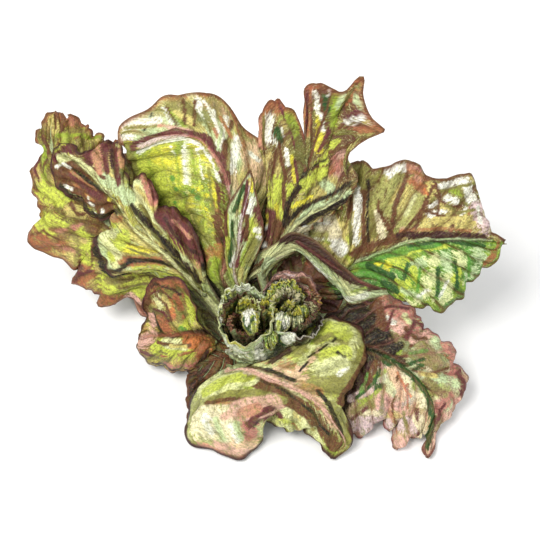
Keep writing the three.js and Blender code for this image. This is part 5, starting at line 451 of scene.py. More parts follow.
        ((-5.3, 33.3, 61.8), (0.8, 34.9, 70.4), 1.94, "plum", 0.9), ((-13.8, 29.6, 50), (-8.9, 27.5, 51.9), 1.33, "pale", 0.97),
        ((-8.9, 27.5, 51.9), (-0.3, 29, 60.1), 1.33, "pale", 0.97), ((21.6, 42.4, 79.5), (28.8, 47.1, 77.6), 3.4, "cream", 0.97),
        ((28.8, 47.1, 77.6), (34.3, 49.2, 82.3), 3.4, "cream", 0.97), ((24.4, 43.8, 81.7), (31.3, 48.1, 80.2), 1.48, "white", 0.9),
        ((-0.3, 74.7, 144.1), (3.4, 77.4, 148.9), 0.99, "wine", 0.9), ((3.4, 77.4, 148.9), (10.8, 77.2, 150.2), 0.99, "wine", 0.9),
        ((25.7, 77.8, 157.8), (25.3, 69.7, 143.5), 0.92, "wine", 0.9), ((25.3, 69.7, 143.5), (24.2, 64.4, 132.7), 0.92, "wine", 0.9),
        ((33, 77.3, 156.9), (34.3, 72.1, 147.8), 0.92, "brown", 0.9), ((47.3, 71.2, 143.1), (54.6, 72.6, 148), 0.86, "wine", 0.9),
        ((54.6, 72.6, 148), (61.6, 69.4, 146), 0.86, "wine", 0.9), ((8.1, 64.4, 124.2), (5.3, 55.3, 107.4), 0.86, "brown", 0.9),
        ((41.6, 60.3, 122.3), (44.3, 56.2, 115.1), 1.94, "rose", 0.8), ((24.3, 43.7, 86.2), (34.5, 45.7, 94.2), 3.2, "dark", 0.97),
        ((34.5, 45.7, 94.2), (47.8, 49.6, 101.1), 3.2, "dark", 0.97), ((22.9, 43.1, 78.4), (31.1, 48.1, 79.5), 3.4, "cream", 1),
        ((31.1, 48.1, 79.5), (38.9, 49.6, 86.3), 3.4, "cream", 1), ((42.4, 49.6, 89.7), (46.5, 49.7, 94.6), 3, "straw", 0.95),
        ((20.2, 43.2, 86.1), (28.8, 46.4, 94.8), 1.41, "mint", 0.97), ((28.8, 46.4, 94.8), (39.6, 46.8, 100.3), 1.41, "mint", 0.97),
        ((39.6, 46.8, 100.3), (50.1, 51, 104.1), 1.41, "mint", 0.97), ((35.1, 47, 89.6), (46, 49.5, 94.3), 1.06, "plum", 0.9),
    ]),
    "right_ruffled_leaf": dict(seed=9, grid=(170, 101), tooth=(0.02, 15, 13), veins=11, slant=0.24, rib_w=2, rib_h=3, rib_top=0.9, wave=1.6, pucker=2.4, blister=0.7, shade_to=0.42, ruffle=(1.6, 9, 3), base=("olive", "straw", "brown"), base_left=("green", "leaf", "deep"), edge=("brown", 3.6, 0.95), edge_left=("leaf", 1.2, 0.5), rib="mint", rib_line="plum", rib_line_amount=0.9, fleck_colour="leaf", vein=0.5, vein_colour="brown", valley=0.6, valley_colour="brown", light_colour="pale", rim_width=3.4, paint_keep=0.85, hatch_left="green", face=1, strokes=[
        # the white strokes on the cream patch near the base, here and at the end of the list, are painted light that
        # brightens it where the stalk above shades it; the other white dabs are painted highlights
        ((22.5, 54.2, 69.1), (34.2, 50.1, 72.7), 8, "cream", 0.98), ((36.3, 51.5, 76.2), (44.6, 39.3, 68.5), 6.5, "cream", 0.98),
        ((26.6, 55.2, 72.7), (40.5, 49.5, 78.2), 4, "white", 0.95), ((33.3, 45.7, 67), (43, 41.8, 70.7), 2.11, "straw", 0.95),
        ((38.4, 37.8, 61.6), (47.7, 33, 60.5), 5, "pale", 0.92), ((47.6, 45.2, 79), (50.7, 37.1, 68.5), 3.4, "straw", 0.8),
        ((30.1, 48.9, 68.2), (38.5, 46.5, 72.6), 2.11, "leaf", 0.9), ((49.1, 41, 73.9), (50, 33.5, 62.3), 3, "lime", 0.8),
        ((42.4, 51.8, 82.7), (47.6, 43.4, 76.4), 1.94, "straw", 0.9), ((47.6, 43.4, 76.4), (49.9, 36.9, 67.8), 1.94, "straw", 0.9),
        # the plum strokes low by the base, and the dark ones at the end of the list, are painted shade deep between the
        # heart and the folded leaf
        ((33.9, 28.1, 46.1), (48.9, 20.4, 44), 5, "plum", 0.97), ((32.8, 23.5, 43.4), (40.3, 20, 40), 4, "plum", 0.95),
        ((55.8, 57.7, 102.7), (56.2, 48.3, 89.1), 2.02, "white", 0.99), ((56.2, 48.3, 89.1), (55.1, 39.4, 73.5), 2.02, "white", 0.99),
        ((52.9, 60.8, 104.3), (52.1, 38.5, 71.1), 0.99, "moss", 0.97), ((59.5, 57.3, 104.2), (59.9, 37.3, 72.6), 1.26, "brown", 0.97),
        ((56.2, 63.2, 110.1), (60.8, 57.7, 105.4), 5, "olive", 0.93), ((65, 51.4, 99.5), (65.1, 40.3, 81.7), 3.6, "olive", 0.95),
        ((62, 57.7, 106.1), (62.2, 37.9, 75.3), 1.06, "dark", 0.93), ((66.1, 54.7, 104.7), (65.5, 47.6, 94.4), 1.48, "sage", 0.9),
        ((67.6, 45.1, 91.7), (70.6, 37.8, 80.6), 2.29, "cream", 0.97), ((68.8, 55.7, 107.7), (68.4, 45.7, 93.1), 1.26, "brown", 0.97),
        ((68.4, 45.7, 93.1), (78.3, 35.3, 78.8), 1.26, "brown", 0.97), ((78.2, 55.2, 109.9), (73, 46.2, 96.4), 4.4, "sage", 0.97),
        ((79.5, 53.1, 107.4), (74.9, 47.2, 98.4), 1.06, "straw", 0.92), ((72.6, 57.3, 111.3), (76.7, 59.7, 115), 2.8, "white", 0.98),
        ((76.7, 59.7, 115), (83.6, 58.9, 114.7), 2.8, "white", 0.98), ((84.8, 58.1, 113.7), (77, 46.1, 97.3), 1.33, "brown", 0.98),
        ((77, 46.1, 97.3), (75.9, 39.2, 85.7), 1.33, "brown", 0.98), ((90.2, 48, 100.8), (82.7, 39, 86.6), 4.2, "sage", 0.97),
        ((88.2, 49, 102.2), (83.4, 42.9, 93.3), 1.48, "pale", 0.9), ((81.8, 38.2, 85.1), (86.6, 37.3, 84.6), 2.11, "peach", 0.9),
        ((87, 54.2, 108.7), (94.2, 51.2, 104.5), 3, "rust", 0.93), ((85.8, 59.7, 115.1), (90.9, 55.8, 109.2), 3, "rose", 0.8),
        ((95.9, 48.9, 102.5), (87.6, 36, 82.7), 1.41, "brown", 0.98), ((96.4, 53.5, 106.4), (96.8, 48.7, 102.2), 2.29, "straw", 0.92),
        ((91, 53.6, 106.9), (95.8, 49.6, 103.1), 0.99, "orange", 0.9), ((102.5, 53.1, 104.2), (115.3, 59, 104.6), 1.83, "white", 0.92),
        ((106.2, 48.7, 100.5), (112, 47.2, 98.4), 1.83, "white", 0.92), ((109.6, 52.6, 102.7), (114.2, 51.9, 100.9), 2.11, "leaf", 0.93),
        ((97.2, 44.1, 97.6), (101.9, 46.9, 99.6), 1.06, "white", 0.92), ((96.5, 41.2, 94.2), (106.5, 43.2, 96.1), 1.42, "white", 0.92),
        ((103.1, 44.9, 97.8), (110.9, 43.2, 95.8), 1.48, "straw", 0.9), ((99.6, 49.6, 102.4), (107.6, 44.7, 97.3), 0.92, "brown", 0.95),
        ((107.6, 44.7, 97.3), (115.3, 45.8, 96.6), 0.92, "brown", 0.95), ((93.8, 43.5, 96), (109.9, 38.8, 92.3), 0.92, "brown", 0.93),
        ((117.5, 58, 103.2), (122.4, 49, 96.3), 3.2, "white", 0.92), ((121.5, 51.6, 98.1), (115.2, 41.8, 93.8), 1.06, "white", 0.92),
        ((101.5, 38.7, 91.9), (110, 36.7, 90.5), 2.29, "straw", 0.92), ((112, 41.2, 94), (109, 34.1, 88), 1.26, "brown", 0.97),
        ((120.4, 45.7, 95.1), (116.2, 34.2, 88), 0.99, "rust", 0.93), ((124.2, 46, 94.1), (129.2, 36.8, 87.2), 4.4, "lilac", 0.92),
        ((125, 46.9, 94.3), (126.1, 38.9, 89.5), 1.06, "white", 0.92), ((115.2, 35.7, 89.3), (122.4, 38.4, 90), 1.48, "straw", 0.9),
        ((52.9, 35.7, 66.2), (67.4, 36.1, 75.3), 2.02, "brown", 0.97), ((67.4, 36.1, 75.3), (80.1, 36.1, 80.9), 2.02, "brown", 0.97),
        ((80, 36.7, 82), (104, 33.2, 86.1), 2.02, "plum", 0.97), ((104, 33.2, 86.1), (128.2, 32, 84.6), 2.02, "plum", 0.97),
        ((80.8, 38.1, 84.7), (103.8, 35.6, 88.7), 0.99, "rust", 0.8), ((103.8, 35.6, 88.7), (120.3, 34.4, 87.7), 0.99, "rust", 0.8),
        ((60.9, 27.2, 62.7), (72, 21.5, 65.1), 4, "green", 0.93), ((65.1, 26.2, 64.7), (69.4, 26.3, 67.1), 1.48, "yellow", 0.97),
        ((73, 23.1, 66.9), (76.1, 27.6, 71.2), 2.29, "yellow", 0.9), ((76.1, 27.6, 71.2), (82.3, 24.6, 71.5), 3, "lime", 0.97),
        ((80.5, 27.9, 73.1), (94.5, 28.9, 78.8), 1.48, "lime", 0.97), ((94.5, 28.9, 78.8), (106.8, 28, 81.8), 1.48, "lime", 0.97),
        ((85.3, 31.3, 76.9), (108.4, 30.4, 84.2), 1.48, "deep", 0.95), ((108.4, 30.4, 84.2), (127.2, 28.6, 81.9), 1.48, "deep", 0.95),
        ((81.3, 29.9, 74.6), (103.6, 28.9, 81.8), 1.06, "green", 0.95), ((89.2, 21.7, 70.8), (94.6, 23.2, 73.8), 3, "mint", 0.95),
        ((98.8, 22.5, 74.2), (101.7, 24, 76.6), 2.7, "pale", 0.9), ((106.1, 24.2, 77.7), (107.8, 20.1, 72.6), 3.2, "mint", 0.97),
        ((114.2, 24.2, 78.5), (116.5, 21.8, 74.5), 3, "pale", 0.97), ((123.8, 25.5, 79), (127, 24.1, 74.8), 3.2, "mint", 0.95),
        ((96.9, 15.8, 65.7), (98.8, 17.4, 68.1), 4.2, "pale", 0.97), ((89.9, 17, 65.6), (88, 21, 69.8), 2.11, "lime", 0.97),
        ((108.5, 16.7, 67.2), (106.5, 10.3, 55.3), 3.24, "pale", 0.9), ((110.1, 13.7, 61.4), (107.5, 10.6, 55.6), 1.94, "pale", 0.95),
        ((92.2, 11.3, 55.3), (97.7, 12.3, 60), 3.24, "pale", 0.9), ((84.1, 15.8, 63.1), (81, 13.8, 57.9), 3, "lime", 0.95),
        ((84.5, 11.9, 54.7), (89.5, 10.4, 52.6), 1.33, "pale", 0.9), ((114, 19.2, 70.3), (111.5, 16.6, 66.2), 2.29, "lime", 0.97),
        ((122.2, 21.3, 70.9), (119.9, 18.9, 65.4), 2.8, "mint", 0.92), ((71.9, 18.7, 61.1), (79, 14.8, 58.5), 2.11, "deep", 0.93),
        ((102.3, 19.9, 71.9), (102, 11.4, 58.6), 1.26, "deep", 0.93), ((111.9, 22.1, 75.5), (113.4, 13.7, 59.3), 1.06, "deep", 0.93),
        ((92.2, 20.8, 70.7), (90.7, 13.4, 59.8), 0.99, "green", 0.93), ((84.9, 23.2, 71.1), (82.7, 17.5, 65), 1.06, "deep", 0.92),
        ((118.9, 24.4, 78.4), (120.6, 19.3, 65.9), 1.06, "green", 0.9), ((133, 27.2, 76.7), (128.9, 22.5, 68.1), 1.48, "rust", 0.93),
        ((94.7, 24.8, 75.3), (95.1, 24, 74.7), 0.89, "pale", 0.9), ((110.7, 25.7, 80.2), (111, 25.2, 79.6), 0.89, "pale", 0.9),
        ((78.8, 19.4, 66), (79.2, 18.8, 65.5), 0.89, "pale", 0.9), ((99.8, 9.8, 54.9), (100.6, 9.7, 55), 0.89, "pale", 0.9),
        ((116.7, 16.4, 62.6), (116.2, 16, 62.1), 0.89, "pale", 0.9), ((23.6, 53.4, 69), (37.4, 49.9, 75.5), 7, "cream", 0.98),
        ((39.5, 47.5, 74.8), (43.8, 38.3, 66.5), 6, "cream", 0.97), ((26.6, 55.2, 72.7), (40.5, 50.5, 79.3), 3.4, "white", 0.95),
        ((40.4, 43.2, 70.3), (46.1, 37.8, 67.3), 1.48, "white", 0.95), ((29.1, 47.8, 66.3), (37.4, 45.5, 70.4), 1.48, "leaf", 0.8),
        ((37.4, 45.5, 70.4), (42.1, 39, 66.2), 1.48, "leaf", 0.8), ((102.6, 51.7, 103.1), (111.9, 54.1, 103.1), 0.99, "olive", 0.9),
        ((111.9, 54.1, 103.1), (120.5, 57.6, 101.8), 0.99, "olive", 0.9), ((106.4, 45.2, 97.8), (113.1, 42.1, 94.6), 0.99, "olive", 0.9),
        ((113.1, 42.1, 94.6), (122.4, 44.9, 93.9), 0.99, "olive", 0.9), ((99.2, 55.1, 106.7), (102.8, 48.9, 101.1), 0.92, "brown", 0.85),
        ((102.8, 48.9, 101.1), (101.3, 41.8, 95), 0.92, "brown", 0.85), ((115.3, 53.1, 101.2), (118.4, 46.3, 96.1), 0.99, "olive", 0.85),
        ((103.6, 38.6, 91.9), (119.4, 39.9, 91.6), 2.29, "straw", 0.85), ((85.8, 58.1, 113.4), (96.2, 55.6, 108.2), 1.06, "rust", 0.85),
        ((88.1, 51.9, 105.8), (94.8, 52.8, 106.1), 0.99, "rust", 0.85), ((70.7, 56.4, 109.5), (68.6, 50.6, 100.6), 2.11, "sage", 0.9),
        ((82.8, 37.7, 84.4), (93.8, 44.8, 97.6), 1.06, "brown", 0.97), ((93.8, 44.8, 97.6), (98.3, 53.1, 105.5), 1.06, "brown", 0.97),
        ((38.5, 47.4, 73.6), (46.1, 38.7, 68.6), 5, "white", 0.9), ((40.5, 51.4, 80.4), (43.9, 44.6, 75.2), 4, "cream", 0.98),
        ((36.4, 44.5, 68.2), (42.9, 36.5, 63.2), 1.94, "straw", 0.85), ((42.9, 36.5, 63.2), (49.3, 33.3, 61.7), 1.94, "straw", 0.85),
        ((33.3, 46.5, 67.9), (40.4, 42.3, 69.1), 1.26, "leaf", 0.8), ((50, 62.9, 103.9), (52.4, 54.3, 95.2), 1.48, "brown", 0.9),
        ((52.4, 54.3, 95.2), (51.1, 47.7, 85), 1.48, "brown", 0.9), ((63.3, 27.7, 64.3), (76.8, 19.1, 64.9), 2.11, "deep", 0.8),
        ((65.5, 31.2, 67.2), (83.1, 30.1, 75.4), 3, "green", 0.8), ((82.8, 14.1, 60), (92.5, 11.7, 56.3), 1.94, "mint", 0.9),
        ((91.2, 12.1, 57.2), (97.2, 12.8, 60.9), 1.06, "white", 0.95), ((103.4, 11.1, 57.9), (108.5, 15.5, 65.2), 1.06, "white", 0.95),
        ((78.5, 17.8, 64.1), (84.7, 14.3, 60.9), 0.92, "lime", 0.95), ((138.1, 33.5, 82.1), (134.8, 27.8, 75.9), 0.99, "rust", 0.9),
        ((134.8, 27.8, 75.9), (128.7, 22.6, 68.7), 0.99, "rust", 0.9), ((25.7, 53.1, 70), (35.3, 49.5, 73), 7, "white", 0.95),
        ((29, 50.8, 69.6), (40.4, 45.9, 73.7), 4, "cream", 0.95), ((30.1, 48.9, 68.2), (38.5, 45.6, 71.5), 2.11, "sage", 0.85),
        ((32.6, 27.9, 45.2), (50.4, 20.5, 44.2), 6, "dark", 1), ((26.4, 33.1, 45.8), (40.8, 21.8, 45.9), 4, "brown", 0.9),
    ]),
    # right_inner_leaf: dark plum and brown colours are painted shade, deep behind the heart under the folded leaf
    "right_inner_leaf": dict(seed=10, grid=(70, 61), tooth=(0, 9, 13), veins=6, slant=0.25, rib_w=1.4, base=("dark", "plum", "brown"), edge=("dark", 4, 0.8), rib="brown", rib_amount=0.5, fleck=0.25, fleck_colour="olive", light_colour="wine", ruffle=(0.8, 6, 3), face=1, strokes=[
        ((23.3, 34.5, 52.3), (32.9, 26.5, 50.2), 4, "moss", 0.5), ((37.1, 24.2, 47.1), (45, 14.6, 41.7), 6, "plum", 0.85),
        ((23.3, 40.8, 58.2), (33.9, 29.2, 54.4), 6, "brown", 0.7), ((25.7, 37.8, 55.6), (38.1, 26.5, 50.2), 0.92, "rust", 0.7),
    ]),
    "right_folded_leaf": dict(seed=12, grid=(110, 61), tooth=(0, 9, 13), veins=7, slant=0.25, rib_w=1.2, rib_h=0.8, wave=0.6, pucker=0.7, blister=0.3, base=("mint", "pale", "mint"), edge=("mint", 1.2, 0.5), rib="plum", rib_amount=0.4, rib_line_amount=0.2, ruffle=(0.5, 5, 3), shade_to=0.45, valley=0.2, vein=0.2, dark_fleck=0.2, hatch=0.3, hatch_dark="olive", speck=0.2, face=1, strokes=[
        ((12.5, 36.1, 81.2), (22.4, 35.5, 81.4), 4.6, "plum", 0.98), ((22.4, 35.5, 81.4), (36.7, 28.3, 73.1), 4.6, "plum", 0.98),
        ((36.7, 28.3, 73.1), (50.4, 21.1, 66.1), 4.6, "plum", 0.98), ((50.4, 21.1, 66.1), (66.8, 17.7, 58.5), 4.6, "plum", 0.98),
        ((66.8, 17.7, 58.5), (80.1, 18.6, 53.3), 4.6, "plum", 0.98), ((25.1, 32.9, 76.5), (39.2, 25.7, 69.1), 1.48, "plum", 0.97),
        ((39.2, 25.7, 69.1), (51.9, 19.3, 61), 1.48, "plum", 0.97), ((20.4, 35.3, 77.7), (39.9, 25.7, 69.6), 1.06, "wine", 0.9),
        ((39.9, 25.7, 69.6), (61.9, 17.9, 58.7), 1.06, "wine", 0.9), ((21.6, 34.9, 69.6), (39.6, 24.4, 56), 3.2, "mint", 0.99),
        ((39.6, 24.4, 56), (50.2, 16.2, 47.5), 3.2, "mint", 0.99), ((40.2, 24, 55.2), (50.9, 16.1, 48.9), 4.4, "pale", 0.99),
        ((50.9, 16.1, 48.9), (56.9, 15.6, 50.4), 4.4, "pale", 0.99), ((53.5, 15.4, 48.6), (69.2, 17.2, 52.4), 3.2, "mint", 0.99),
        ((69.2, 17.2, 52.4), (78.7, 18.5, 53.5), 3.2, "mint", 0.99), ((24.9, 33.6, 68.4), (40.4, 24, 58.6), 1.48, "white", 0.97),
        ((43, 22, 53.2), (52.1, 15.6, 48.8), 2.11, "white", 0.7), ((52.1, 15.6, 48.8), (61.1, 16.2, 52), 2.11, "white", 0.7),
        ((4.4, 31.2, 68.4), (16.2, 34.9, 71.4), 3.6, "pale", 0.97), ((2.8, 29.7, 64), (11.9, 32.9, 65.9), 2.29, "cream", 0.9),
        ((-4.1, 28.4, 58.7), (4.5, 30.6, 65.6), 3.4, "mint", 0.97), ((0.3, 26.7, 59.1), (7.2, 31, 63.5), 0.92, "moss", 0.9),
        ((7.2, 31, 63.5), (20.1, 35.1, 69.3), 0.92, "moss", 0.9), ((52.8, 16.9, 54.1), (60.7, 17.5, 57.3), 0.92, "leaf", 0.85),
        ((22.7, 34.6, 69.2), (35.8, 27, 60.4), 1.94, "mint", 0.97), ((35.8, 27, 60.4), (49.1, 17.6, 50.9), 1.94, "mint", 0.97),
        ((26.5, 32.8, 67), (38.3, 25.3, 57.6), 1.33, "white", 0.9),
    ]),
    "front_right_leaf": dict(seed=13, grid=(160, 101), tooth=(0.06, 15, 15), veins=10, slant=0.25, rib_w=2, rib_h=2.6, wave=2.2, pucker=2.4, blister=0.9, shade_to=0.5, ruffle=(2.4, 9, 2.8), base=("pink", "mint", "olive"), base_left=("peach", "lilac", "olive"), edge=("rose", 3.6, 0.9), rib="deep", rib_amount=0.2, fleck_colour="mint", light_colour="pale", valley=0.4, valley_colour="rose", vein_colour="rose", vein=0.35, dark_fleck=0.3, dark_colour="brown", hatch_dark="brown", rim=0.7, rim_colour="wine", hatch=0.55, hatch_left="olive", patch=0.5, face=1, strokes=[
        # the plum and dark strokes near the base of this leaf, here and further down, are painted shade on the part
        # that lies deep beside the heart and the front leaf
        ((46, 16.6, 37.8), (54.8, 17.3, 42.2), 6, "plum", 0.97), ((54.8, 17.3, 42.2), (70.8, 19.8, 46.9), 6, "plum", 0.97),
        ((70.8, 19.8, 46.9), (82.1, 17.5, 45.6), 5, "rust", 0.93), ((82.1, 17.5, 45.6), (91.3, 10.3, 41.2), 5, "rust", 0.93),
        ((52.8, 10.4, 41.6), (61.2, -4.6, 40), 9, "plum", 0.97), ((41.9, 10.3, 35.5), (49.2, -3.7, 35.1), 8, "dark", 0.9),
        ((49.2, -3.7, 35.1), (55.4, -20.5, 29.3), 8, "dark", 0.9), ((61.3, -7.9, 37.6), (69.6, -13.6, 36.2), 5, "brown", 0.9),
        ((51.7, 16.9, 40.8), (67.7, 15.8, 46.5), 1.06, "rust", 0.85), ((67.7, 15.8, 46.5), (79.2, 11.6, 46.1), 1.06, "rust", 0.85),
        ((53.5, 6.2, 41.4), (64.8, -8.6, 38.4), 1.06, "brown", 0.9), ((66.1, 11.2, 46.1), (71.3, 3, 45.2), 4.6, "plum", 0.93),
        ((78.6, 7.2, 45.8), (84.2, -3.3, 42.6), 8.6, "rose", 0.97), ((76.9, 0.5, 44.6), (82.3, -5.3, 42.4), 4, "pink", 0.95),
        ((74.1, 3, 45.3), (76.9, 0.5, 44.6), 2.11, "white", 0.93), ((71.4, -3.4, 43), (75.3, -7.4, 41.8), 3, "mint", 0.9),
        ((83.6, 4.9, 44.3), (85.2, 1.5, 43.3), 1.94, "pale", 0.85), ((87.2, 12.4, 43.5), (94, 5.5, 38.1), 1.48, "wine", 0.9),
        ((68.4, -10.8, 38), (79.4, -15.9, 37.4), 5.4, "brown", 0.95), ((77.5, -8.9, 41.3), (80.5, -14.2, 38.6), 3.6, "leaf", 0.92),
        ((83.1, -7.6, 41.4), (83.8, -15.2, 37.8), 2.11, "olive", 0.9), ((72.9, -16.4, 35.3), (80.6, -20, 34.2), 3, "dark", 0.95),
        ((65.6, -14.3, 34.5), (59.5, -25.7, 28.1), 6.5, "plum", 0.97), ((59.5, -25.7, 28.1), (51.9, -32.1, 20), 6.5, "plum", 0.97),
        ((51.3, -32.2, 19.3), (47.6, -37.5, 9.3), 3.6, "plum", 0.97), ((66.6, -20.2, 32.5), (62.8, -30.8, 26), 1.94, "brown", 0.92),
        ((87.1, -9, 39.8), (96.1, -2.3, 35.3), 3, "pink", 0.97), ((93.9, -14.1, 35.7), (103.4, -14.5, 31.7), 2.29, "cream", 0.95),
        ((84.2, -12.8, 39), (92.5, -10.2, 36.6), 1.06, "brown", 0.93), ((92.5, -10.2, 36.6), (100, -12.5, 33.7), 1.06, "brown", 0.93),
        ((88.8, -23.7, 32), (97.1, -18.3, 33.4), 1.48, "deep", 0.97), ((94, -26.3, 30), (104.2, -25.5, 26.3), 4, "mint", 0.85),
        ((96.9, -30.8, 26), (100.6, -33.7, 22.8), 3, "leaf", 0.92), ((107.6, -5.9, 30.4), (111.6, -18.9, 22.3), 3.6, "rose", 0.92),
        ((114.6, -19.6, 20.1), (116, -27.7, 15.4), 2.29, "wine", 0.75), ((89.5, -17.4, 35.7), (103.8, -20.2, 29.4), 1.48, "peach", 0.95),
        ((92.2, -10.9, 36.7), (107.3, -14.1, 29), 0.99, "rust", 0.85), ((103.3, -31.3, 23.2), (108.2, -34.1, 17.7), 3.4, "rose", 0.85),
        ((96.3, -23, 31.5), (108.8, -19.4, 24.7), 1.48, "cream", 0.9), ((69, -17.4, 34), (82.2, -26.8, 30.4), 1.41, "deep", 0.98),
        ((82.2, -26.8, 30.4), (94.7, -35.3, 23.2), 1.41, "deep", 0.98), ((94.7, -35.3, 23.2), (99.8, -43.3, 13.6), 1.41, "deep", 0.98),
        ((99.8, -43.3, 13.6), (96.5, -58.5, 3.2), 1.41, "deep", 0.98), ((78.7, -23.7, 32.1), (91.1, -33.1, 25.6), 1.06, "dark", 0.97),
        ((91.1, -33.1, 25.6), (97.2, -39.1, 19.5), 1.06, "dark", 0.97), ((80.5, -25.3, 31.3), (93.7, -39.1, 20.8), 3.4, "cream", 0.97),
        ((76.5, -25, 31.5), (81.9, -37.2, 22.8), 3, "peach", 0.93), ((69.6, -26.5, 30), (75.3, -34.3, 25.1), 2.72, "mint", 0.7),
        ((78.7, -25.7, 31.2), (85.9, -36.8, 23.6), 0.92, "orange", 0.85), ((66.2, -27.4, 28.9), (71.6, -25.2, 31.1), 1.24, "leaf", 0.8),
        ((61.5, -34.7, 22.9), (69.3, -31.8, 26.7), 1.94, "deep", 0.92), ((53.2, -34.9, 18.7), (63.6, -33.1, 24.5), 2.11, "lilac", 0.7),
        ((57.7, -37.5, 19.6), (67.3, -36.8, 22.3), 1.48, "leaf", 0.9), ((55.7, -41.5, 15), (64.7, -38.1, 20.5), 3, "olive", 0.88),
        ((54.5, -46.6, 8.8), (64.8, -44.3, 12.6), 4.4, "lilac", 0.9), ((59, -41.8, 15.8), (67, -42.3, 15.7), 1.48, "cream", 0.92),
        ((53.1, -43.8, 10.5), (61, -40.3, 17.7), 1.06, "wine", 0.7), ((71, -38.2, 21.2), (81.4, -43.3, 15.8), 5, "pink", 0.92),
        ((72.2, -40.5, 12.6), (78.2, -44.2, 13.4), 4, "straw", 0.7), ((74.1, -45.9, 7.3), (88.4, -49.5, 13.2), 5, "lilac", 0.9),
        ((75, -40.5, 15.7), (79.8, -52, 7.7), 1.06, "rust", 0.8), ((82.5, -42.6, 17), (85.1, -53.5, 9.6), 0.99, "olive", 0.8),
        ((79.9, -56.5, 5.1), (87.3, -53.8, 6.8), 3, "pink", 0.93), ((90.5, -47, 15.1), (95.2, -55, 4.8), 3, "cream", 0.9),
        ((89.8, -42.4, 18.6), (90.4, -52.4, 8.6), 1.06, "wine", 0.8), ((102.3, -40.5, 15.3), (106.7, -35.7, 17.4), 3, "rose", 0.92),
        ((100.6, -35.6, 21.1), (104.6, -31.7, 22), 1.48, "pale", 0.85), ((44.4, 16.4, 36.9), (50.8, 16.8, 40.4), 5, "plum", 0.97),
        ((50.8, 16.8, 40.4), (55.9, 17.4, 42.6), 5, "plum", 0.97), ((46.6, 15.9, 38.3), (56.2, -1.4, 39.9), 6, "dark", 0.92),
        ((56.2, -1.4, 39.9), (60.7, -13.5, 33.7), 6, "dark", 0.92), ((65.1, 16.6, 45.9), (52.5, 16.2, 41.3), 3.4, "dark", 0.9),
        ((63.9, -3.2, 41.6), (70.2, -9.4, 39.6), 3, "plum", 0.95), ((70.2, -9.4, 39.6), (79.8, -12.1, 39.8), 3, "plum", 0.95),
        ((92.2, -13.4, 36.3), (103.7, -19, 30), 5, "olive", 0.8), ((90.6, -31.5, 26.7), (105.6, -31.7, 21.4), 4, "leaf", 0.6),
        ((83.4, -2.9, 42.9), (88.6, -7.3, 39.7), 1.48, "brown", 0.85), ((88.6, -7.3, 39.7), (95, -5.8, 35.9), 1.48, "brown", 0.85),
        ((69.6, 8.1, 46.3), (77.2, 11.3, 46.4), 1.48, "wine", 0.8), ((77.2, 11.3, 46.4), (85.4, 9.8, 44.2), 1.48, "wine", 0.8),
        ((76, -7.9, 41.7), (82.8, -12, 39.6), 3, "moss", 0.8), ((86.7, -17.8, 36), (103.4, -23.4, 28), 1.33, "olive", 0.85),
        ((53.7, 17.1, 41.7), (61.2, 3.4, 43.5), 6, "dark", 0.85), ((61.2, 3.4, 43.5), (68.7, -10.2, 38.6), 6, "dark", 0.85),
        ((50, 16.8, 40), (59.3, 17.8, 43.9), 5, "plum", 0.95), ((66.7, 13, 46.3), (71, -4.1, 42.7), 4, "brown", 0.9),
        ((71, -4.1, 42.7), (72.1, -11.4, 38.9), 4, "brown", 0.9), ((72.3, 18.7, 47), (84.5, 15.9, 44.7), 2.29, "rust", 0.85),
        ((84.5, 15.9, 44.7), (91.3, 10.3, 41.2), 2.29, "rust", 0.85), ((83.5, -8.8, 40.9), (88.7, 3.1, 42.1), 1.48, "wine", 0.9),
        ((88.7, 3.1, 42.1), (96.3, 1.7, 34.6), 1.48, "wine", 0.9), ((65.6, -14.3, 34.5), (74.3, -15.9, 36.3), 2.11, "dark", 0.97),
        ((74.3, -15.9, 36.3), (80.5, -12.5, 39.5), 2.11, "dark", 0.97), ((72.5, -16.9, 34.7), (81, -22.5, 32.4), 1.94, "deep", 0.98),
        ((81, -22.5, 32.4), (90, -28.5, 28.4), 1.94, "deep", 0.98), ((90, -28.5, 28.4), (96, -35.8, 22.4), 1.94, "deep", 0.98),
        ((96, -35.8, 22.4), (98.3, -44.3, 13.9), 1.94, "deep", 0.98), ((98.3, -44.3, 13.9), (96.2, -58.6, 3.2), 1.94, "deep", 0.98),
        ((55.5, -35.6, 19.9), (65.2, -30.4, 26.8), 1.06, "deep", 0.95), ((65.2, -30.4, 26.8), (68.8, -23.8, 31.3), 1.06, "deep", 0.95),
        ((58, -38.7, 18.6), (68.6, -33.5, 25.3), 0.99, "leaf", 0.9), ((61.8, -25.7, 28.8), (58.2, -33.3, 23), 0.99, "green", 0.9),
        ((78.6, -27.5, 30.2), (76.6, -38.7, 19), 0.92, "brown", 0.85), ((76.6, -38.7, 19), (78.9, -46.6, 9.1), 0.92, "brown", 0.85),
        ((84.4, -31.5, 27.5), (84.5, -41.2, 19.1), 0.92, "rust", 0.85), ((71.6, -31.5, 27.3), (68.5, -41.4, 16.9), 0.99, "olive", 0.85),
        ((83.4, -21.6, 33.2), (93.6, -18.8, 34.3), 1.06, "deep", 0.95), ((86.9, -28.8, 28.9), (97.5, -32.3, 24.7), 1.06, "deep", 0.92),
        ((97.4, -25.7, 29.6), (107.2, -19.2, 26.8), 0.99, "brown", 0.9), ((85.9, -16.1, 37), (95, -13.7, 35.4), 1.06, "green", 0.9),
        ((95.8, -28.8, 27.8), (103.4, -33.3, 21.6), 2.29, "olive", 0.85), ((92.3, -25.7, 30.5), (100.8, -26, 28.1), 1.48, "straw", 0.85),
        ((112.5, -7.5, 25.3), (116.1, -18.7, 19.2), 1.06, "wine", 0.85), ((116.1, -18.7, 19.2), (114.7, -28.7, 16.1), 1.06, "wine", 0.85),
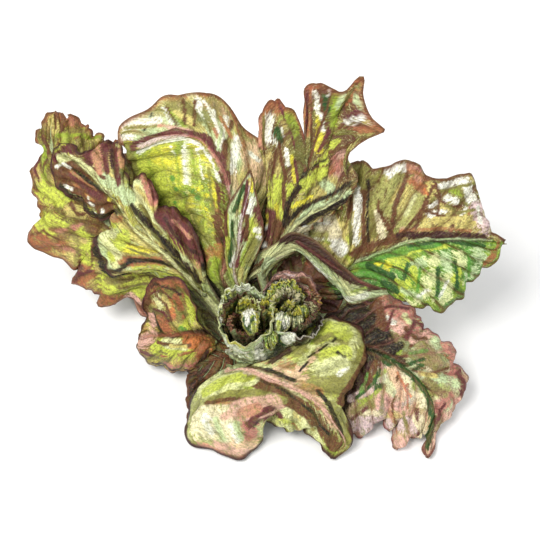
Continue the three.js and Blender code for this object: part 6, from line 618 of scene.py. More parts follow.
        ((105.8, -37.4, 16.6), (99.7, -47.6, 9.6), 0.99, "wine", 0.8), ((60.4, -48.3, 5.7), (72.8, -43.7, 9.6), 0.99, "lilac", 0.9),
        ((55.8, 13.4, 42.9), (64.8, -1.2, 42.9), 7, "dark", 1), ((64.8, -1.2, 42.9), (71, -11.5, 38.5), 7, "dark", 1),
        ((61.7, 9.6, 44.8), (72.1, -1.9, 43.7), 3, "brown", 0.9), ((54.8, 17.3, 42.2), (68, 16.7, 46.6), 0.99, "rust", 0.8),
        ((68, 16.7, 46.6), (79.5, 12.6, 46.1), 0.99, "rust", 0.8), ((72.5, -16.9, 34.7), (81, -22.5, 32.4), 1.94, "deep", 0.98),
        ((81, -22.5, 32.4), (90, -28.5, 28.4), 1.94, "deep", 0.98), ((90, -28.5, 28.4), (96, -35.8, 22.4), 1.94, "deep", 0.98),
        ((96, -35.8, 22.4), (98.3, -44.3, 13.9), 1.94, "deep", 0.98), ((98.3, -44.3, 13.9), (96.2, -58.6, 3.2), 1.94, "deep", 0.98),
        ((46.7, 16.6, 38.3), (55, 14.2, 42.5), 6, "dark", 1), ((55, 14.2, 42.5), (61.5, 4.1, 43.8), 6, "dark", 1),
        ((76.6, 7.1, 46), (73, -4.1, 42.9), 1.06, "wine", 0.9),
    ]),
    "front_lobed_leaf": dict(seed=14, grid=(170, 101), tooth=(0.02, 11, 17), veins=8, slant=0.28, rib_w=2.4, rib_h=2.6, rib_top=0.9, wave=1.3, pucker=1.3, blister=0.8, shade_to=0.5, ruffle=(1.2, 8, 3.2), base=("pale", "sage", "lime"), edge=("brown", 5.4, 0.95), rib="pink", rib_amount=0.9, rib_line="brown", fleck_colour="lime", vein=0.25, valley=0.25, valley_colour="olive", dark_fleck=0.25, dark_colour="olive", hatch_dark="olive", hatch=0.5, light_colour="lime", rim_colour="plum", rim_width=5.2, rim=0.92, edge_left=("brown", 4.4, 0.92), relief_light_and_shade=0.5, face=1, strokes=[
        ((-27.4, -33.1, 25.1), (-12.1, -31.3, 32.3), 9, "pale", 0.75), ((-12.1, -31.3, 32.3), (0, -35.2, 35.5), 9, "pale", 0.75),
        ((-14.3, -28.6, 31.4), (-2.5, -37.4, 34.6), 5, "pale", 0.6), ((5.3, -37.9, 35.6), (19.4, -46.5, 32.2), 6, "pale", 0.75),
        ((-32.1, -33.7, 22.3), (-21.5, -29.5, 28.2), 1.48, "leaf", 0.85), ((-21.5, -29.5, 28.2), (-6.2, -38.7, 33.6), 1.48, "leaf", 0.85),
        ((-28.7, -40, 23), (-8.5, -40.7, 32.5), 1.26, "olive", 0.85), ((-8.5, -40.7, 32.5), (8.7, -44.5, 33.4), 1.26, "olive", 0.85),
        ((-40, -40.1, 13.5), (-28.1, -41.6, 22.9), 4.2, "olive", 0.55), ((-28.1, -41.6, 22.9), (-12.4, -43.1, 30.6), 4.2, "olive", 0.55),
        ((-12.4, -43.1, 30.6), (5, -45.3, 32.8), 4.2, "olive", 0.8), ((5, -45.3, 32.8), (20.1, -49.7, 27.3), 4.2, "olive", 0.8),
        ((-27, -44, 22.9), (-12.1, -46.3, 29.5), 1.48, "rust", 0.75), ((-32.6, -50.2, 15.7), (-19.7, -54.1, 21.5), 10, "cream", 0.97),
        ((-19.9, -60.6, 12.3), (-9.1, -61.1, 10.1), 8, "peach", 0.93), ((-33.3, -58.4, 4.7), (-11.2, -63.7, 4.9), 4, "rose", 0.85),
        ((-11.5, -49.2, 28.3), (5.4, -48.8, 29.7), 6, "pink", 0.97), ((-9.6, -53.1, 26.1), (-6.4, -57.8, 16.2), 5, "rose", 0.97),
        ((-6.5, -54.8, 23.7), (0, -51.4, 26.9), 3.4, "wine", 0.97), ((0, -51.4, 26.9), (5.6, -49.1, 22.2), 3.4, "wine", 0.97),
        ((-4.7, -55.7, 20.5), (-2.7, -52.7, 25.8), 1.48, "plum", 0.95), ((-31.7, -48.3, 17.6), (-26.5, -55.1, 16.4), 3, "white", 0.95),
        ((-26, -54.5, 17.4), (-23.6, -59.4, 12.2), 3, "mint", 0.9), ((-14.4, -55.4, 22.6), (-12.8, -60.3, 15.7), 2.11, "mint", 0.85),
        ((-21.1, -51.2, 23.1), (-13.9, -49.2, 27.5), 2.11, "pink", 0.9), ((11.6, -48.7, 26.2), (20.8, -49.3, 28.4), 4, "pale", 0.93),
        ((0.7, -46.9, 31.6), (10.5, -47, 31.7), 4, "pink", 0.8), ((24.9, -53, 21.6), (34, -56.7, 8.7), 4, "pale", 0.75),
        ((19.5, -50.1, 26), (29.6, -52.6, 13.4), 1.48, "straw", 0.9), ((39, -60.7, 5.6), (41.2, -63.9, 3.4), 3, "leaf", 0.85),
        ((-34.5, -26.7, 21.1), (-39.8, -32, 15.8), 1.48, "dark", 0.93), ((-39.8, -32, 15.8), (-43.6, -42.3, 8.4), 1.48, "dark", 0.93),
        ((-43.6, -42.3, 8.4), (-42.8, -52.2, 2.7), 1.48, "dark", 0.93), ((-42.8, -52.2, 2.7), (-35.4, -58.3, 2), 1.48, "dark", 0.93),
        ((-35.4, -58.3, 2), (-21.7, -63.5, 2.2), 1.33, "brown", 0.93), ((-21.7, -63.5, 2.2), (-11.7, -64.6, 2.2), 1.33, "brown", 0.93),
        ((18.3, -51.8, 17.6), (30.2, -54.5, 8.2), 0.92, "rust", 0.9), ((30.2, -54.5, 8.2), (38.6, -63.9, 2.6), 0.92, "rust", 0.9),
        # the brown and dark strokes along the rib are painted shadow below the raised rib
        ((-13, -30.2, 32), (0.7, -37.4, 35.2), 4, "brown", 0.9), ((0.7, -37.4, 35.2), (13.6, -44.8, 33.5), 4, "brown", 0.9),
        ((13.6, -44.8, 33.5), (26.9, -50.3, 27.7), 4, "brown", 0.9), ((26.9, -50.3, 27.7), (36.2, -55.1, 16.2), 4, "brown", 0.9),
        ((36.2, -55.1, 16.2), (41.9, -60.1, 7.8), 4, "brown", 0.9), ((-2.5, -33.7, 35.2), (14.1, -42, 34.7), 0.99, "dark", 0.93),
        ((14.1, -42, 34.7), (28.7, -50.3, 27.7), 0.99, "dark", 0.93), ((28.7, -50.3, 27.7), (38.8, -56.5, 14.5), 0.99, "dark", 0.93),
        ((-23.2, -20.8, 26.1), (-5, -27.6, 34.8), 2.29, "mint", 0.97), ((-5, -27.6, 34.8), (17.3, -37.8, 36.8), 2.11, "cream", 0.98),
        ((17.3, -37.8, 36.8), (32, -44.8, 31.8), 1.94, "peach", 0.98), ((32, -44.8, 31.8), (42.1, -54.9, 18.8), 1.94, "peach", 0.98),
        ((0.7, -33.7, 35.8), (19.9, -41, 34.7), 0.86, "rust", 0.85), ((19.9, -41, 34.7), (32.5, -49, 28.1), 0.86, "rust", 0.85),
        ((-7.9, -21.5, 32.1), (5.7, -29.5, 39.1), 0.92, "dark", 0.98), ((5.7, -29.5, 39.1), (18.8, -35.1, 38.7), 0.92, "dark", 0.98),
        ((32.1, -41.4, 34.9), (37.2, -45.3, 31.2), 1.06, "dark", 0.98), ((41.7, -49, 27.1), (44, -53.5, 20.4), 1.26, "deep", 0.98),
        ((44, -53.5, 20.4), (48.1, -57.7, 12.3), 1.26, "deep", 0.98), ((40.1, -45.9, 30.5), (50.2, -58.3, 9.8), 2.29, "olive", 0.9),
        ((44.5, -45.3, 30.3), (51.2, -56, 10.4), 1.33, "brown", 0.92), ((-1.9, -19.1, 32.5), (20.2, -31.2, 40.9), 4.2, "rust", 0.8),
        ((9.1, -31.5, 39.1), (24.5, -36.3, 38.5), 3.2, "peach", 0.92), ((20.3, -20.5, 44), (25.4, -17.5, 44.7), 3, "olive", 0.85),
        ((29.3, -9.6, 45), (50.4, -7.7, 44.3), 8.5, "pale", 0.75), ((31.6, -8.2, 45.2), (41.9, -5.3, 45.3), 5, "pale", 0.6),
        ((50.8, -18.2, 42.5), (55.3, -18.8, 40.7), 5, "pale", 0.6), ((35.2, -28.4, 42.2), (44.1, -28.6, 40.9), 7, "pale", 0.7),
        ((29.2, -15.5, 45.1), (39.6, -9.3, 45.4), 1.48, "leaf", 0.9), ((39.6, -9.3, 45.4), (51.7, -10.7, 43.7), 1.48, "leaf", 0.9),
        ((29, -39.6, 36.3), (44.4, -37, 36.6), 5, "olive", 0.75), ((22.2, -38.7, 36.7), (32.6, -41.8, 34.6), 3, "rust", 0.7),
        ((54.7, -29.2, 35.5), (58.2, -19.2, 38.8), 4, "olive", 0.93), ((61, -7.1, 40.6), (59.7, -20.3, 35.9), 3, "brown", 0.93),
        ((59.7, -20.3, 35.9), (52.6, -32.6, 34.9), 3, "brown", 0.93), ((44.4, -32.9, 38.9), (48.3, -28.3, 40), 1.85, "white", 0.85),
        ((42.4, -18.6, 44.3), (48.9, -18.1, 43.1), 1.85, "white", 0.85), ((43.3, -14.1, 44.9), (49.5, -10.9, 44.2), 1.33, "pink", 0.95),
        ((21.7, -30.5, 41.3), (32.9, -20.3, 44.5), 2.8, "peach", 0.97), ((35.4, -21.3, 44.3), (37.8, -20.9, 44.3), 1.94, "green", 0.98),
        ((22.3, -27.2, 42.5), (29.6, -19.3, 44.7), 1.94, "pale", 0.7), ((52.3, -11.3, 43.4), (56.7, -20.4, 39.4), 1.06, "olive", 0.85),
        ((21.7, -31.7, 40.8), (26.1, -27.2, 42.7), 0.76, "dark", 0.98), ((26.7, -23.7, 43.8), (30.5, -20.9, 44.4), 0.76, "dark", 0.98),
        ((32.9, -20.3, 44.5), (36, -17.1, 45), 0.76, "dark", 0.98), ((40.9, -14.5, 45.1), (43.2, -10.7, 45.2), 0.76, "dark", 0.98),
        ((43.1, -20.6, 43.7), (47, -22.1, 42.5), 0.79, "dark", 0.98), ((47.6, -22.7, 42.2), (48.1, -23.4, 41.8), 0.79, "dark", 0.95),
        # the plum and olive strokes round the right lobe are painted shade where it lies next to the deep part of the
        # right leaf and the heart
        ((6.7, -23, 39.9), (16.2, -17.3, 43.1), 3.4, "plum", 0.97), ((16.2, -17.3, 43.1), (23.8, -7, 43.1), 3.4, "plum", 0.97),
        ((23.8, -7, 43.1), (30.7, 1.7, 42.7), 3.4, "plum", 0.97), ((30.7, 1.7, 42.7), (37.5, 5.1, 43.5), 3.4, "plum", 0.97),
        ((37.5, 5.1, 43.5), (51.9, 2.7, 44), 1.94, "brown", 0.97), ((51.9, 2.7, 44), (60.2, -5.1, 41.4), 1.94, "brown", 0.97),
        ((21.3, -16.6, 44.3), (28.6, -5.3, 44.2), 4.2, "olive", 0.7), ((28.6, -5.3, 44.2), (43.6, 2.2, 44.6), 4.2, "olive", 0.7),
        ((43.6, 2.2, 44.6), (56.4, -4.6, 42.9), 4.2, "olive", 0.7), ((56.4, -4.6, 42.9), (60.4, -15.9, 38.4), 4.2, "olive", 0.7),
        ((60.4, -15.9, 38.4), (54.7, -29.2, 35.5), 4.2, "olive", 0.7), ((20.5, -10.9, 43), (28.5, -0.4, 42.6), 2.8, "plum", 0.97),
        ((28.5, -0.4, 42.6), (36.6, 4.8, 43.4), 2.8, "plum", 0.97), ((36.6, 4.8, 43.4), (50.1, 3.6, 44.2), 2.8, "plum", 0.97),
        ((50.1, 3.6, 44.2), (58.6, -2.6, 42.3), 2.8, "plum", 0.97), ((58.6, -2.6, 42.3), (61.9, -11.3, 39), 2.8, "plum", 0.97),
        ((61.9, -11.3, 39), (59.1, -21.3, 36), 2.8, "plum", 0.97), ((59.1, -21.3, 36), (52.7, -32.7, 34.4), 2.8, "plum", 0.97),
        ((48.1, -40, 32.7), (44.5, -45.3, 30.3), 2.11, "brown", 0.95), ((-33.1, -30.6, 22.4), (-20.3, -27.8, 28.6), 5, "pale", 0.75),
        ((-20.3, -27.8, 28.6), (-6.1, -33, 34.3), 5, "pale", 0.75), ((-18.6, -38.9, 28.8), (0.6, -42.2, 33.9), 1.94, "olive", 0.8),
        ((0.6, -42.2, 33.9), (12.9, -46.2, 32.5), 1.94, "olive", 0.8), ((-32.1, -33.7, 22.3), (-20.1, -29.4, 28.8), 3.4, "lime", 0.8),
        ((-20.1, -29.4, 28.8), (-5.9, -31, 34.5), 3.4, "lime", 0.8), ((-26.8, -38.9, 24.4), (-12.7, -39.3, 31.4), 1.48, "olive", 0.85),
        ((-12.7, -39.3, 31.4), (5.4, -43.5, 33.7), 1.48, "olive", 0.85), ((-30.5, -41.1, 21.5), (-16.9, -42.8, 28.8), 1.33, "brown", 0.85),
        ((-16.9, -42.8, 28.8), (-2.8, -46.4, 31.7), 1.33, "brown", 0.85), ((30.4, -6, 44.8), (42.2, -0.6, 44.9), 3, "lime", 0.8),
        ((42.2, -0.6, 44.9), (51.9, -6.9, 44), 3, "lime", 0.8), ((37.2, -11.6, 45.4), (47.8, -15.2, 44), 1.33, "olive", 0.85),
        ((29.7, -20.6, 44.5), (34.6, -26.7, 42.9), 1.33, "olive", 0.85), ((34.6, -26.7, 42.9), (44.1, -28.6, 40.9), 1.33, "olive", 0.85),
        ((60.5, -14.8, 38.9), (55, -28.2, 36), 4.6, "olive", 0.85), ((55, -28.2, 36), (47.8, -36.5, 35.8), 4.6, "olive", 0.85),
        ((61.9, -11.3, 39), (59.1, -21.3, 36), 2.29, "brown", 0.92), ((59.1, -21.3, 36), (52.1, -33.4, 34.9), 2.29, "brown", 0.92),
        # these dark strokes are painted shade between the heart and this leaf
        ((52.1, -33.4, 34.9), (47, -41.3, 32.6), 2.29, "brown", 0.92), ((19.3, -12.2, 42.9), (25.6, -2.9, 42.2), 3.4, "dark", 0.95),
        ((25.6, -2.9, 42.2), (32.4, 2.3, 43.1), 3.4, "dark", 0.95), ((32.1, -41.4, 34.9), (38.9, -46.9, 29.5), 1.26, "dark", 0.98),
        ((38.9, -46.9, 29.5), (42.2, -52.3, 22.7), 1.26, "dark", 0.98), ((42.2, -52.3, 22.7), (46.1, -57.3, 13.6), 1.26, "dark", 0.98),
        ((-7.2, -55.9, 21.9), (-3.1, -51.4, 27.8), 1.94, "wine", 0.97), ((-3.1, -51.4, 27.8), (5.7, -49.1, 28.8), 1.94, "wine", 0.97),
        ((5.7, -49.1, 28.8), (11.3, -48.6, 21.9), 1.94, "wine", 0.97), ((33.3, -2, 44.5), (48, -8.1, 44.7), 7, "pale", 0.8),
        ((33, -12.1, 45.3), (47, -2.2, 44.9), 4, "lime", 0.7), ((30.7, -14.4, 45.2), (39.6, -9.3, 45.4), 1.33, "olive", 0.8),
        ((39.6, -9.3, 45.4), (48.6, -13.9, 44), 1.33, "olive", 0.8), ((-13.1, -49.6, 27.5), (5.8, -48, 30.7), 6, "pink", 0.9),
        ((-25.7, -60.3, 8.6), (-10.1, -63.3, 4.9), 4.4, "pink", 0.9), ((-29.4, -60.7, 3.5), (-10.5, -64.3, 2.2), 3, "rose", 0.85),
        ((-35.4, -49.5, 13.7), (-21.4, -58.3, 15.6), 5, "cream", 0.9), ((-25.8, -51.5, 20.1), (-22.1, -59.3, 13.4), 2.11, "mint", 0.8),
        ((-7.2, -55.9, 21.9), (-3.1, -51.4, 27.8), 2.11, "wine", 0.97), ((-3.1, -51.4, 27.8), (5.7, -49.1, 28.8), 2.11, "wine", 0.97),
        ((-8, -23.4, 33.5), (6.4, -30.6, 38.8), 1.26, "dark", 0.98), ((6.4, -30.6, 38.8), (18.8, -36.2, 38.1), 1.26, "dark", 0.98),
        ((-21.7, -20, 26), (-8.9, -26.2, 33.4), 1.48, "mint", 0.97), ((-9.6, -27.6, 33.2), (13.3, -37, 36.7), 1.33, "cream", 0.97),
        ((17.3, -38.8, 36.1), (32, -44.8, 31.8), 1.33, "peach", 0.97), ((32, -44.8, 31.8), (42.1, -54.9, 18.8), 1.33, "peach", 0.97),
        ((21.7, -31.7, 40.8), (26.1, -27.2, 42.7), 0.79, "dark", 0.98), ((26.7, -23.7, 43.8), (30.5, -20.9, 44.4), 0.79, "dark", 0.98),
        ((32.9, -20.3, 44.5), (37.6, -16.3, 45.1), 0.79, "dark", 0.98), ((40.9, -14.5, 45.1), (43.2, -10.7, 45.2), 0.79, "dark", 0.98),
        ((43.1, -20.6, 43.7), (47.6, -22.7, 42.2), 0.86, "dark", 0.98), ((-33, -48, 16.7), (-28.6, -55.6, 14.2), 1.94, "white", 0.9),
        ((-17.7, -54.9, 21.6), (-13.9, -60.8, 14.6), 1.33, "white", 0.9), ((-11.4, -51.6, 26.8), (-2.5, -49.4, 29.8), 3, "rose", 0.85),
        ((32.6, -3.3, 44.6), (47.2, -7.6, 44.9), 6, "lime", 0.75), ((37.7, -23.8, 43.5), (47.3, -20.4, 42.9), 5, "lime", 0.7),
        ((38.1, -28.6, 41.9), (46.5, -25.5, 41.5), 4, "pale", 0.8), ((30.9, -15.7, 45.1), (39.6, -9.3, 45.4), 1.33, "olive", 0.85),
        ((39.6, -9.3, 45.4), (49.2, -14.5, 43.7), 1.33, "olive", 0.85), ((21.7, -31.7, 40.8), (26.1, -27.2, 42.7), 0.79, "dark", 0.98),
        ((26.7, -23.7, 43.8), (30.5, -20.9, 44.4), 0.79, "dark", 0.98), ((32.9, -20.3, 44.5), (37.6, -16.3, 45.1), 0.79, "dark", 0.98),
        ((40.9, -14.5, 45.1), (43.2, -10.7, 45.2), 0.79, "dark", 0.98), ((43.1, -20.6, 43.7), (47.6, -22.7, 42.2), 0.86, "dark", 0.98),
    ]),
    "left_curled_leaf": dict(seed=15, grid=(110, 81), tooth=(0.02, 9, 19), veins=7, slant=0.28, rib_w=2, wave=0.9, pucker=1.2, blister=0.6, ruffle=(0.9, 6, 3), base=("straw", "olive", "rust"), edge=("rust", 3.4, 0.92), rib="rust", rib_amount=0.6, fleck_colour="yellow", shade_to=0.5, rim_colour="plum", rim_width=4.4, rim=0.92, light_colour="lime", face=-1, strokes=[
        ((-65.4, 23.2, 54.2), (-55, 22.6, 60.3), 5, "rust", 0.93), ((-55, 22.6, 60.3), (-44.7, 17.2, 60.8), 5, "rust", 0.93),
        ((-44.7, 17.2, 60.8), (-41.1, 14.8, 51.3), 3, "brown", 0.93), ((-42.3, 15.8, 49.3), (-41.7, 12.7, 41), 3.6, "lime", 0.98),
        ((-41.7, 12.7, 41), (-45.2, 4.7, 36.5), 3.6, "lime", 0.98), ((-40.7, 14.2, 46), (-43.4, 7.2, 36.9), 1.06, "pale", 0.95),
        ((-49.7, 19.1, 49), (-46.7, 9.1, 38), 3.8, "olive", 0.9), ((-50.6, 19, 48), (-48.1, 14.2, 41.5), 2.11, "rust", 0.92),
        ((-47.8, 2.7, 36.3), (-44.8, 0.7, 35.9), 1.48, "green", 0.97), ((-68.4, 21.7, 50.1), (-61.3, 23, 53.7), 1.06, "plum", 0.98),
        ((-61.3, 23, 53.7), (-53.6, 21.5, 53.5), 1.06, "plum", 0.98), ((-65.5, 21.5, 47.8), (-59.4, 21.5, 49.2), 0.92, "wine", 0.96),
        ((-59.4, 21.5, 49.2), (-52.9, 18.6, 46), 0.92, "wine", 0.96), ((-69, 21, 48.7), (-69.4, 14.5, 38.1), 2.8, "brown", 0.92),
        ((-62.2, 19.8, 44.5), (-60.1, 16.2, 40.1), 2.25, "pale", 0.7), ((-64.5, 16.1, 38.2), (-58.6, 13.7, 38.4), 1.06, "wine", 0.98),
        ((-58.6, 13.7, 38.4), (-55.7, 8.3, 36.4), 1.06, "wine", 0.98), ((-60.2, 9.6, 35.2), (-56.6, 0.9, 34.4), 3.6, "rust", 0.96),
        ((-64.9, 14.5, 36.2), (-61.4, 6.5, 33.2), 1.06, "dark", 0.93), ((-61.4, 6.5, 33.2), (-58.6, 0.4, 33.5), 1.06, "dark", 0.93),
        ((-66.3, 13.9, 34.9), (-64.2, 8.5, 31.8), 2.29, "pink", 0.93), ((-54.1, 17.7, 44.1), (-52.9, 11, 38.3), 1.94, "orange", 0.85),
        # the dark strokes along the middle are painted shade in the crease between the upper ear and the lower lobe
        ((-57.8, 19.8, 46.1), (-55.3, 16, 41.5), 1.94, "straw", 0.93), ((-61.7, 1, 31.6), (-52.5, -3.5, 35.2), 1.94, "dark", 0.97),
        ((-52.5, -3.5, 35.2), (-43.3, -0.3, 35.5), 1.94, "dark", 0.97), ((-43.3, -0.3, 35.5), (-32.6, 2.7, 33.3), 1.94, "dark", 0.97),
        ((-62.1, -4.2, 27.8), (-42.6, -9.5, 32.6), 5.4, "lime", 0.97), ((-56.1, -5.2, 33), (-45.5, -8.1, 34.2), 3, "pale", 0.93),
        ((-60.1, -6.3, 26.3), (-45.3, -10.7, 30.4), 1.06, "olive", 0.9), ((-42.8, -5.4, 35.2), (-33.6, -6.3, 32.4), 4.4, "orange", 0.92),
        ((-33.6, -6.3, 32.4), (-37.2, -10.4, 25.8), 3.6, "rust", 0.97), ((-57.1, -7.7, 16.7), (-38.8, -10.5, 22.3), 2.29, "rose", 0.97),
        ((-64.5, -3.5, 12.9), (-53.2, -9, 14.2), 1.33, "plum", 0.96), ((-53.2, -9, 14.2), (-39.3, -9.6, 17.3), 1.33, "plum", 0.96),
        ((-39.3, -9.6, 17.3), (-32.5, -8.6, 29.6), 1.33, "plum", 0.96), ((-73.3, 4.1, 20.3), (-64.8, 2.2, 29.4), 4.4, "pink", 0.96),
        ((-72.1, 1.4, 17), (-65, -3.9, 20.2), 1.48, "wine", 0.97), ((-74.2, 3.9, 15.4), (-69.5, -0.7, 10.8), 1.06, "plum", 0.95),
        ((-69.5, -0.7, 10.8), (-62.3, -4, 11.5), 1.06, "plum", 0.95), ((-68.2, 21.9, 50.5), (-62.1, 23.2, 54.4), 1.06, "plum", 0.97),
        ((-62.1, 23.2, 54.4), (-53.6, 21.5, 53.5), 1.06, "plum", 0.97), ((-53.6, 21.5, 53.5), (-48.2, 18.8, 49.8), 1.06, "plum", 0.97),
        ((-62.8, 20.6, 46), (-56.6, 16.6, 41.8), 0.92, "brown", 0.9), ((-56.6, 16.6, 41.8), (-53.9, 8.4, 36.9), 0.92, "brown", 0.9),
        ((-51.6, 17.9, 45.4), (-49.3, 6.6, 37.1), 0.99, "olive", 0.9), ((-43, 15.9, 47.9), (-44.5, 5.6, 36.6), 2.11, "lime", 0.9),
        ((-46.6, 18.3, 50.6), (-46.7, 9.1, 38), 0.99, "rust", 0.9), ((-60.8, -3.1, 30.8), (-49.9, -7.9, 33.7), 1.06, "brown", 0.9),
        ((-49.9, -7.9, 33.7), (-42.5, -7.9, 34.1), 1.06, "brown", 0.9), ((-59.1, -7.2, 24.1), (-45.3, -10.7, 30.4), 0.99, "rust", 0.9),
        ((-45.3, -10.7, 30.4), (-36.8, -8.9, 31.7), 0.99, "rust", 0.9), ((-53.3, -7.3, 32.9), (-44.7, -8.5, 33.8), 0.99, "straw", 0.9),
    ]),
    # front_under_leaf: dark plum and brown colours are painted shade, the leaf lies in shadow under the front leaves
    "front_under_leaf": dict(seed=16, grid=(60, 51), base=("dark", "plum", "brown"), edge=("plum", 4, 0.8), rib="brown", fleck=0.2, fleck_colour="moss", light_colour="rust", rib_amount=0.5, ruffle=(1, 6, 3), veins=6, net=0.12, vein=0.2, under=0.12, face=1),
    "back_middle_leaf": dict(seed=20, grid=(80, 61), tooth=(0.05, 13, 20), base=("brown", "olive", "wine"), ruffle=(1, 7, 2.8), veins=9, edge=("rust", 5, 0.9), rib="mint", face=-1),
    "back_middle_left_leaf": dict(seed=21, grid=(80, 61), tooth=(0.05, 13, 21), base=("olive", "leaf", "moss"), ruffle=(2.2, 8, 2.6), veins=9, edge=("rust", 5, 0.9), rib="mint", face=-1),
    "back_middle_right_leaf": dict(seed=22, grid=(80, 61), tooth=(0.05, 13, 22), base=("moss", "olive", "leaf"), ruffle=(2.2, 8, 2.6), veins=9, edge=("rust", 5, 0.9), rib="mint", face=-1),
    "back_low_leaf": dict(seed=23, grid=(80, 61), tooth=(0.05, 13, 23), base=("olive", "leaf", "moss"), ruffle=(2.2, 8, 2.6), veins=9, edge=("rust", 5, 0.9), rib="mint", face=-1),
    "back_low_left_leaf": dict(seed=24, grid=(80, 61), tooth=(0.05, 13, 24), base=("moss", "olive", "leaf"), ruffle=(2.2, 8, 2.6), veins=9, edge=("rust", 5, 0.9), rib="mint", face=-1),
    "back_low_right_leaf": dict(seed=25, grid=(80, 61), tooth=(0.05, 13, 25), base=("olive", "leaf", "moss"), ruffle=(2.2, 8, 2.6), veins=9, edge=("rust", 5, 0.9), rib="mint", face=-1),
    "heart_left_outer_leaf": dict(base=("mint", "pale", "white"), edge=("pale", 2, 0.8), seed=41, frill=(1, 6, 2), rim=0.25, hatch_dark="olive", shade_to=0.22, paint_keep=0.8, face=1, strokes=[
        ((-24.6, -5.3, 56.5), (-21.6, -18.7, 57.5), 3.4, "white", 0.97), ((-24.8, -6.1, 56.6), (-21.6, -18.7, 57.5), 1.06, "moss", 0.9),
        ((-19.1, -17.8, 47.8), (-8.9, -23, 49), 3, "white", 0.95), ((-17.4, -22.5, 56.3), (-9, -23.4, 50.6), 1.41, "yellow", 0.98),
        ((-15.5, -22.5, 53.1), (-15.6, -22.1, 52), 1.48, "yellow", 0.95), ((-12, -23.1, 50.6), (-12, -23, 50.3), 1.48, "yellow", 0.95),
        ((-19.8, -20.7, 56.9), (-19.4, -20.6, 55.9), 1.48, "yellow", 0.95), ((-9.8, -22.7, 47.5), (-4, -22.4, 49.8), 0.92, "orange", 0.9),
        ((-0.1, -22.1, 59.9), (-2.7, -21.5, 47), 3.4, "white", 0.95), ((1.8, -20.1, 59.9), (-0.9, -20.6, 47.4), 0.99, "leaf", 0.93),
        ((-23.2, -2.2, 55.1), (-24.5, -4.8, 56.3), 0.99, "plum", 0.9), ((-19.6, -21.2, 57.6), (-10.1, -25.7, 58), 0.99, "brown", 0.85),
        ((-20.4, -16.9, 49.9), (-13.5, -21.4, 46.2), 5, "white", 0.9), ((-8.1, -23.7, 51.7), (-0.1, -20.9, 53.6), 4, "mint", 0.9),
        ((4.4, -1.8, 45), (-0.6, -20.9, 51.2), 4, "white", 0.85), ((-17.8, -22.8, 57.6), (-9.2, -24.2, 53.3), 1.41, "yellow", 0.98),
        ((-24.8, -9.6, 56.5), (-21.7, -17.1, 54.5), 3, "mint", 0.9),
    ]),
    "heart_left_back_leaf": dict(base=("brown", "moss", "rust"), edge=("brown", 2.6, 0.85), seed=42, light_colour="lime", fleck_colour="olive", rim_colour="plum", rim=0.7, shade_to=0.36, paint_keep=0.75, face=1, strokes=[
        ((-20.9, -2.2, 65), (-18.3, -0.4, 67), 2.11, "plum", 0.95), ((-18.3, -0.4, 67), (-11.7, 3.6, 64.4), 2.11, "plum", 0.95),
        ((-11.5, 4, 62.4), (-6.8, 5, 54.5), 2.29, "lime", 0.97), ((-9.1, 4.1, 62.2), (-9, 4.2, 61.4), 1.26, "yellow", 0.95),
        ((-5.5, 3.1, 60.4), (-4.9, 2.8, 60.1), 1.26, "yellow", 0.95), ((-18.9, 0.2, 58.2), (-15.2, 2.5, 61.1), 1.48, "deep", 0.93),
        ((-4, -0.9, 68.1), (0.1, 0.7, 51.9), 1.94, "plum", 0.97), ((0.1, 0.7, 51.9), (0.7, -4.7, 44.4), 1.94, "plum", 0.97),
    ]),
    "heart_left_frill_leaf": dict(base=("pale", "mint", "lime"), edge=("white", 1.8, 0.8), seed=53, ruffle=(0.6, 9, 2), frill=(1.2, 9, 1.8), rim=0.2, rim_colour="leaf", shade_to=0.36, paint_keep=0.75, face=1, strokes=[
        ((-21.5, 5.8, 62.8), (-15.1, 8.1, 65.2), 1.48, "lime", 0.95), ((-14.3, 8.6, 66.3), (-7.8, 9.2, 66.7), 1.33, "white", 0.97),
        ((-16.6, 7.7, 60.4), (-17, 7.8, 67.7), 0.92, "moss", 0.9), ((-9.3, 9.9, 57.8), (-8.8, 9.7, 64.8), 0.92, "moss", 0.9),
        ((-3.4, 7.8, 58.3), (-4.3, 7.6, 65.9), 0.92, "moss", 0.9), ((-5.4, 7.9, 65.4), (0.5, 6.2, 62.7), 1.48, "mint", 0.95),
    ]),
    "heart_right_frill_leaf": dict(base=("lime", "pale", "green"), edge=("yellow", 1.4, 0.9), seed=54, ruffle=(0.6, 11, 2), frill=(1.2, 9, 1.8), rim=0.25, rim_colour="moss", shade_to=0.36, paint_keep=0.75, face=1, strokes=[
        ((5.7, 6.9, 69.4), (21.5, 9.2, 67.1), 1.06, "lime", 0.95), ((6.6, 9.5, 62.5), (21.1, 9.6, 63.3), 0.92, "white", 0.93),
        ((5.2, 6, 68.5), (5.1, 5.7, 68.2), 1.33, "yellow", 0.95), ((5.5, 9.7, 59.5), (5.9, 10.3, 58.1), 1.33, "yellow", 0.95),
        ((10.1, 9, 68.6), (10.5, 9.3, 67.7), 1.33, "yellow", 0.95), ((5.5, 9.7, 59.5), (21.4, 9.7, 59.7), 0.99, "deep", 0.93),
    ]),
    "heart_left_middle_leaf": dict(base=("brown", "rust", "plum"), edge=("rust", 1.8, 0.8), seed=43, fleck_colour="rose", light_colour="peach", hatch_dark="dark", rim_colour="plum", rim=0.6, shade_to=0.36, paint_keep=0.75, face=1, strokes=[
        ((-18, -8.9, 60.7), (-18.9, -11.2, 60.8), 2.11, "deep", 0.9), ((-16, -5.2, 58.7), (-14.4, -2.8, 56.7), 1.06, "dark", 0.93),
        ((-13.5, -1.4, 44.9), (-10.9, -19.1, 58.8), 1.48, "olive", 0.9), ((-16.8, -14.7, 54.5), (-7.8, -18.4, 53.3), 1.06, "wine", 0.95),
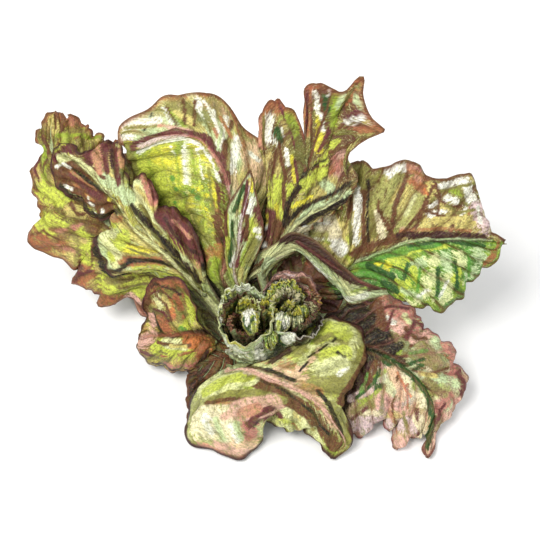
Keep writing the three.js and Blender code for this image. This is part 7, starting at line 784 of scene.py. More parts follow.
        ((-19, -12.5, 60.8), (-16.6, -15.2, 55.3), 0.99, "rose", 0.93), ((-16.6, -6.2, 59.4), (-15.8, -3.3, 49.2), 0.92, "straw", 0.9),
    ]),
    "heart_left_inner_leaf": dict(base=("moss", "leaf", "deep"), edge=("lime", 1.4, 0.8), seed=44, shade_to=0.36, paint_keep=0.75, face=1, strokes=[
        ((-9.5, -3.8, 61.2), (-7, -1.3, 45.3), 1.48, "white", 0.95), ((-3.7, -11.6, 65.5), (-3.9, -11.4, 50.4), 1.06, "yellow", 0.97),
        ((-8.5, -4.2, 63), (-9.7, -3.8, 60.9), 0.86, "dark", 0.9), ((-6.8, -12.8, 50.7), (-3.9, -11.4, 50.4), 0.99, "deep", 0.95),
    ]),
    "heart_left_bud": dict(base=("lime", "pale", "yellow"), edge=("yellow", 1, 0.7), seed=45, shade_to=0.36, paint_keep=0.75, face=1),
    "heart_right_outer_leaf": dict(base=("mint", "white", "pale"), edge=("white", 1.4, 0.7), seed=46, frill=(1, 6, 2), rim=0.3, shade_to=0.25, paint_keep=0.8, face=1, strokes=[
        ((13.1, -16.3, 49.3), (17.4, -17.9, 57.3), 3.8, "white", 0.97), ((6.2, -13.5, 49.6), (9.2, -15, 46.6), 3, "lime", 0.97),
        ((6.9, -14.1, 47.2), (13.3, -16.1, 45.5), 0.92, "deep", 0.9), ((10.3, -15.1, 56.8), (9.7, -15.2, 46.4), 0.92, "deep", 0.9),
        # the plum and dark strokes on its right side are painted shade between the heart and the front leaf
        ((9.7, -14.9, 56.7), (14.9, -17.1, 57.4), 1.48, "mint", 0.95), ((24, -18.4, 55.3), (35.4, -0.4, 49.5), 5, "plum", 0.98),
        ((23.1, -14.5, 44.3), (28.5, -16.1, 53.6), 6, "plum", 0.98), ((28.5, -16.1, 53.6), (34.9, -4.9, 51.2), 6, "plum", 0.98),
        ((23.9, -14.3, 44.8), (32.7, -10.8, 52.5), 4, "dark", 0.9),
    ]),
    "heart_right_back_leaf": dict(base=("pink", "lilac", "rose"), edge=("pink", 3, 0.8), seed=47, fleck_colour="pink", light_colour="cream", hatch_dark="wine", rim_colour="plum", rim=0.8, frill=(0.5, 7, 2), shade_to=0.22, hatch=0.4, paint_keep=0.95, face=1, strokes=[
        ((4.4, 10.6, 70), (9, 15.1, 69.6), 3.6, "pink", 0.97), ((9, 15.1, 69.6), (22.2, 16.3, 69.1), 3.6, "pink", 0.97),
        ((7.6, 13.9, 72.3), (18, 15.6, 71.5), 1.06, "lilac", 0.9), ((5.4, 12.1, 69.4), (21.2, 16.6, 64.9), 0.99, "rose", 0.9),
        ((24.8, 15.7, 66.8), (32, 8.9, 63.7), 3, "brown", 0.93), ((2.5, 8.8, 67.9), (5.1, 11.4, 70.7), 0.99, "plum", 0.95),
    ]),
    "heart_right_side_leaf": dict(base=("brown", "moss", "rust"), edge=("brown", 2, 0.8), seed=48, fleck_colour="rust", light_colour="peach", hatch_dark="dark", rim_colour="plum", rim=0.7, shade_to=0.36, paint_keep=0.75, face=1, strokes=[
        ((27.8, 6.8, 59.5), (31.4, 2.4, 61.8), 1.94, "rust", 0.85), ((26.7, 7.5, 58.9), (28.6, 5.9, 58.1), 2.29, "plum", 0.9),
        ((28.5, 6.3, 59.9), (28.5, 6.3, 59.9), 0.86, "rose", 0.95), ((29.8, 5.1, 60.6), (30.1, 4.8, 60.7), 0.86, "rose", 0.95),
        ((31, 3.5, 61.3), (31.1, 3.1, 61.5), 0.86, "rose", 0.95), ((25.4, 8.4, 57.9), (25.6, 8.2, 58.1), 0.86, "rose", 0.95),
        ((27, 6.5, 53.3), (30.7, -1.4, 60.6), 2.29, "pale", 0.97), ((25.3, 6.6, 47.6), (28.7, 4.8, 55.8), 1.33, "mint", 0.93),
    ]),
    "heart_right_middle_leaf": dict(base=("leaf", "pale", "deep"), edge=("cream", 1.6, 0.9), seed=49, frill=(1.7, 13, 1.6), rim=0.3, rim_colour="moss", shade_to=0.36, paint_keep=0.75, face=1, strokes=[
        ((7.1, 1, 68.8), (20.5, 6.2, 65.1), 1.06, "cream", 0.97), ((18.5, 6.6, 67.5), (20.9, 4.9, 63.3), 1.33, "cream", 0.95),
        ((7.7, 7.6, 56.3), (20.8, 4.2, 61.7), 0.99, "plum", 0.97), ((14.5, 9.1, 49.1), (19.3, 5.3, 51.5), 1.94, "green", 0.97),
        ((7.1, 1, 68.8), (7.1, 1, 68.8), 1.06, "yellow", 0.95), ((6.5, 1.8, 65.4), (6.9, 3, 63.3), 1.06, "yellow", 0.95),
        ((19.6, 6.8, 66.3), (19.9, 6.7, 66), 1.06, "yellow", 0.95),
    ]),
    "heart_right_inner_leaf": dict(base=("green", "deep", "lime"), edge=("lime", 1.2, 0.8), seed=50, frill=(1.4, 11, 1.6), shade_to=0.36, paint_keep=0.75, face=1, strokes=[
        ((20.7, -6.9, 63.5), (20.5, -7.1, 63.6), 1.33, "yellow", 0.95), ((20.3, -7.3, 63.7), (20.1, -7.4, 63.8), 1.33, "yellow", 0.95),
        ((19.1, -7.7, 64.2), (19.8, -7.5, 63.9), 1.33, "yellow", 0.95), ((6.4, 0.5, 49.7), (6.4, 0.3, 49.4), 1.33, "yellow", 0.95),
        ((11.9, -6, 58.8), (15.1, -5, 51.9), 1.94, "mint", 0.95), ((15.9, -7.3, 64.3), (18.7, -6.4, 59.5), 0.92, "deep", 0.95),
    ]),
    "heart_right_bud": dict(base=("lime", "leaf", "yellow"), edge=("yellow", 1, 0.8), seed=51, shade_to=0.36, paint_keep=0.75, face=1),
    "heart_front_cup_leaf": dict(base=("mint", "white", "pale"), edge=("white", 1.6, 0.7), seed=52, rim=0.3, shade_to=0.22, paint_keep=0.8, face=1, strokes=[
        ((-1.6, -20.9, 48.3), (-1.1, -20.6, 40), 3, "white", 0.95), ((1.4, -19.7, 47.6), (0.9, -19.6, 44.2), 0.86, "leaf", 0.93),
        ((-19.5, -14.6, 38.7), (-12.5, -19.4, 36.4), 1.06, "moss", 0.9), ((-12.5, -19.4, 36.4), (-3.4, -21.2, 37), 1.06, "moss", 0.9),
    ]),
    "heart_right_crisp_a": dict(grid=(36, 41), seed=71, base=("pale", "white", "leaf"), edge=("white", 1.6, 0.8), frill=(1.2, 11, 1.6), rim=0.2, rim_colour="moss", shade_to=0.25, face=1),
    "heart_right_crisp_b": dict(grid=(36, 41), seed=72, base=("green", "lime", "deep"), edge=("lime", 1.4, 0.8), frill=(1.2, 11, 1.6), rim=0.2, rim_colour="moss", shade_to=0.25, face=1),
    "heart_right_crisp_c": dict(grid=(36, 41), seed=73, base=("plum", "brown", "deep"), edge=("cream", 1.4, 0.8), frill=(1.2, 11, 1.6), rim=0.2, rim_colour="moss", shade_to=0.25, face=1),
    "heart_right_crisp_d": dict(grid=(36, 41), seed=74, base=("brown", "rose", "plum"), edge=("rust", 1.6, 0.8), frill=(1.2, 7, 1.6), hatch_dark="dark", light_colour="peach", face=1),
    "heart_right_crisp_e": dict(grid=(36, 41), seed=75, base=("moss", "brown", "green"), edge=("pale", 1.4, 0.8), frill=(1.2, 7, 1.6), hatch_dark="dark", face=1),
    "heart_right_crisp_f": dict(grid=(36, 41), seed=76, base=("white", "mint", "pale"), edge=("leaf", 1.4, 0.8), tooth=(0.06, 7, 3), face=-1, strokes=[
        ((12.9, -7.7, 62.4), (11.6, -13.4, 56.6), 0.86, "deep", 0.95), ((9.8, -10.6, 60.7), (9.6, -12.9, 56.5), 1.06, "lime", 0.95),
    ]),
    "heart_right_crisp_g": dict(grid=(36, 41), seed=77, base=("white", "pale", "green"), edge=("deep", 1.2, 0.8), tooth=(0.06, 7, 5), face=-1, strokes=[
        ((19.7, -7.6, 60.5), (20.3, -10.5, 54.8), 0.86, "deep", 0.93),
    ]),
    "heart_right_crisp_h": dict(grid=(36, 41), seed=78, base=("lime", "yellow", "green"), edge=("moss", 1.4, 0.8), tooth=(0.06, 9, 7), face=-1, strokes=[
        ((21.8, -4.8, 60.9), (22.1, -4.8, 60.5), 1.26, "yellow", 0.95), ((24.9, -4.5, 58.5), (25.2, -4.5, 57.9), 1.26, "yellow", 0.95),
        ((21.2, -4.2, 61.9), (21.4, -4.2, 61.9), 1.26, "yellow", 0.95), ((22.9, -3.2, 62.3), (24, -4.8, 58.2), 0.86, "deep", 0.9),
    ]),
    "heart_right_crisp_i": dict(grid=(36, 41), seed=79, base=("lime", "leaf", "green"), edge=("moss", 1.4, 0.8), tooth=(0.06, 7, 9), face=-1, strokes=[
        ((4.4, -17.6, 56.6), (5.6, -20.7, 51.6), 0.86, "moss", 0.93),
    ]),
    "heart_between_crisp_a": dict(grid=(36, 41), seed=80, base=("leaf", "yellow", "deep"), edge=("yellow", 1.2, 0.9), frill=(1.4, 17, 1.5), rim=0.2, fleck=0.8, face=1, strokes=[
        ((1.9, 1.3, 64.9), (2.2, 1.1, 64.9), 1.33, "yellow", 0.95), ((3.2, 0.9, 64.6), (3.8, 1.2, 64.4), 1.33, "yellow", 0.95),
        ((3.3, 2.1, 54.1), (4.3, 2, 53.6), 1.33, "yellow", 0.95),
    ]),
    "heart_between_crisp_b": dict(grid=(36, 41), seed=81, base=("deep", "lime", "plum"), edge=("yellow", 1.2, 0.9), frill=(1.4, 15, 1.5), rim=0.2, fleck=0.8, face=1, strokes=[
        ((3.4, -3.2, 59.1), (3.6, -3, 58.1), 1.33, "yellow", 0.95), ((2.4, -1.2, 49.2), (2.6, -1, 48.2), 1.33, "yellow", 0.95),
        ((5.4, -3.5, 55), (5.6, -4.1, 55.4), 1.33, "yellow", 0.95),
    ]),
    "heart_left_crisp_a": dict(grid=(36, 41), seed=82, base=("lime", "yellow", "leaf"), edge=("pale", 1.4, 0.8), frill=(1.2, 11, 1.6), rim=0.2, rim_colour="moss", shade_to=0.25, face=1),
    "heart_left_crisp_b": dict(grid=(36, 41), seed=83, base=("brown", "moss", "rust"), edge=("rust", 1.4, 0.8), frill=(1.2, 9, 1.6), hatch_dark="dark", light_colour="peach", face=1),
    "heart_left_crisp_c": dict(grid=(36, 41), seed=84, base=("brown", "rust", "rose"), edge=("plum", 1.4, 0.8), frill=(1.2, 9, 1.6), hatch_dark="dark", light_colour="peach", face=1),
    "heart_left_crisp_d": dict(grid=(36, 41), seed=85, base=("mint", "pale", "leaf"), edge=("white", 1.6, 0.8), frill=(1.2, 11, 1.6), rim=0.2, rim_colour="moss", shade_to=0.25, face=1),
    "heart_left_crisp_e": dict(grid=(50, 51), seed=86, base=("white", "mint", "pale"), edge=("lime", 1.6, 0.85), tooth=(0.05, 7, 11), face=-1, rib="mint", rib_amount=0.5, strokes=[
        ((-3.2, -11, 66.9), (-3.6, -17.8, 62.2), 0.99, "yellow", 0.95), ((-9.9, -13.5, 67), (-9.2, -17.3, 63.1), 0.86, "deep", 0.95),
        ((-9.2, -17.3, 63.1), (-6.4, -20, 60.9), 0.86, "deep", 0.95), ((-9, -10.1, 67.3), (-7.9, -16.1, 64.9), 1.48, "white", 0.95),
        ((-5.1, -12.7, 67.3), (-4.5, -18.9, 61.7), 0.92, "lime", 0.9), ((-4.8, -13.3, 66.9), (-8.3, -18.2, 62.7), 0.86, "deep", 0.9),
    ]),
    # base_shade_leaf: brown, plum and dark colours are painted shade
    "base_shade_leaf": dict(grid=(60, 51), seed=91, face=1, tooth=(0.05, 9, 3), base=("brown", "plum", "moss"), edge=("plum", 3, 0.9), frill=(0, 3, 1), rib="brown", rim=0.8, rim_colour="dark", light_colour="rust", fleck_colour="olive", hatch_dark="dark", shade_to=0.5),
}



# ---------------------------------------------------------------- noise ----
def lattice(seed):
    return np.random.RandomState(seed).rand(64, 64)


def value_noise(x, y, seed):
    """smooth noise, 0..1, one cell per unit"""
    g = lattice(seed)
    xi, yi = np.floor(x).astype(int), np.floor(y).astype(int)
    fx, fy = x - xi, y - yi
    fx, fy = fx * fx * fx * (fx * (fx * 6 - 15) + 10), fy * fy * fy * (fy * (fy * 6 - 15) + 10)
    a, b = g[xi % 64, yi % 64], g[(xi + 1) % 64, yi % 64]
    c, d = g[xi % 64, (yi + 1) % 64], g[(xi + 1) % 64, (yi + 1) % 64]
    return (a * (1 - fx) + b * fx) * (1 - fy) + (c * (1 - fx) + d * fx) * fy


def fbm(x, y, seed, octaves=3):
    total, amp, norm = 0.0, 1.0, 0.0
    for k in range(octaves):
        total = total + amp * value_noise(x * 2 ** k + 17.3 * k, y * 2 ** k - 9.1 * k, seed + k)
        norm += amp
        amp *= 0.5
    return total / norm


def smooth(a, b, x):
    t = np.clip((x - a) / (b - a), 0, 1)
    return t * t * (3 - 2 * t)


# --------------------------------------------------------------- curves ----
def hermite(T, pts, t):
    T, pts, t = np.asarray(T, float), np.asarray(pts, float), np.asarray(t, float)
    n = len(T)
    lo, hi = np.maximum(np.arange(n) - 1, 0), np.minimum(np.arange(n) + 1, n - 1)
    m = (pts[hi] - pts[lo]) / (T[hi] - T[lo])[:, None]
    i = np.clip(np.searchsorted(T, t, side="right") - 1, 0, n - 2)
    h = (T[i + 1] - T[i])[:, None]
    s = ((t - T[i]) / (T[i + 1] - T[i]))[:, None]
    return ((2 * s ** 3 - 3 * s ** 2 + 1) * pts[i] + (s ** 3 - 2 * s ** 2 + s) * h * m[i]
            + (-2 * s ** 3 + 3 * s ** 2) * pts[i + 1] + (s ** 3 - s ** 2) * h * m[i + 1])


def chord(pts):
    d = np.linalg.norm(np.diff(np.asarray(pts, float), axis=0), axis=1)
    c = np.concatenate([[0], np.cumsum(d)])
    return c / c[-1]


def blade_surface(leaf, us, vs):
    """points [len(us), len(vs), 3] in mm; v = -1 left edge, 0 midrib, 1 right edge"""
    mid = np.asarray(leaf["mid"], float)
    M = hermite(chord(mid), mid, us)
    left, right = np.asarray(leaf["left"], float), np.asarray(leaf["right"], float)
    A = hermite(left[:, 0], left[:, 1:], us)
    B = hermite(right[:, 0], right[:, 1:], us)
    # the narrow stalk and the tip are flat from edge to edge
    flat = smooth(0.24, 0.04, us) + smooth(0.93, 1, us)
    M = M + flat[:, None] * ((A + B) / 2 - M)
    out = np.zeros((len(us), len(vs), 3))
    env = np.clip(np.sin(np.pi * np.clip(us, 0, 1)), 0, 1) ** 0.9
    tooth = leaf.get("tooth", (0.0, 20, 1))
    straight = [(0, 0, 0, 0), (1, 0, 0, 0)]
    bends = [np.asarray(leaf.get(k, straight), float) for k in ("bend_left", "bend_right")]
    bends = [hermite(w[:, 0], w[:, 1:], us) for w in bends]
    for j, v in enumerate(vs):
        S, b, way = (A, leaf["bulge"][0], bends[0]) if v < 0 else (B, leaf["bulge"][1], bends[1])
        a = abs(v)
        reach = a
        if tooth[0]:
            # small teeth and scallops along the edge
            side = 3.7 if v < 0 else 0.0
            w = tooth[1]
            z = np.abs(np.sin(np.pi * (w * us + side + 0.6 * value_noise(us * w * 0.5, us * 0 + side, tooth[2]))))
            amp = tooth[0] * (0.35 + 0.65 * value_noise(us * w * 0.37, us * 0 + side + 5, tooth[2] + 3))
            reach = a * (1 + amp * (z ** 0.7 - 0.75) * a ** 4 * smooth(0.12, 0.3, us) * smooth(1.0, 0.97, us))[:, None]
        out[:, j] = M + (S - M) * reach + CROWN[None] * (b * env * 4 * a * (1 - a))[:, None] + way * 4 * a * (1 - a)
    return out


def cup_surface(c, us, vs):
    """part of a cup round its own axis, for the curled leaves of the heart"""
    base, top = np.asarray(c["base"], float), np.asarray(c["top"], float)
    ax = top - base
    H = np.linalg.norm(ax)
    a = ax / H
    e1 = np.array([1.0, 0, 0]) - a * a[0]
    e1 /= np.linalg.norm(e1)
    e2 = np.cross(a, e1)
    u, v = np.meshgrid(us, vs, indexing="ij")
    s = np.clip(u / c["mid"], 0, 1)
    s = s * s * (3 - 2 * s)
    t = np.clip((u - c["mid"]) / (1 - c["mid"]), 0, 1)
    w = (c["w0"] + (1 - c["w0"]) * s) * (1 - 0.22 * t * t)
    ph = np.radians(c["phi"] + v * c["dphi"] * w)
    r = (c["r0"] + (c["R"] - c["r0"]) * s + c["flare"] * t * t) * (1 + c["spiral"] * v)
    n, am = c["ruffle"]
    r = r + am * np.sin(n * ph) * u * u
    h = H * (u - c["droop"] * np.abs(v) ** 2.4 * u) + 0.6 * am * np.cos(n * ph + 0.7) * u ** 3
    return base + h[..., None] * a + (r * np.cos(ph))[..., None] * e1 + (r * np.sin(ph))[..., None] * e2


def normals(P):
    du, dv = np.gradient(P, axis=0), np.gradient(P, axis=1)
    n = np.cross(du, dv)
    # the rows run together at the tip: take the direction from the rows before it
    ln = np.linalg.norm(n, axis=2, keepdims=True)
    n = n / np.maximum(ln, 1e-9)
    for i in range(1, n.shape[0]):
        bad = (ln[i, :, 0] < 1e-3)
        n[i, bad] = n[i - 1, bad]
    return n


# --------------------------------------------------------------- colours ---
def srgb(r, g, b):
    c = np.array([r, g, b], float) / 255
    return np.where(c <= 0.04045, c / 12.92, ((c + 0.055) / 1.055) ** 2.4)


# dark and plum also colour painted shade and painted shadow lines, and white also colours painted highlights
PALETTE = {
    "lime": srgb(188, 200, 74),
    "yellow": srgb(218, 208, 58), "sage": srgb(160, 160, 92),
    "leaf": srgb(142, 164, 50),
    "green": srgb(84, 140, 52),
    "deep": srgb(38, 76, 32),
    "olive": srgb(122, 118, 58),
    "moss": srgb(92, 90, 42),
    "brown": srgb(98, 60, 38),
    "rust": srgb(154, 88, 60),
    "wine": srgb(96, 44, 48),
    "rose": srgb(186, 118, 108),
    "pink": srgb(214, 166, 152),
    "cream": srgb(226, 216, 178),
    "mint": srgb(190, 208, 158),
    "white": srgb(240, 240, 226),
    "dark": srgb(22, 14, 12),
    "plum": srgb(58, 28, 30),
    "straw": srgb(204, 190, 112),
    "pale": srgb(216, 220, 160),
    "peach": srgb(226, 188, 154),
    "lilac": srgb(208, 184, 184),
    "orange": srgb(198, 112, 66),
}


def blend_to(col, target, mask):
    return col + (np.asarray(target) - col) * np.clip(mask, 0, 1)[..., None]


def capsule(P, a, b):
    a, b = np.asarray(a, float), np.asarray(b, float)
    d = b - a
    L2 = float(d @ d)
    t = np.clip(((P - a) @ d) / L2, 0, 1) if L2 > 1e-9 else np.zeros(P.shape[:-1])
    return np.linalg.norm(P - (a + t[..., None] * d), axis=-1)


# ------------------------------------------------------------- crevices, for painted shade ----
def pick(P, rows, cols):
    i = np.round(np.linspace(0, P.shape[0] - 1, rows)).astype(int)
    j = np.round(np.linspace(0, P.shape[1] - 1, cols)).astype(int)
    return P[np.ix_(i, j)]


def stretch(a, rows, cols):
    """bilinear enlargement of a small grid"""
    x = np.linspace(0, a.shape[0] - 1, rows)
    y = np.linspace(0, a.shape[1] - 1, cols)
    i, j = np.minimum(x.astype(int), a.shape[0] - 2), np.minimum(y.astype(int), a.shape[1] - 2)
    fx, fy = (x - i)[:, None], (y - j)[None]
    return ((a[np.ix_(i, j)] * (1 - fy) + a[np.ix_(i, j + 1)] * fy) * (1 - fx)
            + (a[np.ix_(i + 1, j)] * (1 - fy) + a[np.ix_(i + 1, j + 1)] * fy) * fx)


def openness(surfaces, faces):
    """how much of the surroundings each side of each leaf sees: 1 open, 0 deep between the leaves"""
    verts, polys = [], []
    for P in surfaces.values():
        c = pick(P, 36, 25)
        o = len(verts)
        verts.extend(map(tuple, c.reshape(-1, 3)))
        for i in range(35):
            for j in range(24):
                a = o + i * 25 + j
                polys.append((a, a + 25, a + 26, a + 1))
    tree = BVHTree.FromPolygons(verts, polys)
    k = np.arange(14) + 0.5
    polar, turn = np.arccos(1 - k / 14 * 0.96), np.pi * (1 + 5 ** 0.5) * k
    local = np.stack([np.cos(turn) * np.sin(polar), np.sin(turn) * np.sin(polar), np.cos(polar)], 1)
    weight = np.cos(polar) + 0.25
    result = {}
    rows, cols = 26, 19
    for name, P in surfaces.items():
        c = pick(P, rows, cols)
        n = pick(normals(P), rows, cols) * faces[name]
        both = []
        for side in (1, -1):
            o = np.zeros((rows, cols))
            for i in range(rows):
                for j in range(cols):
                    z = n[i, j] * side
                    t = np.array([0.0, 0.0, 1.0]) if abs(z[2]) < 0.9 else np.array([1.0, 0.0, 0.0])
                    x = np.cross(t, z)
                    x /= max(np.linalg.norm(x), 1e-9)
                    dirs = local @ np.stack([x, np.cross(z, x), z])
                    start = Vector(c[i, j] + z * 1.4)
                    total = 0.0
                    for d, w in zip(dirs, weight):
                        hit = tree.ray_cast(start, Vector(d), 70.0)
                        if hit[3] is None:
                            total += w * (1.0 if d[2] > -0.1 else 0.6)
                        else:
                            total += w * 0.7 * min(max((hit[3] - 5) / 65, 0), 1)
                    o[i, j] = total / weight.sum()
            o[1:-1, 1:-1] = 0.4 * o[1:-1, 1:-1] + 0.15 * (o[:-2, 1:-1] + o[2:, 1:-1] + o[1:-1, :-2] + o[1:-1, 2:])
            both.append(o)
        result[name] = both
    return result


# ---------------------------------------------------------------- leaves ---
def make_leaf(name, spec, P0, us, vs, look, light):
    """Displaces the surface into a real leaf, gives it thickness and paints it, painted light and shade included."""
    nu, nv = len(us), len(vs)
    seed = look["seed"]
    U, V = np.meshgrid(us, vs, indexing="ij")
    A = np.abs(V)
    j0 = int(np.argmin(np.abs(vs)))
    # lengths along and across the blade in mm
    s = np.concatenate([[0], np.cumsum(np.linalg.norm(np.diff(P0[:, j0], axis=0), axis=1))])
    S = np.repeat(s[:, None], nv, axis=1)
    step = np.linalg.norm(np.diff(P0, axis=1), axis=2)
    T = np.zeros((nu, nv))
    T[:, j0 + 1:] = np.cumsum(step[:, j0:], axis=1)
    T[:, :j0] = -np.cumsum(step[:, :j0][:, ::-1], axis=1)[:, ::-1]
    width = np.where(V < 0, -T[:, :1], T[:, -1:])
    edge = np.maximum(width - np.abs(T), 0)
    edge = np.minimum(edge, (s[-1] - S) + 0.0)
    length = s[-1]

    n = normals(P0) * look["face"]
    grow = smooth(0.06, 0.28, U)              # details start above the stalk
    ribw = look["rib_w"] * (1 - U) ** 0.8 + 0.45
    rib = np.exp(-(T / ribw) ** 2)
    # side veins leave the rib and bend towards the tip
    wob = 0.55 * (fbm(S / 17, T / 17, seed, 2) - 0.5)
    q = look["veins"] * (U - look["slant"] * A ** 0.8) + wob * look.get("vein_wob", 1.0) + (0.37 if look.get("stagger", True) else 0) * (V > 0)
    fq = np.abs(q - np.floor(q) - 0.5) * 2     # 1 on a vein, 0 between
    vein = smooth(0.80, 1.0, fq)
    dome = 1 - fq ** 2
    cells = fbm(S / look["cell"], T / look["cell"], seed + 11, 2)
    soft_edge = smooth(0, 5, edge)

    d = np.zeros((nu, nv))
    d += look["wave"] * (fbm(S / 30, T / 30, seed + 21, 2) - 0.5) * 2 * grow * smooth(0, 1, A * 1.6)
    d += look["pucker"] * dome * (0.35 + 1.1 * cells) * grow * (1 - rib) * soft_edge
    d += look["blister"] * (smooth(0.42, 0.75, fbm(S / 4.2, T / 4.2, seed + 31, 2)) - 0.4) * grow * (1 - rib) * soft_edge
    rf = look["ruffle"]
    side = np.where(V < 0, 1.3, 0.0)
    phase = rf[1] * U + side + 0.9 * (value_noise(U * rf[1] * 0.6, side * 3, seed + 5) - 0.5)
    d += rf[0] * A ** rf[2] * np.sin(2 * np.pi * phase) * grow * (0.55 + 0.9 * value_noise(U * rf[1] * 0.45, side * 7, seed + 6))
    d += rf[0] * 0.35 * A ** (rf[2] + 3) * np.sin(2 * np.pi * (phase * 2.3 + 0.4)) * grow
    if "frill" in look:
        # folds across the free top edge of the small leaves in the heart
        fa, ff, fp = look["frill"]
        turns = ff * V + 1.4 * (value_noise(V * ff * 0.7, U * 0 + seed, seed + 7) - 0.5) + 0.25 * np.sin(9 * U + seed)
        d += fa * U ** fp * np.sin(np.pi * turns) * (0.5 + value_noise(V * ff * 0.5, U * 0 + 2 * seed, seed + 8))
        d += 0.35 * fa * U ** (fp + 3) * np.sin(np.pi * (2.3 * turns + 0.6))
    P = P0 + n * d[..., None]

    n2 = normals(P) * look["face"]
    # a thin blade, a rounded rib below and a low ridge above
    blade = look.get("blade", 0.75)
    th = blade * (1 - 0.35 * smooth(6, 0, edge))
    below = look["rib_h"] * (1 - U) ** 1.3 * np.exp(-(T / (ribw * 1.35)) ** 2) + 0.35 * vein * grow * (1 - rib)
    above = look.get("rib_top", 0.5) * rib * (1 - 0.5 * U) - 0.22 * vein * grow * (1 - rib) * soft_edge
    top = P + n2 * (th / 2 + above)[..., None]
    bottom = P - n2 * (th / 2 + below)[..., None]
    for q3 in (top, bottom):
        q3[..., 2] = np.maximum(q3[..., 2], 0.35)
    top[..., 2] = np.where(top[..., 2] < 0.9, np.maximum(top[..., 2], 0.9), top[..., 2]) if look["face"] > 0 else top[..., 2]

    # ---- colour
    nz = fbm(S / 13, T / 13, seed + 41, 3)
    nz2 = fbm(S / 6, T / 6, seed + 51, 3)

    def mottled(names):
        c = np.zeros((nu, nv, 3)) + PALETTE[names[0]]
        c = blend_to(c, PALETTE[names[1]], smooth(0.42, 0.62, nz))
        return blend_to(c, PALETTE[names[2]], 0.75 * smooth(0.52, 0.70, nz2))

    col = mottled(look["base"])
    if "base_left" in look:
        col = np.where((V < 0)[..., None], mottled(look["base_left"]), col)
    # near the stalk the blade is paler
    col = blend_to(col, PALETTE[look.get("stalk", "mint")], 0.75 * smooth(0.28, 0.02, U))
    # strokes: distance inside the nearest one in mm, with its colour and strength; the skin breaks their outline up
    reach = np.full((nu, nv), -4.0)
    paint, amount = col.copy(), np.zeros((nu, nv))
    for a, b, r, cname, amt in look.get("strokes", ()):
        k = np.clip((r - capsule(P0, a, b)) * min(max(3.0 / r, 0.5), 3.0), -4, 4)
        w = smooth(-0.35, 0.35, k - np.minimum(reach, 0))
        paint = blend_to(paint, PALETTE[cname], w)
        if cname in ("dark", "plum", "deep", "brown", "wine") and (r < 2.8 or amt > 0.84):
            amt = 1.5 * amt
        amount = amount + (amt - amount) * w
        reach = np.maximum(reach, k)
    painted = np.minimum(amount, 1) * smooth(-0.6, 0.6, reach)
    # coloured edge
    for side, (ecol, ewid, eamt) in ((V >= 0, look["edge"]), (V < 0, look.get("edge_left", look["edge"]))):
        ew = ewid * (0.45 + 1.1 * nz)
        em = side * eamt * smooth(ew, ew * 0.25, edge) * smooth(0.1, 0.3, U)
        col, paint = blend_to(col, PALETTE[ecol], em), blend_to(paint, PALETTE[ecol], look.get("edge_over", 0.75) * em)
    # painted light and shade: darker valleys along the veins, lighter crowns
    relief_light_and_shade = look.get("relief_light_and_shade", 0.42) * (dome - 0.6) * grow * (1 - rib)
    col, paint = col * (1 + relief_light_and_shade)[..., None], paint * (1 + 0.5 * relief_light_and_shade)[..., None]
    under = blend_to(col, PALETTE["mint"], look.get("under", 0.30) + 0 * U)
    ribc = PALETTE[look["rib"]]
    x = np.abs(T) / (ribw * look.get("rib_paint", 1.0))
    # painted shadow: a dark line on both sides of the raised rib, then the rib itself
    beside = smooth(0.9, 1.2, x) * smooth(2.3, 1.4, x) * smooth(1.0, 0.92, U) * smooth(0.0, 0.12, U)
    line = look.get("rib_line_amount", 0.7) * beside
    col, paint = blend_to(col, PALETTE[look.get("rib_line", "brown")], line), blend_to(paint, PALETTE[look.get("rib_line", "brown")], 0.8 * line)
    ribmask = smooth(1.2, 0.75, x) * smooth(1.0, 0.9, U)
    col, paint = (blend_to(c, ribc, look.get("rib_amount", 0.85) * ribmask) for c in (col, paint))
    under = blend_to(under, PALETTE["mint"], 0.9 * smooth(1.6, 0.7, np.abs(T) / (ribw * 1.3)))
    painted = np.maximum(painted, ribmask)
    # painted shade: near the stalk, deep between the leaves, the colour is darkened
    stalk_shade = look.get("stalk_painted_shade", 0.35) * smooth(0.36, 0.14, U) * (1 - ribmask) * (1 - 0.6 * painted)
    col, under = col * (1 - stalk_shade)[..., None], under * (1 - stalk_shade)[..., None]
    # painted shade: where a side of the leaf sees little of its surroundings, deep between the leaves, its colour is
    # darkened towards dark; painted marks keep part of their colour
    paint_under = paint.copy()
    for c, o, keep in ((col, light[0], 0.20), (under, light[1], 0.20), (paint, light[0], look.get("paint_keep", 0.55)), (paint_under, light[1], look.get("paint_keep", 0.55))):
        shade = smooth(0.02, look.get("shade_to", 0.62), stretch(o, nu, nv) + 0.10 * (nz2 - 0.5))[..., None]
        c[:] = c * (keep + (1 - keep) * shade) + PALETTE["dark"] * (1 - shade) * 0.4

    # ---- mesh: top grid, bottom grid, walls
    N = nu * nv
    ii, jj = np.meshgrid(np.arange(nu - 1), np.arange(nv - 1), indexing="ij")
    a = (ii * nv + jj).ravel()
    quad_top = np.stack([a, a + nv, a + nv + 1, a + 1], 1)
    quad_bot = quad_top[:, ::-1] + N
    walls = []
    i = np.arange(nu - 1)
    walls.append(np.stack([i * nv, i * nv + N, (i + 1) * nv + N, (i + 1) * nv], 1))
    e = i * nv + nv - 1
    walls.append(np.stack([e, e + nv, e + nv + N, e + N], 1))
    j = np.arange(nv - 1)
    walls.append(np.stack([j + 1, j + 1 + N, j + N, j], 1))
    e = (nu - 1) * nv + j
    walls.append(np.stack([e, e + N, e + 1 + N, e + 1], 1))
    quads = np.concatenate([quad_top, quad_bot] + walls)
    if look["face"] < 0:
        quads = quads[:, ::-1]
    verts = np.concatenate([top.reshape(-1, 3), bottom.reshape(-1, 3)]) * MM

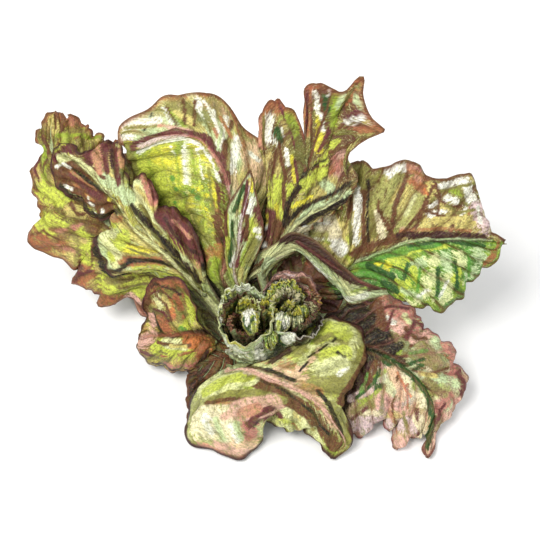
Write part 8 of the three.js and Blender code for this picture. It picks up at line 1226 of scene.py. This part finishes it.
    me = bpy.data.meshes.new(name + "_fine")
    me.vertices.add(len(verts))
    me.vertices.foreach_set("co", verts.ravel())
    me.loops.add(quads.size)
    me.loops.foreach_set("vertex_index", quads.ravel().astype(np.int32))
    me.polygons.add(len(quads))
    me.polygons.foreach_set("loop_start", np.arange(0, quads.size, 4, dtype=np.int32))
    me.polygons.foreach_set("use_smooth", np.ones(len(quads), bool))
    me.update(calc_edges=True)
    me.validate()

    def attribute(key, kind, data, field):
        at = me.attributes.new(key, kind, "POINT")
        at.data.foreach_set(field, np.ascontiguousarray(data, dtype=np.float32).ravel())

    both = lambda x: np.concatenate([x.reshape(-1), x.reshape(-1)])
    both2 = lambda x: np.concatenate([x.reshape(-1, 3), x.reshape(-1, 3)])
    rgba = np.ones((2 * N, 4))
    rgba[:N, :3], rgba[N:, :3] = col.reshape(-1, 3), under.reshape(-1, 3)
    attribute("leaf_colour", "FLOAT_COLOR", rgba, "color")
    attribute("leaf_co", "FLOAT_VECTOR", np.stack([both(S), both(T), np.full(2 * N, seed * 7.3)], 1), "vector")
    attribute("streak_co", "FLOAT_VECTOR", np.stack([both(q * 1.7), both(T / 40), np.full(2 * N, seed * 3.1)], 1), "vector")
    through = look.get("through", 0.55)
    attribute("painted", "FLOAT", np.concatenate([painted.reshape(-1), through * painted.reshape(-1)]), "value")
    rgba = np.ones((2 * N, 4))
    rgba[:N, :3], rgba[N:, :3] = paint.reshape(-1, 3), paint_under.reshape(-1, 3)
    attribute("paint_colour", "FLOAT_COLOR", rgba, "color")
    attribute("paint_mm", "FLOAT", both(reach), "value")
    attribute("paint_amount", "FLOAT", np.concatenate([amount.reshape(-1), through * amount.reshape(-1)]), "value")
    rgba = np.ones((2 * N, 4))
    rgba[:, :3] = both2(np.where((V < 0)[..., None], PALETTE[look.get("hatch_left", look.get("hatch_dark", "brown"))], PALETTE[look.get("hatch_dark", "brown")]))
    attribute("line_colour", "FLOAT_COLOR", rgba, "color")
    attribute("vein_phase", "FLOAT", both(q), "value")
    attribute("vein_fade", "FLOAT", both((1 - rib) * grow * smooth(0.0, 3.0, edge)), "value")
    attribute("edge_mm", "FLOAT", both(edge), "value")
    attribute("below", "FLOAT", np.concatenate([np.zeros(N), np.ones(N)]), "value")
    ob = bpy.data.objects.new(name + "_fine", me)
    bpy.context.scene.collection.objects.link(ob)
    return ob


# -------------------------------------------------------------- materials --
def nodes_of(mat):
    mat.use_nodes = True
    nt = mat.node_tree
    nt.nodes.clear()
    return nt


class Net:
    """short names for building node trees"""

    def __init__(self, nt):
        self.nt = nt

    def add(self, kind, **props):
        n = self.nt.nodes.new(kind)
        for k, v in props.items():
            setattr(n, k, v)
        return n

    def link(self, a, b):
        self.nt.links.new(a, b)

    def attr(self, name, out="Fac"):
        return self.add("ShaderNodeAttribute", attribute_name=name).outputs[out]

    def math(self, op, a, b=None, c=None, clamp=False):
        n = self.add("ShaderNodeMath", operation=op, use_clamp=clamp)
        for k, x in enumerate((a, b, c)):
            if x is None:
                continue
            if isinstance(x, (int, float)):
                n.inputs[k].default_value = x
            else:
                self.link(x, n.inputs[k])
        return n.outputs[0]

    def ramp(self, x, lo, hi, a=0.0, b=1.0):
        n = self.add("ShaderNodeMapRange", interpolation_type="SMOOTHSTEP")
        self.link(x, n.inputs["Value"])
        for k, v in (("From Min", lo), ("From Max", hi), ("To Min", a), ("To Max", b)):
            n.inputs[k].default_value = v
        return n.outputs[0]

    def mix(self, fac, a, b, mode="MIX"):
        n = self.add("ShaderNodeMix", data_type="RGBA", blend_type=mode)
        if isinstance(fac, (int, float)):
            n.inputs[0].default_value = fac
        else:
            self.link(fac, n.inputs[0])
        for k, x in ((6, a), (7, b)):
            if isinstance(x, (tuple, list, np.ndarray)):
                n.inputs[k].default_value = (*[float(t) for t in x[:3]], 1.0)
            else:
                self.link(x, n.inputs[k])
        return n.outputs[2]

    def noise(self, vec, scale, detail=3.0, rough=0.55, dist=0.0):
        n = self.add("ShaderNodeTexNoise")
        self.link(vec, n.inputs["Vector"])
        n.inputs["Scale"].default_value = scale
        n.inputs["Detail"].default_value = detail
        n.inputs["Roughness"].default_value = rough
        n.inputs["Distortion"].default_value = dist
        return n.outputs[0]

    def cells(self, vec, scale, feature="DISTANCE_TO_EDGE"):
        n = self.add("ShaderNodeTexVoronoi", feature=feature)
        self.link(vec, n.inputs["Vector"])
        n.inputs["Scale"].default_value = scale
        return n.outputs[0]


def leaf_material(name, look):
    mat = bpy.data.materials.new(name)
    net = Net(nodes_of(mat))
    co = net.attr("leaf_co", "Vector")
    base = net.attr("leaf_colour", "Color")
    fade = net.attr("vein_fade")
    below = net.attr("below")
    edge = net.attr("edge_mm")

    streak = net.attr("streak_co", "Vector")
    lines = net.attr("line_colour", "Color")
    free = net.math("SUBTRACT", 1.0, net.math("MULTIPLY", net.attr("painted"), 0.72))

    # brush-like streaks that run along the side veins, and fine mottle
    n1 = net.noise(co, 0.16, 4.0, 0.62, 0.4)
    n2 = net.noise(co, 0.62, 3.0, 0.6, 0.2)
    n3 = net.noise(co, 2.3, 2.0, 0.5)
    s1 = net.noise(streak, 2.1, 3.0, 0.62, 0.3)
    s2 = net.noise(streak, 5.2, 3.0, 0.6, 0.2)
    c = net.mix(net.math("MULTIPLY", net.ramp(s1, 0.55, 0.66, 0.0, look.get("fleck", 0.5)), free), base, PALETTE[look["fleck_colour"]])
    c = net.mix(net.math("MULTIPLY", net.ramp(s1, 0.45, 0.35, 0.0, look.get("dark_fleck", 0.42)), free), c, lines)
    c = net.mix(net.math("MULTIPLY", net.ramp(s2, 0.60, 0.70, 0.0, look.get("light", 0.40)), free), c, PALETTE[look["light_colour"]])
    c = net.mix(net.ramp(s2, 0.42, 0.32, 0.0, 0.30), c, lines)
    c = net.mix(net.ramp(n2, 0.50, 0.34, 0.0, 0.22), c, PALETTE["moss"])
    # painted marks with a frayed outline, then thin dark and light hatching along the veins
    s3 = net.noise(streak, 9.5, 2.0, 0.6, 0.1)
    fray = net.math("ADD", net.math("MULTIPLY", net.math("SUBTRACT", s2, 0.5), look.get("fray", 7.5)), net.math("MULTIPLY", net.math("SUBTRACT", n2, 0.5), 5.5))
    fray = net.math("ADD", fray, net.math("MULTIPLY", net.math("SUBTRACT", s3, 0.5), 4.0))
    inside = net.math("ADD", net.attr("paint_mm"), fray)
    amount = net.attr("paint_amount")
    seam = net.math("MULTIPLY", net.math("MULTIPLY", net.ramp(inside, -1.5, -0.5), net.ramp(inside, 0.5, -0.1)), amount)
    c = net.mix(net.math("MULTIPLY", seam, 0.30), c, lines)
    patch = net.ramp(net.math("ADD", net.math("MULTIPLY", n2, 0.6), net.math("MULTIPLY", s3, 0.4)), 0.36, 0.52, look.get("patch", 0.66), 1.0)
    mark = net.math("MULTIPLY", net.ramp(inside, -1.0, 0.9), net.math("MULTIPLY", amount, patch), clamp=True)
    c = net.mix(mark, c, net.attr("paint_colour", "Color"))
    hatch = look.get("hatch", 0.5)
    calm = net.math("SUBTRACT", 1.0, net.math("MULTIPLY", mark, 0.45))
    c = net.mix(net.math("MULTIPLY", net.ramp(s3, 0.46, 0.36, 0.0, 1.15 * hatch), calm), c, lines)
    c = net.mix(net.math("MULTIPLY", net.math("MULTIPLY", net.ramp(s3, 0.59, 0.67, 0.0, 0.8 * hatch), net.ramp(n1, 0.44, 0.52)), net.math("SUBTRACT", 1.0, net.math("MULTIPLY", mark, 0.8))), c, PALETTE[look["light_colour"]])
    # small dabs over everything: darker and lighter patches, brown and pale specks
    n5 = net.noise(co, 1.15, 3.0, 0.6, 0.3)
    n6 = net.noise(streak, 13.0, 2.0, 0.55)
    c = net.mix(look.get("dab", 1.0), c, net.ramp(net.math("ADD", net.math("MULTIPLY", n2, 0.5), net.math("MULTIPLY", n5, 0.5)), 0.38, 0.62, 0.68, 1.20), "MULTIPLY")
    c = net.mix(net.math("MULTIPLY", net.ramp(net.math("ADD", n5, net.math("MULTIPLY", n6, 0.6)), 0.70, 0.60, 0.0, look.get("speck", 0.55)), calm), c, lines)
    c = net.mix(net.math("MULTIPLY", net.ramp(net.math("ADD", n5, net.math("MULTIPLY", n6, -0.6)), 0.27, 0.37, 0.0, 0.8 * look.get("speck", 0.55)), net.math("SUBTRACT", 1.0, net.math("MULTIPLY", mark, 0.85))), c, PALETTE[look["light_colour"]])
    # side veins: a line with painted shade in the darker valley beside it
    ph = net.attr("vein_phase")
    tri = net.math("MULTIPLY", net.math("ABSOLUTE", net.math("SUBTRACT", net.math("FRACT", net.math("ADD", ph, 64.0)), 0.5)), 2.0)
    valley = net.math("MULTIPLY", net.ramp(tri, 0.55, 0.97), fade)
    line = net.math("MULTIPLY", net.ramp(tri, 0.88, 0.965), fade)
    line = net.math("MULTIPLY", line, net.ramp(n1, 0.30, 0.50, 0.35, 1.0))
    c = net.mix(net.math("MULTIPLY", valley, net.math("MULTIPLY", free, look.get("valley", 0.45))), c, PALETTE[look["valley_colour"]])
    c = net.mix(net.math("MULTIPLY", line, net.math("MULTIPLY", free, look.get("vein", 0.6))), c, PALETTE[look["vein_colour"]])
    # net of small veins round the blisters
    warp = net.add("ShaderNodeVectorMath", operation="ADD")
    net.link(co, warp.inputs[0])
    nv = net.add("ShaderNodeTexNoise")
    net.link(co, nv.inputs["Vector"])
    nv.inputs["Scale"].default_value = 0.25
    sc = net.add("ShaderNodeVectorMath", operation="SCALE")
    net.link(nv.outputs["Color"], sc.inputs[0])
    sc.inputs["Scale"].default_value = 4.0
    net.link(sc.outputs[0], warp.inputs[1])
    cell = net.cells(warp.outputs[0], look.get("net_scale", 0.26))
    small = net.math("MULTIPLY", net.ramp(cell, 0.08, 0.0), fade)
    c = net.mix(net.math("MULTIPLY", small, look.get("net", 0.16)), c, PALETTE[look.get("net_colour", "olive")])
    # dark line right at the edge, broken by noise: partly the leaf's own dark margin, partly painted shade where the
    # leaves meet
    rim = net.math("MULTIPLY", net.ramp(net.math("ADD", edge, net.math("MULTIPLY", n2, 1.6)), look.get("rim_width", 3.2), 1.3), net.ramp(n1, 0.30, 0.46, 0.45, 1.0))
    c = net.mix(net.math("MULTIPLY", rim, look.get("rim", 0.8)), c, PALETTE[look.get("rim_colour", "brown")])
    c = net.mix(net.math("MULTIPLY", below, 0.2), c, PALETTE["mint"], "MULTIPLY")

    p = net.add("ShaderNodeBsdfPrincipled")
    net.link(c, p.inputs["Base Color"])
    rough = net.math("ADD", net.math("MULTIPLY", n2, 0.30), look.get("rough", 0.38))
    net.link(rough, p.inputs["Roughness"])
    p.inputs["Specular IOR Level"].default_value = 0.24
    p.inputs["Subsurface Weight"].default_value = look.get("sss", 0.08)
    p.inputs["Subsurface Radius"].default_value = (0.0022, 0.0026, 0.0009)
    p.inputs["Subsurface Scale"].default_value = 1.0
    p.inputs["Coat Weight"].default_value = look.get("coat", 0.03)
    p.inputs["Coat Roughness"].default_value = 0.28

    # bump: blister cells, small veins, grain
    h = net.math("MULTIPLY", net.ramp(cell, 0.0, 0.35), 0.55)
    h = net.math("ADD", h, net.math("MULTIPLY", n2, 0.5))
    h = net.math("ADD", h, net.math("MULTIPLY", n3, 0.22))
    h = net.math("SUBTRACT", h, net.math("MULTIPLY", line, 0.35))
    b = net.add("ShaderNodeBump")
    b.inputs["Strength"].default_value = look.get("bump", 0.55)
    b.inputs["Distance"].default_value = 0.0012
    net.link(h, b.inputs["Height"])
    net.link(b.outputs[0], p.inputs["Normal"])
    out = net.add("ShaderNodeOutputMaterial")
    net.link(p.outputs[0], out.inputs["Surface"])
    return mat


def stem_material():
    mat = bpy.data.materials.new("stem_cut")
    net = Net(nodes_of(mat))
    geo = net.add("ShaderNodeNewGeometry")
    tex = net.add("ShaderNodeTexCoord").outputs["Object"]
    scaled = net.add("ShaderNodeVectorMath", operation="SCALE")
    net.link(tex, scaled.inputs[0])
    scaled.inputs["Scale"].default_value = 1000.0
    co = scaled.outputs[0]
    sep = net.add("ShaderNodeSeparateXYZ")
    net.link(co, sep.inputs[0])
    r = net.math("SQRT", net.math("ADD", net.math("MULTIPLY", sep.outputs[0], sep.outputs[0]), net.math("MULTIPLY", sep.outputs[1], sep.outputs[1])))
    n1 = net.noise(co, 0.12, 4.0)
    n2 = net.noise(co, 0.9, 4.0)
    c = net.mix(n1, PALETTE["mint"], PALETTE["cream"])
    c = net.mix(net.ramp(n2, 0.5, 0.7, 0.0, 0.4), c, PALETTE["lime"])
    cut = net.ramp(sep.outputs[2], 0.9, 0.2)
    ring = net.math("MULTIPLY", cut, net.ramp(r, 9.5, 13.5))
    c = net.mix(net.math("MULTIPLY", ring, 0.75), c, PALETTE["rust"])
    c = net.mix(net.math("MULTIPLY", cut, net.ramp(n2, 0.45, 0.62, 0.0, 0.45)), c, PALETTE["brown"])
    p = net.add("ShaderNodeBsdfPrincipled")
    net.link(c, p.inputs["Base Color"])
    net.link(net.math("ADD", net.math("MULTIPLY", n2, 0.3), 0.4), p.inputs["Roughness"])
    p.inputs["Subsurface Weight"].default_value = 0.1
    p.inputs["Subsurface Radius"].default_value = (0.003, 0.003, 0.002)
    p.inputs["Subsurface Scale"].default_value = 1.0
    b = net.add("ShaderNodeBump")
    b.inputs["Strength"].default_value = 0.5
    b.inputs["Distance"].default_value = 0.0008
    net.link(n2, b.inputs["Height"])
    net.link(b.outputs[0], p.inputs["Normal"])
    out = net.add("ShaderNodeOutputMaterial")
    net.link(p.outputs[0], out.inputs["Surface"])
    return mat


# ------------------------------------------------------------- build it ----
def v_spacing(n):
    w = np.linspace(-1, 1, n)
    return np.sign(w) * np.abs(w) ** 1.18


def finish_piece(ob, node, mat, beside=None):
    """a piece stands for its CAD node; the smallest leaves of the heart only grow beside one"""
    ob.data.materials.append(mat)
    if beside is None:
        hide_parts(node)
    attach(ob, "root")


PARTS = {}
for name, leaf in {**LEAVES, **HEART_LEAVES, **HEART_CRISPS}.items():
    heart = name not in LEAVES
    look = {**(HEART_LOOK if heart else DEFAULT_LOOK), **LOOKS[name]}
    nu, nv = look["grid"]
    nv += 1 - nv % 2
    us = np.linspace(0, 1, nu)
    vs = np.linspace(-1, 1, nv) if heart else v_spacing(nv)
    P0 = blade_surface({**leaf, "tooth": look["tooth"]}, us, vs) if "left" in leaf else cup_surface(leaf, us, vs)
    PARTS[name] = (leaf, P0, us, vs, look)

OPEN = openness({n: p[1] for n, p in PARTS.items()}, {n: p[4]["face"] for n, p in PARTS.items()})

for name, (leaf, P0, us, vs, look) in PARTS.items():
    ob = make_leaf(name, leaf, P0, us, vs, look, OPEN[name])
    finish_piece(ob, name, leaf_material(name + "_skin", look), leaf.get("beside"))


def make_stem():
    """short thick stem with leaf scars and a flat cut base"""
    R, H = 15.5, 32.0
    prof = np.array([[0, 0], [0.35, 0], [0.7, 0], [0.94, 0], [0.99, 0.012], [1.02, 0.05], [1.0, 0.2], [0.93, 0.45], [0.8, 0.68], [0.6, 0.86], [0.34, 0.96], [0.0, 1.0]])
    t = chord(prof)
    k = np.linspace(0, 1, 70)
    rr, zz = np.interp(k, t, prof[:, 0]) * R, np.interp(k, t, prof[:, 1]) * H
    n = 120
    a = np.linspace(0, 2 * np.pi, n, endpoint=False)
    verts, quads = [], []
    for i in range(1, len(k) - 1):
        f = 1 + 0.03 * np.sin(3 * a + 0.5) * (zz[i] / H) - 0.02 * smooth(0.5, 2.0, zz[i]) * (0.5 + 0.5 * np.sin(0.85 * zz[i] + 2 * a)) ** 3
        verts.append(np.stack([rr[i] * f * np.cos(a), rr[i] * f * np.sin(a), np.full(n, zz[i])], 1))
    V = np.concatenate(verts)
    m = len(verts)
    V = np.concatenate([V, [[0, 0, 0.0]], [[0, 0, H]]]) * MM
    faces = []
    for i in range(m - 1):
        for j in range(n):
            faces.append((i * n + j, i * n + (j + 1) % n, (i + 1) * n + (j + 1) % n, (i + 1) * n + j))
    for j in range(n):
        faces.append((m * n, (j + 1) % n, j))
        faces.append((m * n + 1, (m - 1) * n + j, (m - 1) * n + (j + 1) % n))
    me = bpy.data.meshes.new("stem_fine")
    me.from_pydata([tuple(v) for v in V], [], faces)
    me.polygons.foreach_set("use_smooth", np.ones(len(me.polygons), bool))
    me.update()
    ob = bpy.data.objects.new("stem_fine", me)
    bpy.context.scene.collection.objects.link(ob)
    return ob


finish_piece(make_stem(), "stem", stem_material())

# ------------------------------------------------------------- surface -----
bpy.ops.mesh.primitive_plane_add(size=6, location=(0, 0, 0))
floor = bpy.context.object
floor.name = "floor"
fm = bpy.data.materials.new("floor_paper")
net = Net(nodes_of(fm))
tc = net.add("ShaderNodeTexCoord").outputs["Object"]
fn = net.noise(tc, 60.0, 3.0)
fp = net.add("ShaderNodeBsdfPrincipled")
net.link(net.mix(fn, (0.93, 0.93, 0.93), (0.97, 0.97, 0.97)), fp.inputs["Base Color"])
fp.inputs["Roughness"].default_value = 0.9
fo = net.add("ShaderNodeOutputMaterial")
net.link(fp.outputs[0], fo.inputs["Surface"])
floor.data.materials.append(fm)

world = bpy.data.worlds.new("studio") if bpy.context.scene.world is None else bpy.context.scene.world
bpy.context.scene.world = world
world.use_nodes = True
bg = world.node_tree.nodes.get("Background")
bg.inputs[0].default_value = (1.0, 1.0, 1.0, 1.0)
bg.inputs[1].default_value = 0.47


def area(name, loc, target, size, power, colour=(1, 1, 1)):
    d = bpy.data.lights.new(name, "AREA")
    d.shape, d.size, d.energy, d.color = "SQUARE", size, power, colour
    o = bpy.data.objects.new(name, d)
    o.location = loc
    o.rotation_euler = (Vector(target) - Vector(loc)).to_track_quat("-Z", "Y").to_euler()
    bpy.context.scene.collection.objects.link(o)


area("key", (-0.55, -0.45, 1.20), (0, 0.02, 0.05), 0.75, 18.6, (1.0, 0.985, 0.96))
area("fill", (0.95, -0.35, 0.75), (0, 0.02, 0.05), 0.9, 4.2, (0.97, 0.985, 1.0))
area("back", (0.15, 1.05, 0.85), (0, 0.0, 0.08), 0.7, 3.6)

# -------------------------------------------------------------- camera -----
ELEVATION, DISTANCE, LENS = 50.0, 0.885, 100.0
TARGET = Vector((0.0047, 0.0282, 0.060))
e = math.radians(ELEVATION)
back = Vector((0, -math.cos(e), math.sin(e)))
cam_data = bpy.data.cameras.new("view")
cam_data.lens, cam_data.sensor_width = LENS, 36.0
cam = bpy.data.objects.new("view", cam_data)
cam.location = TARGET + back * DISTANCE
cam.rotation_euler = (-back).to_track_quat("-Z", "Y").to_euler()
bpy.context.scene.collection.objects.link(cam)
bpy.context.scene.camera = cam
bpy.context.scene.view_settings.view_transform = "Standard"
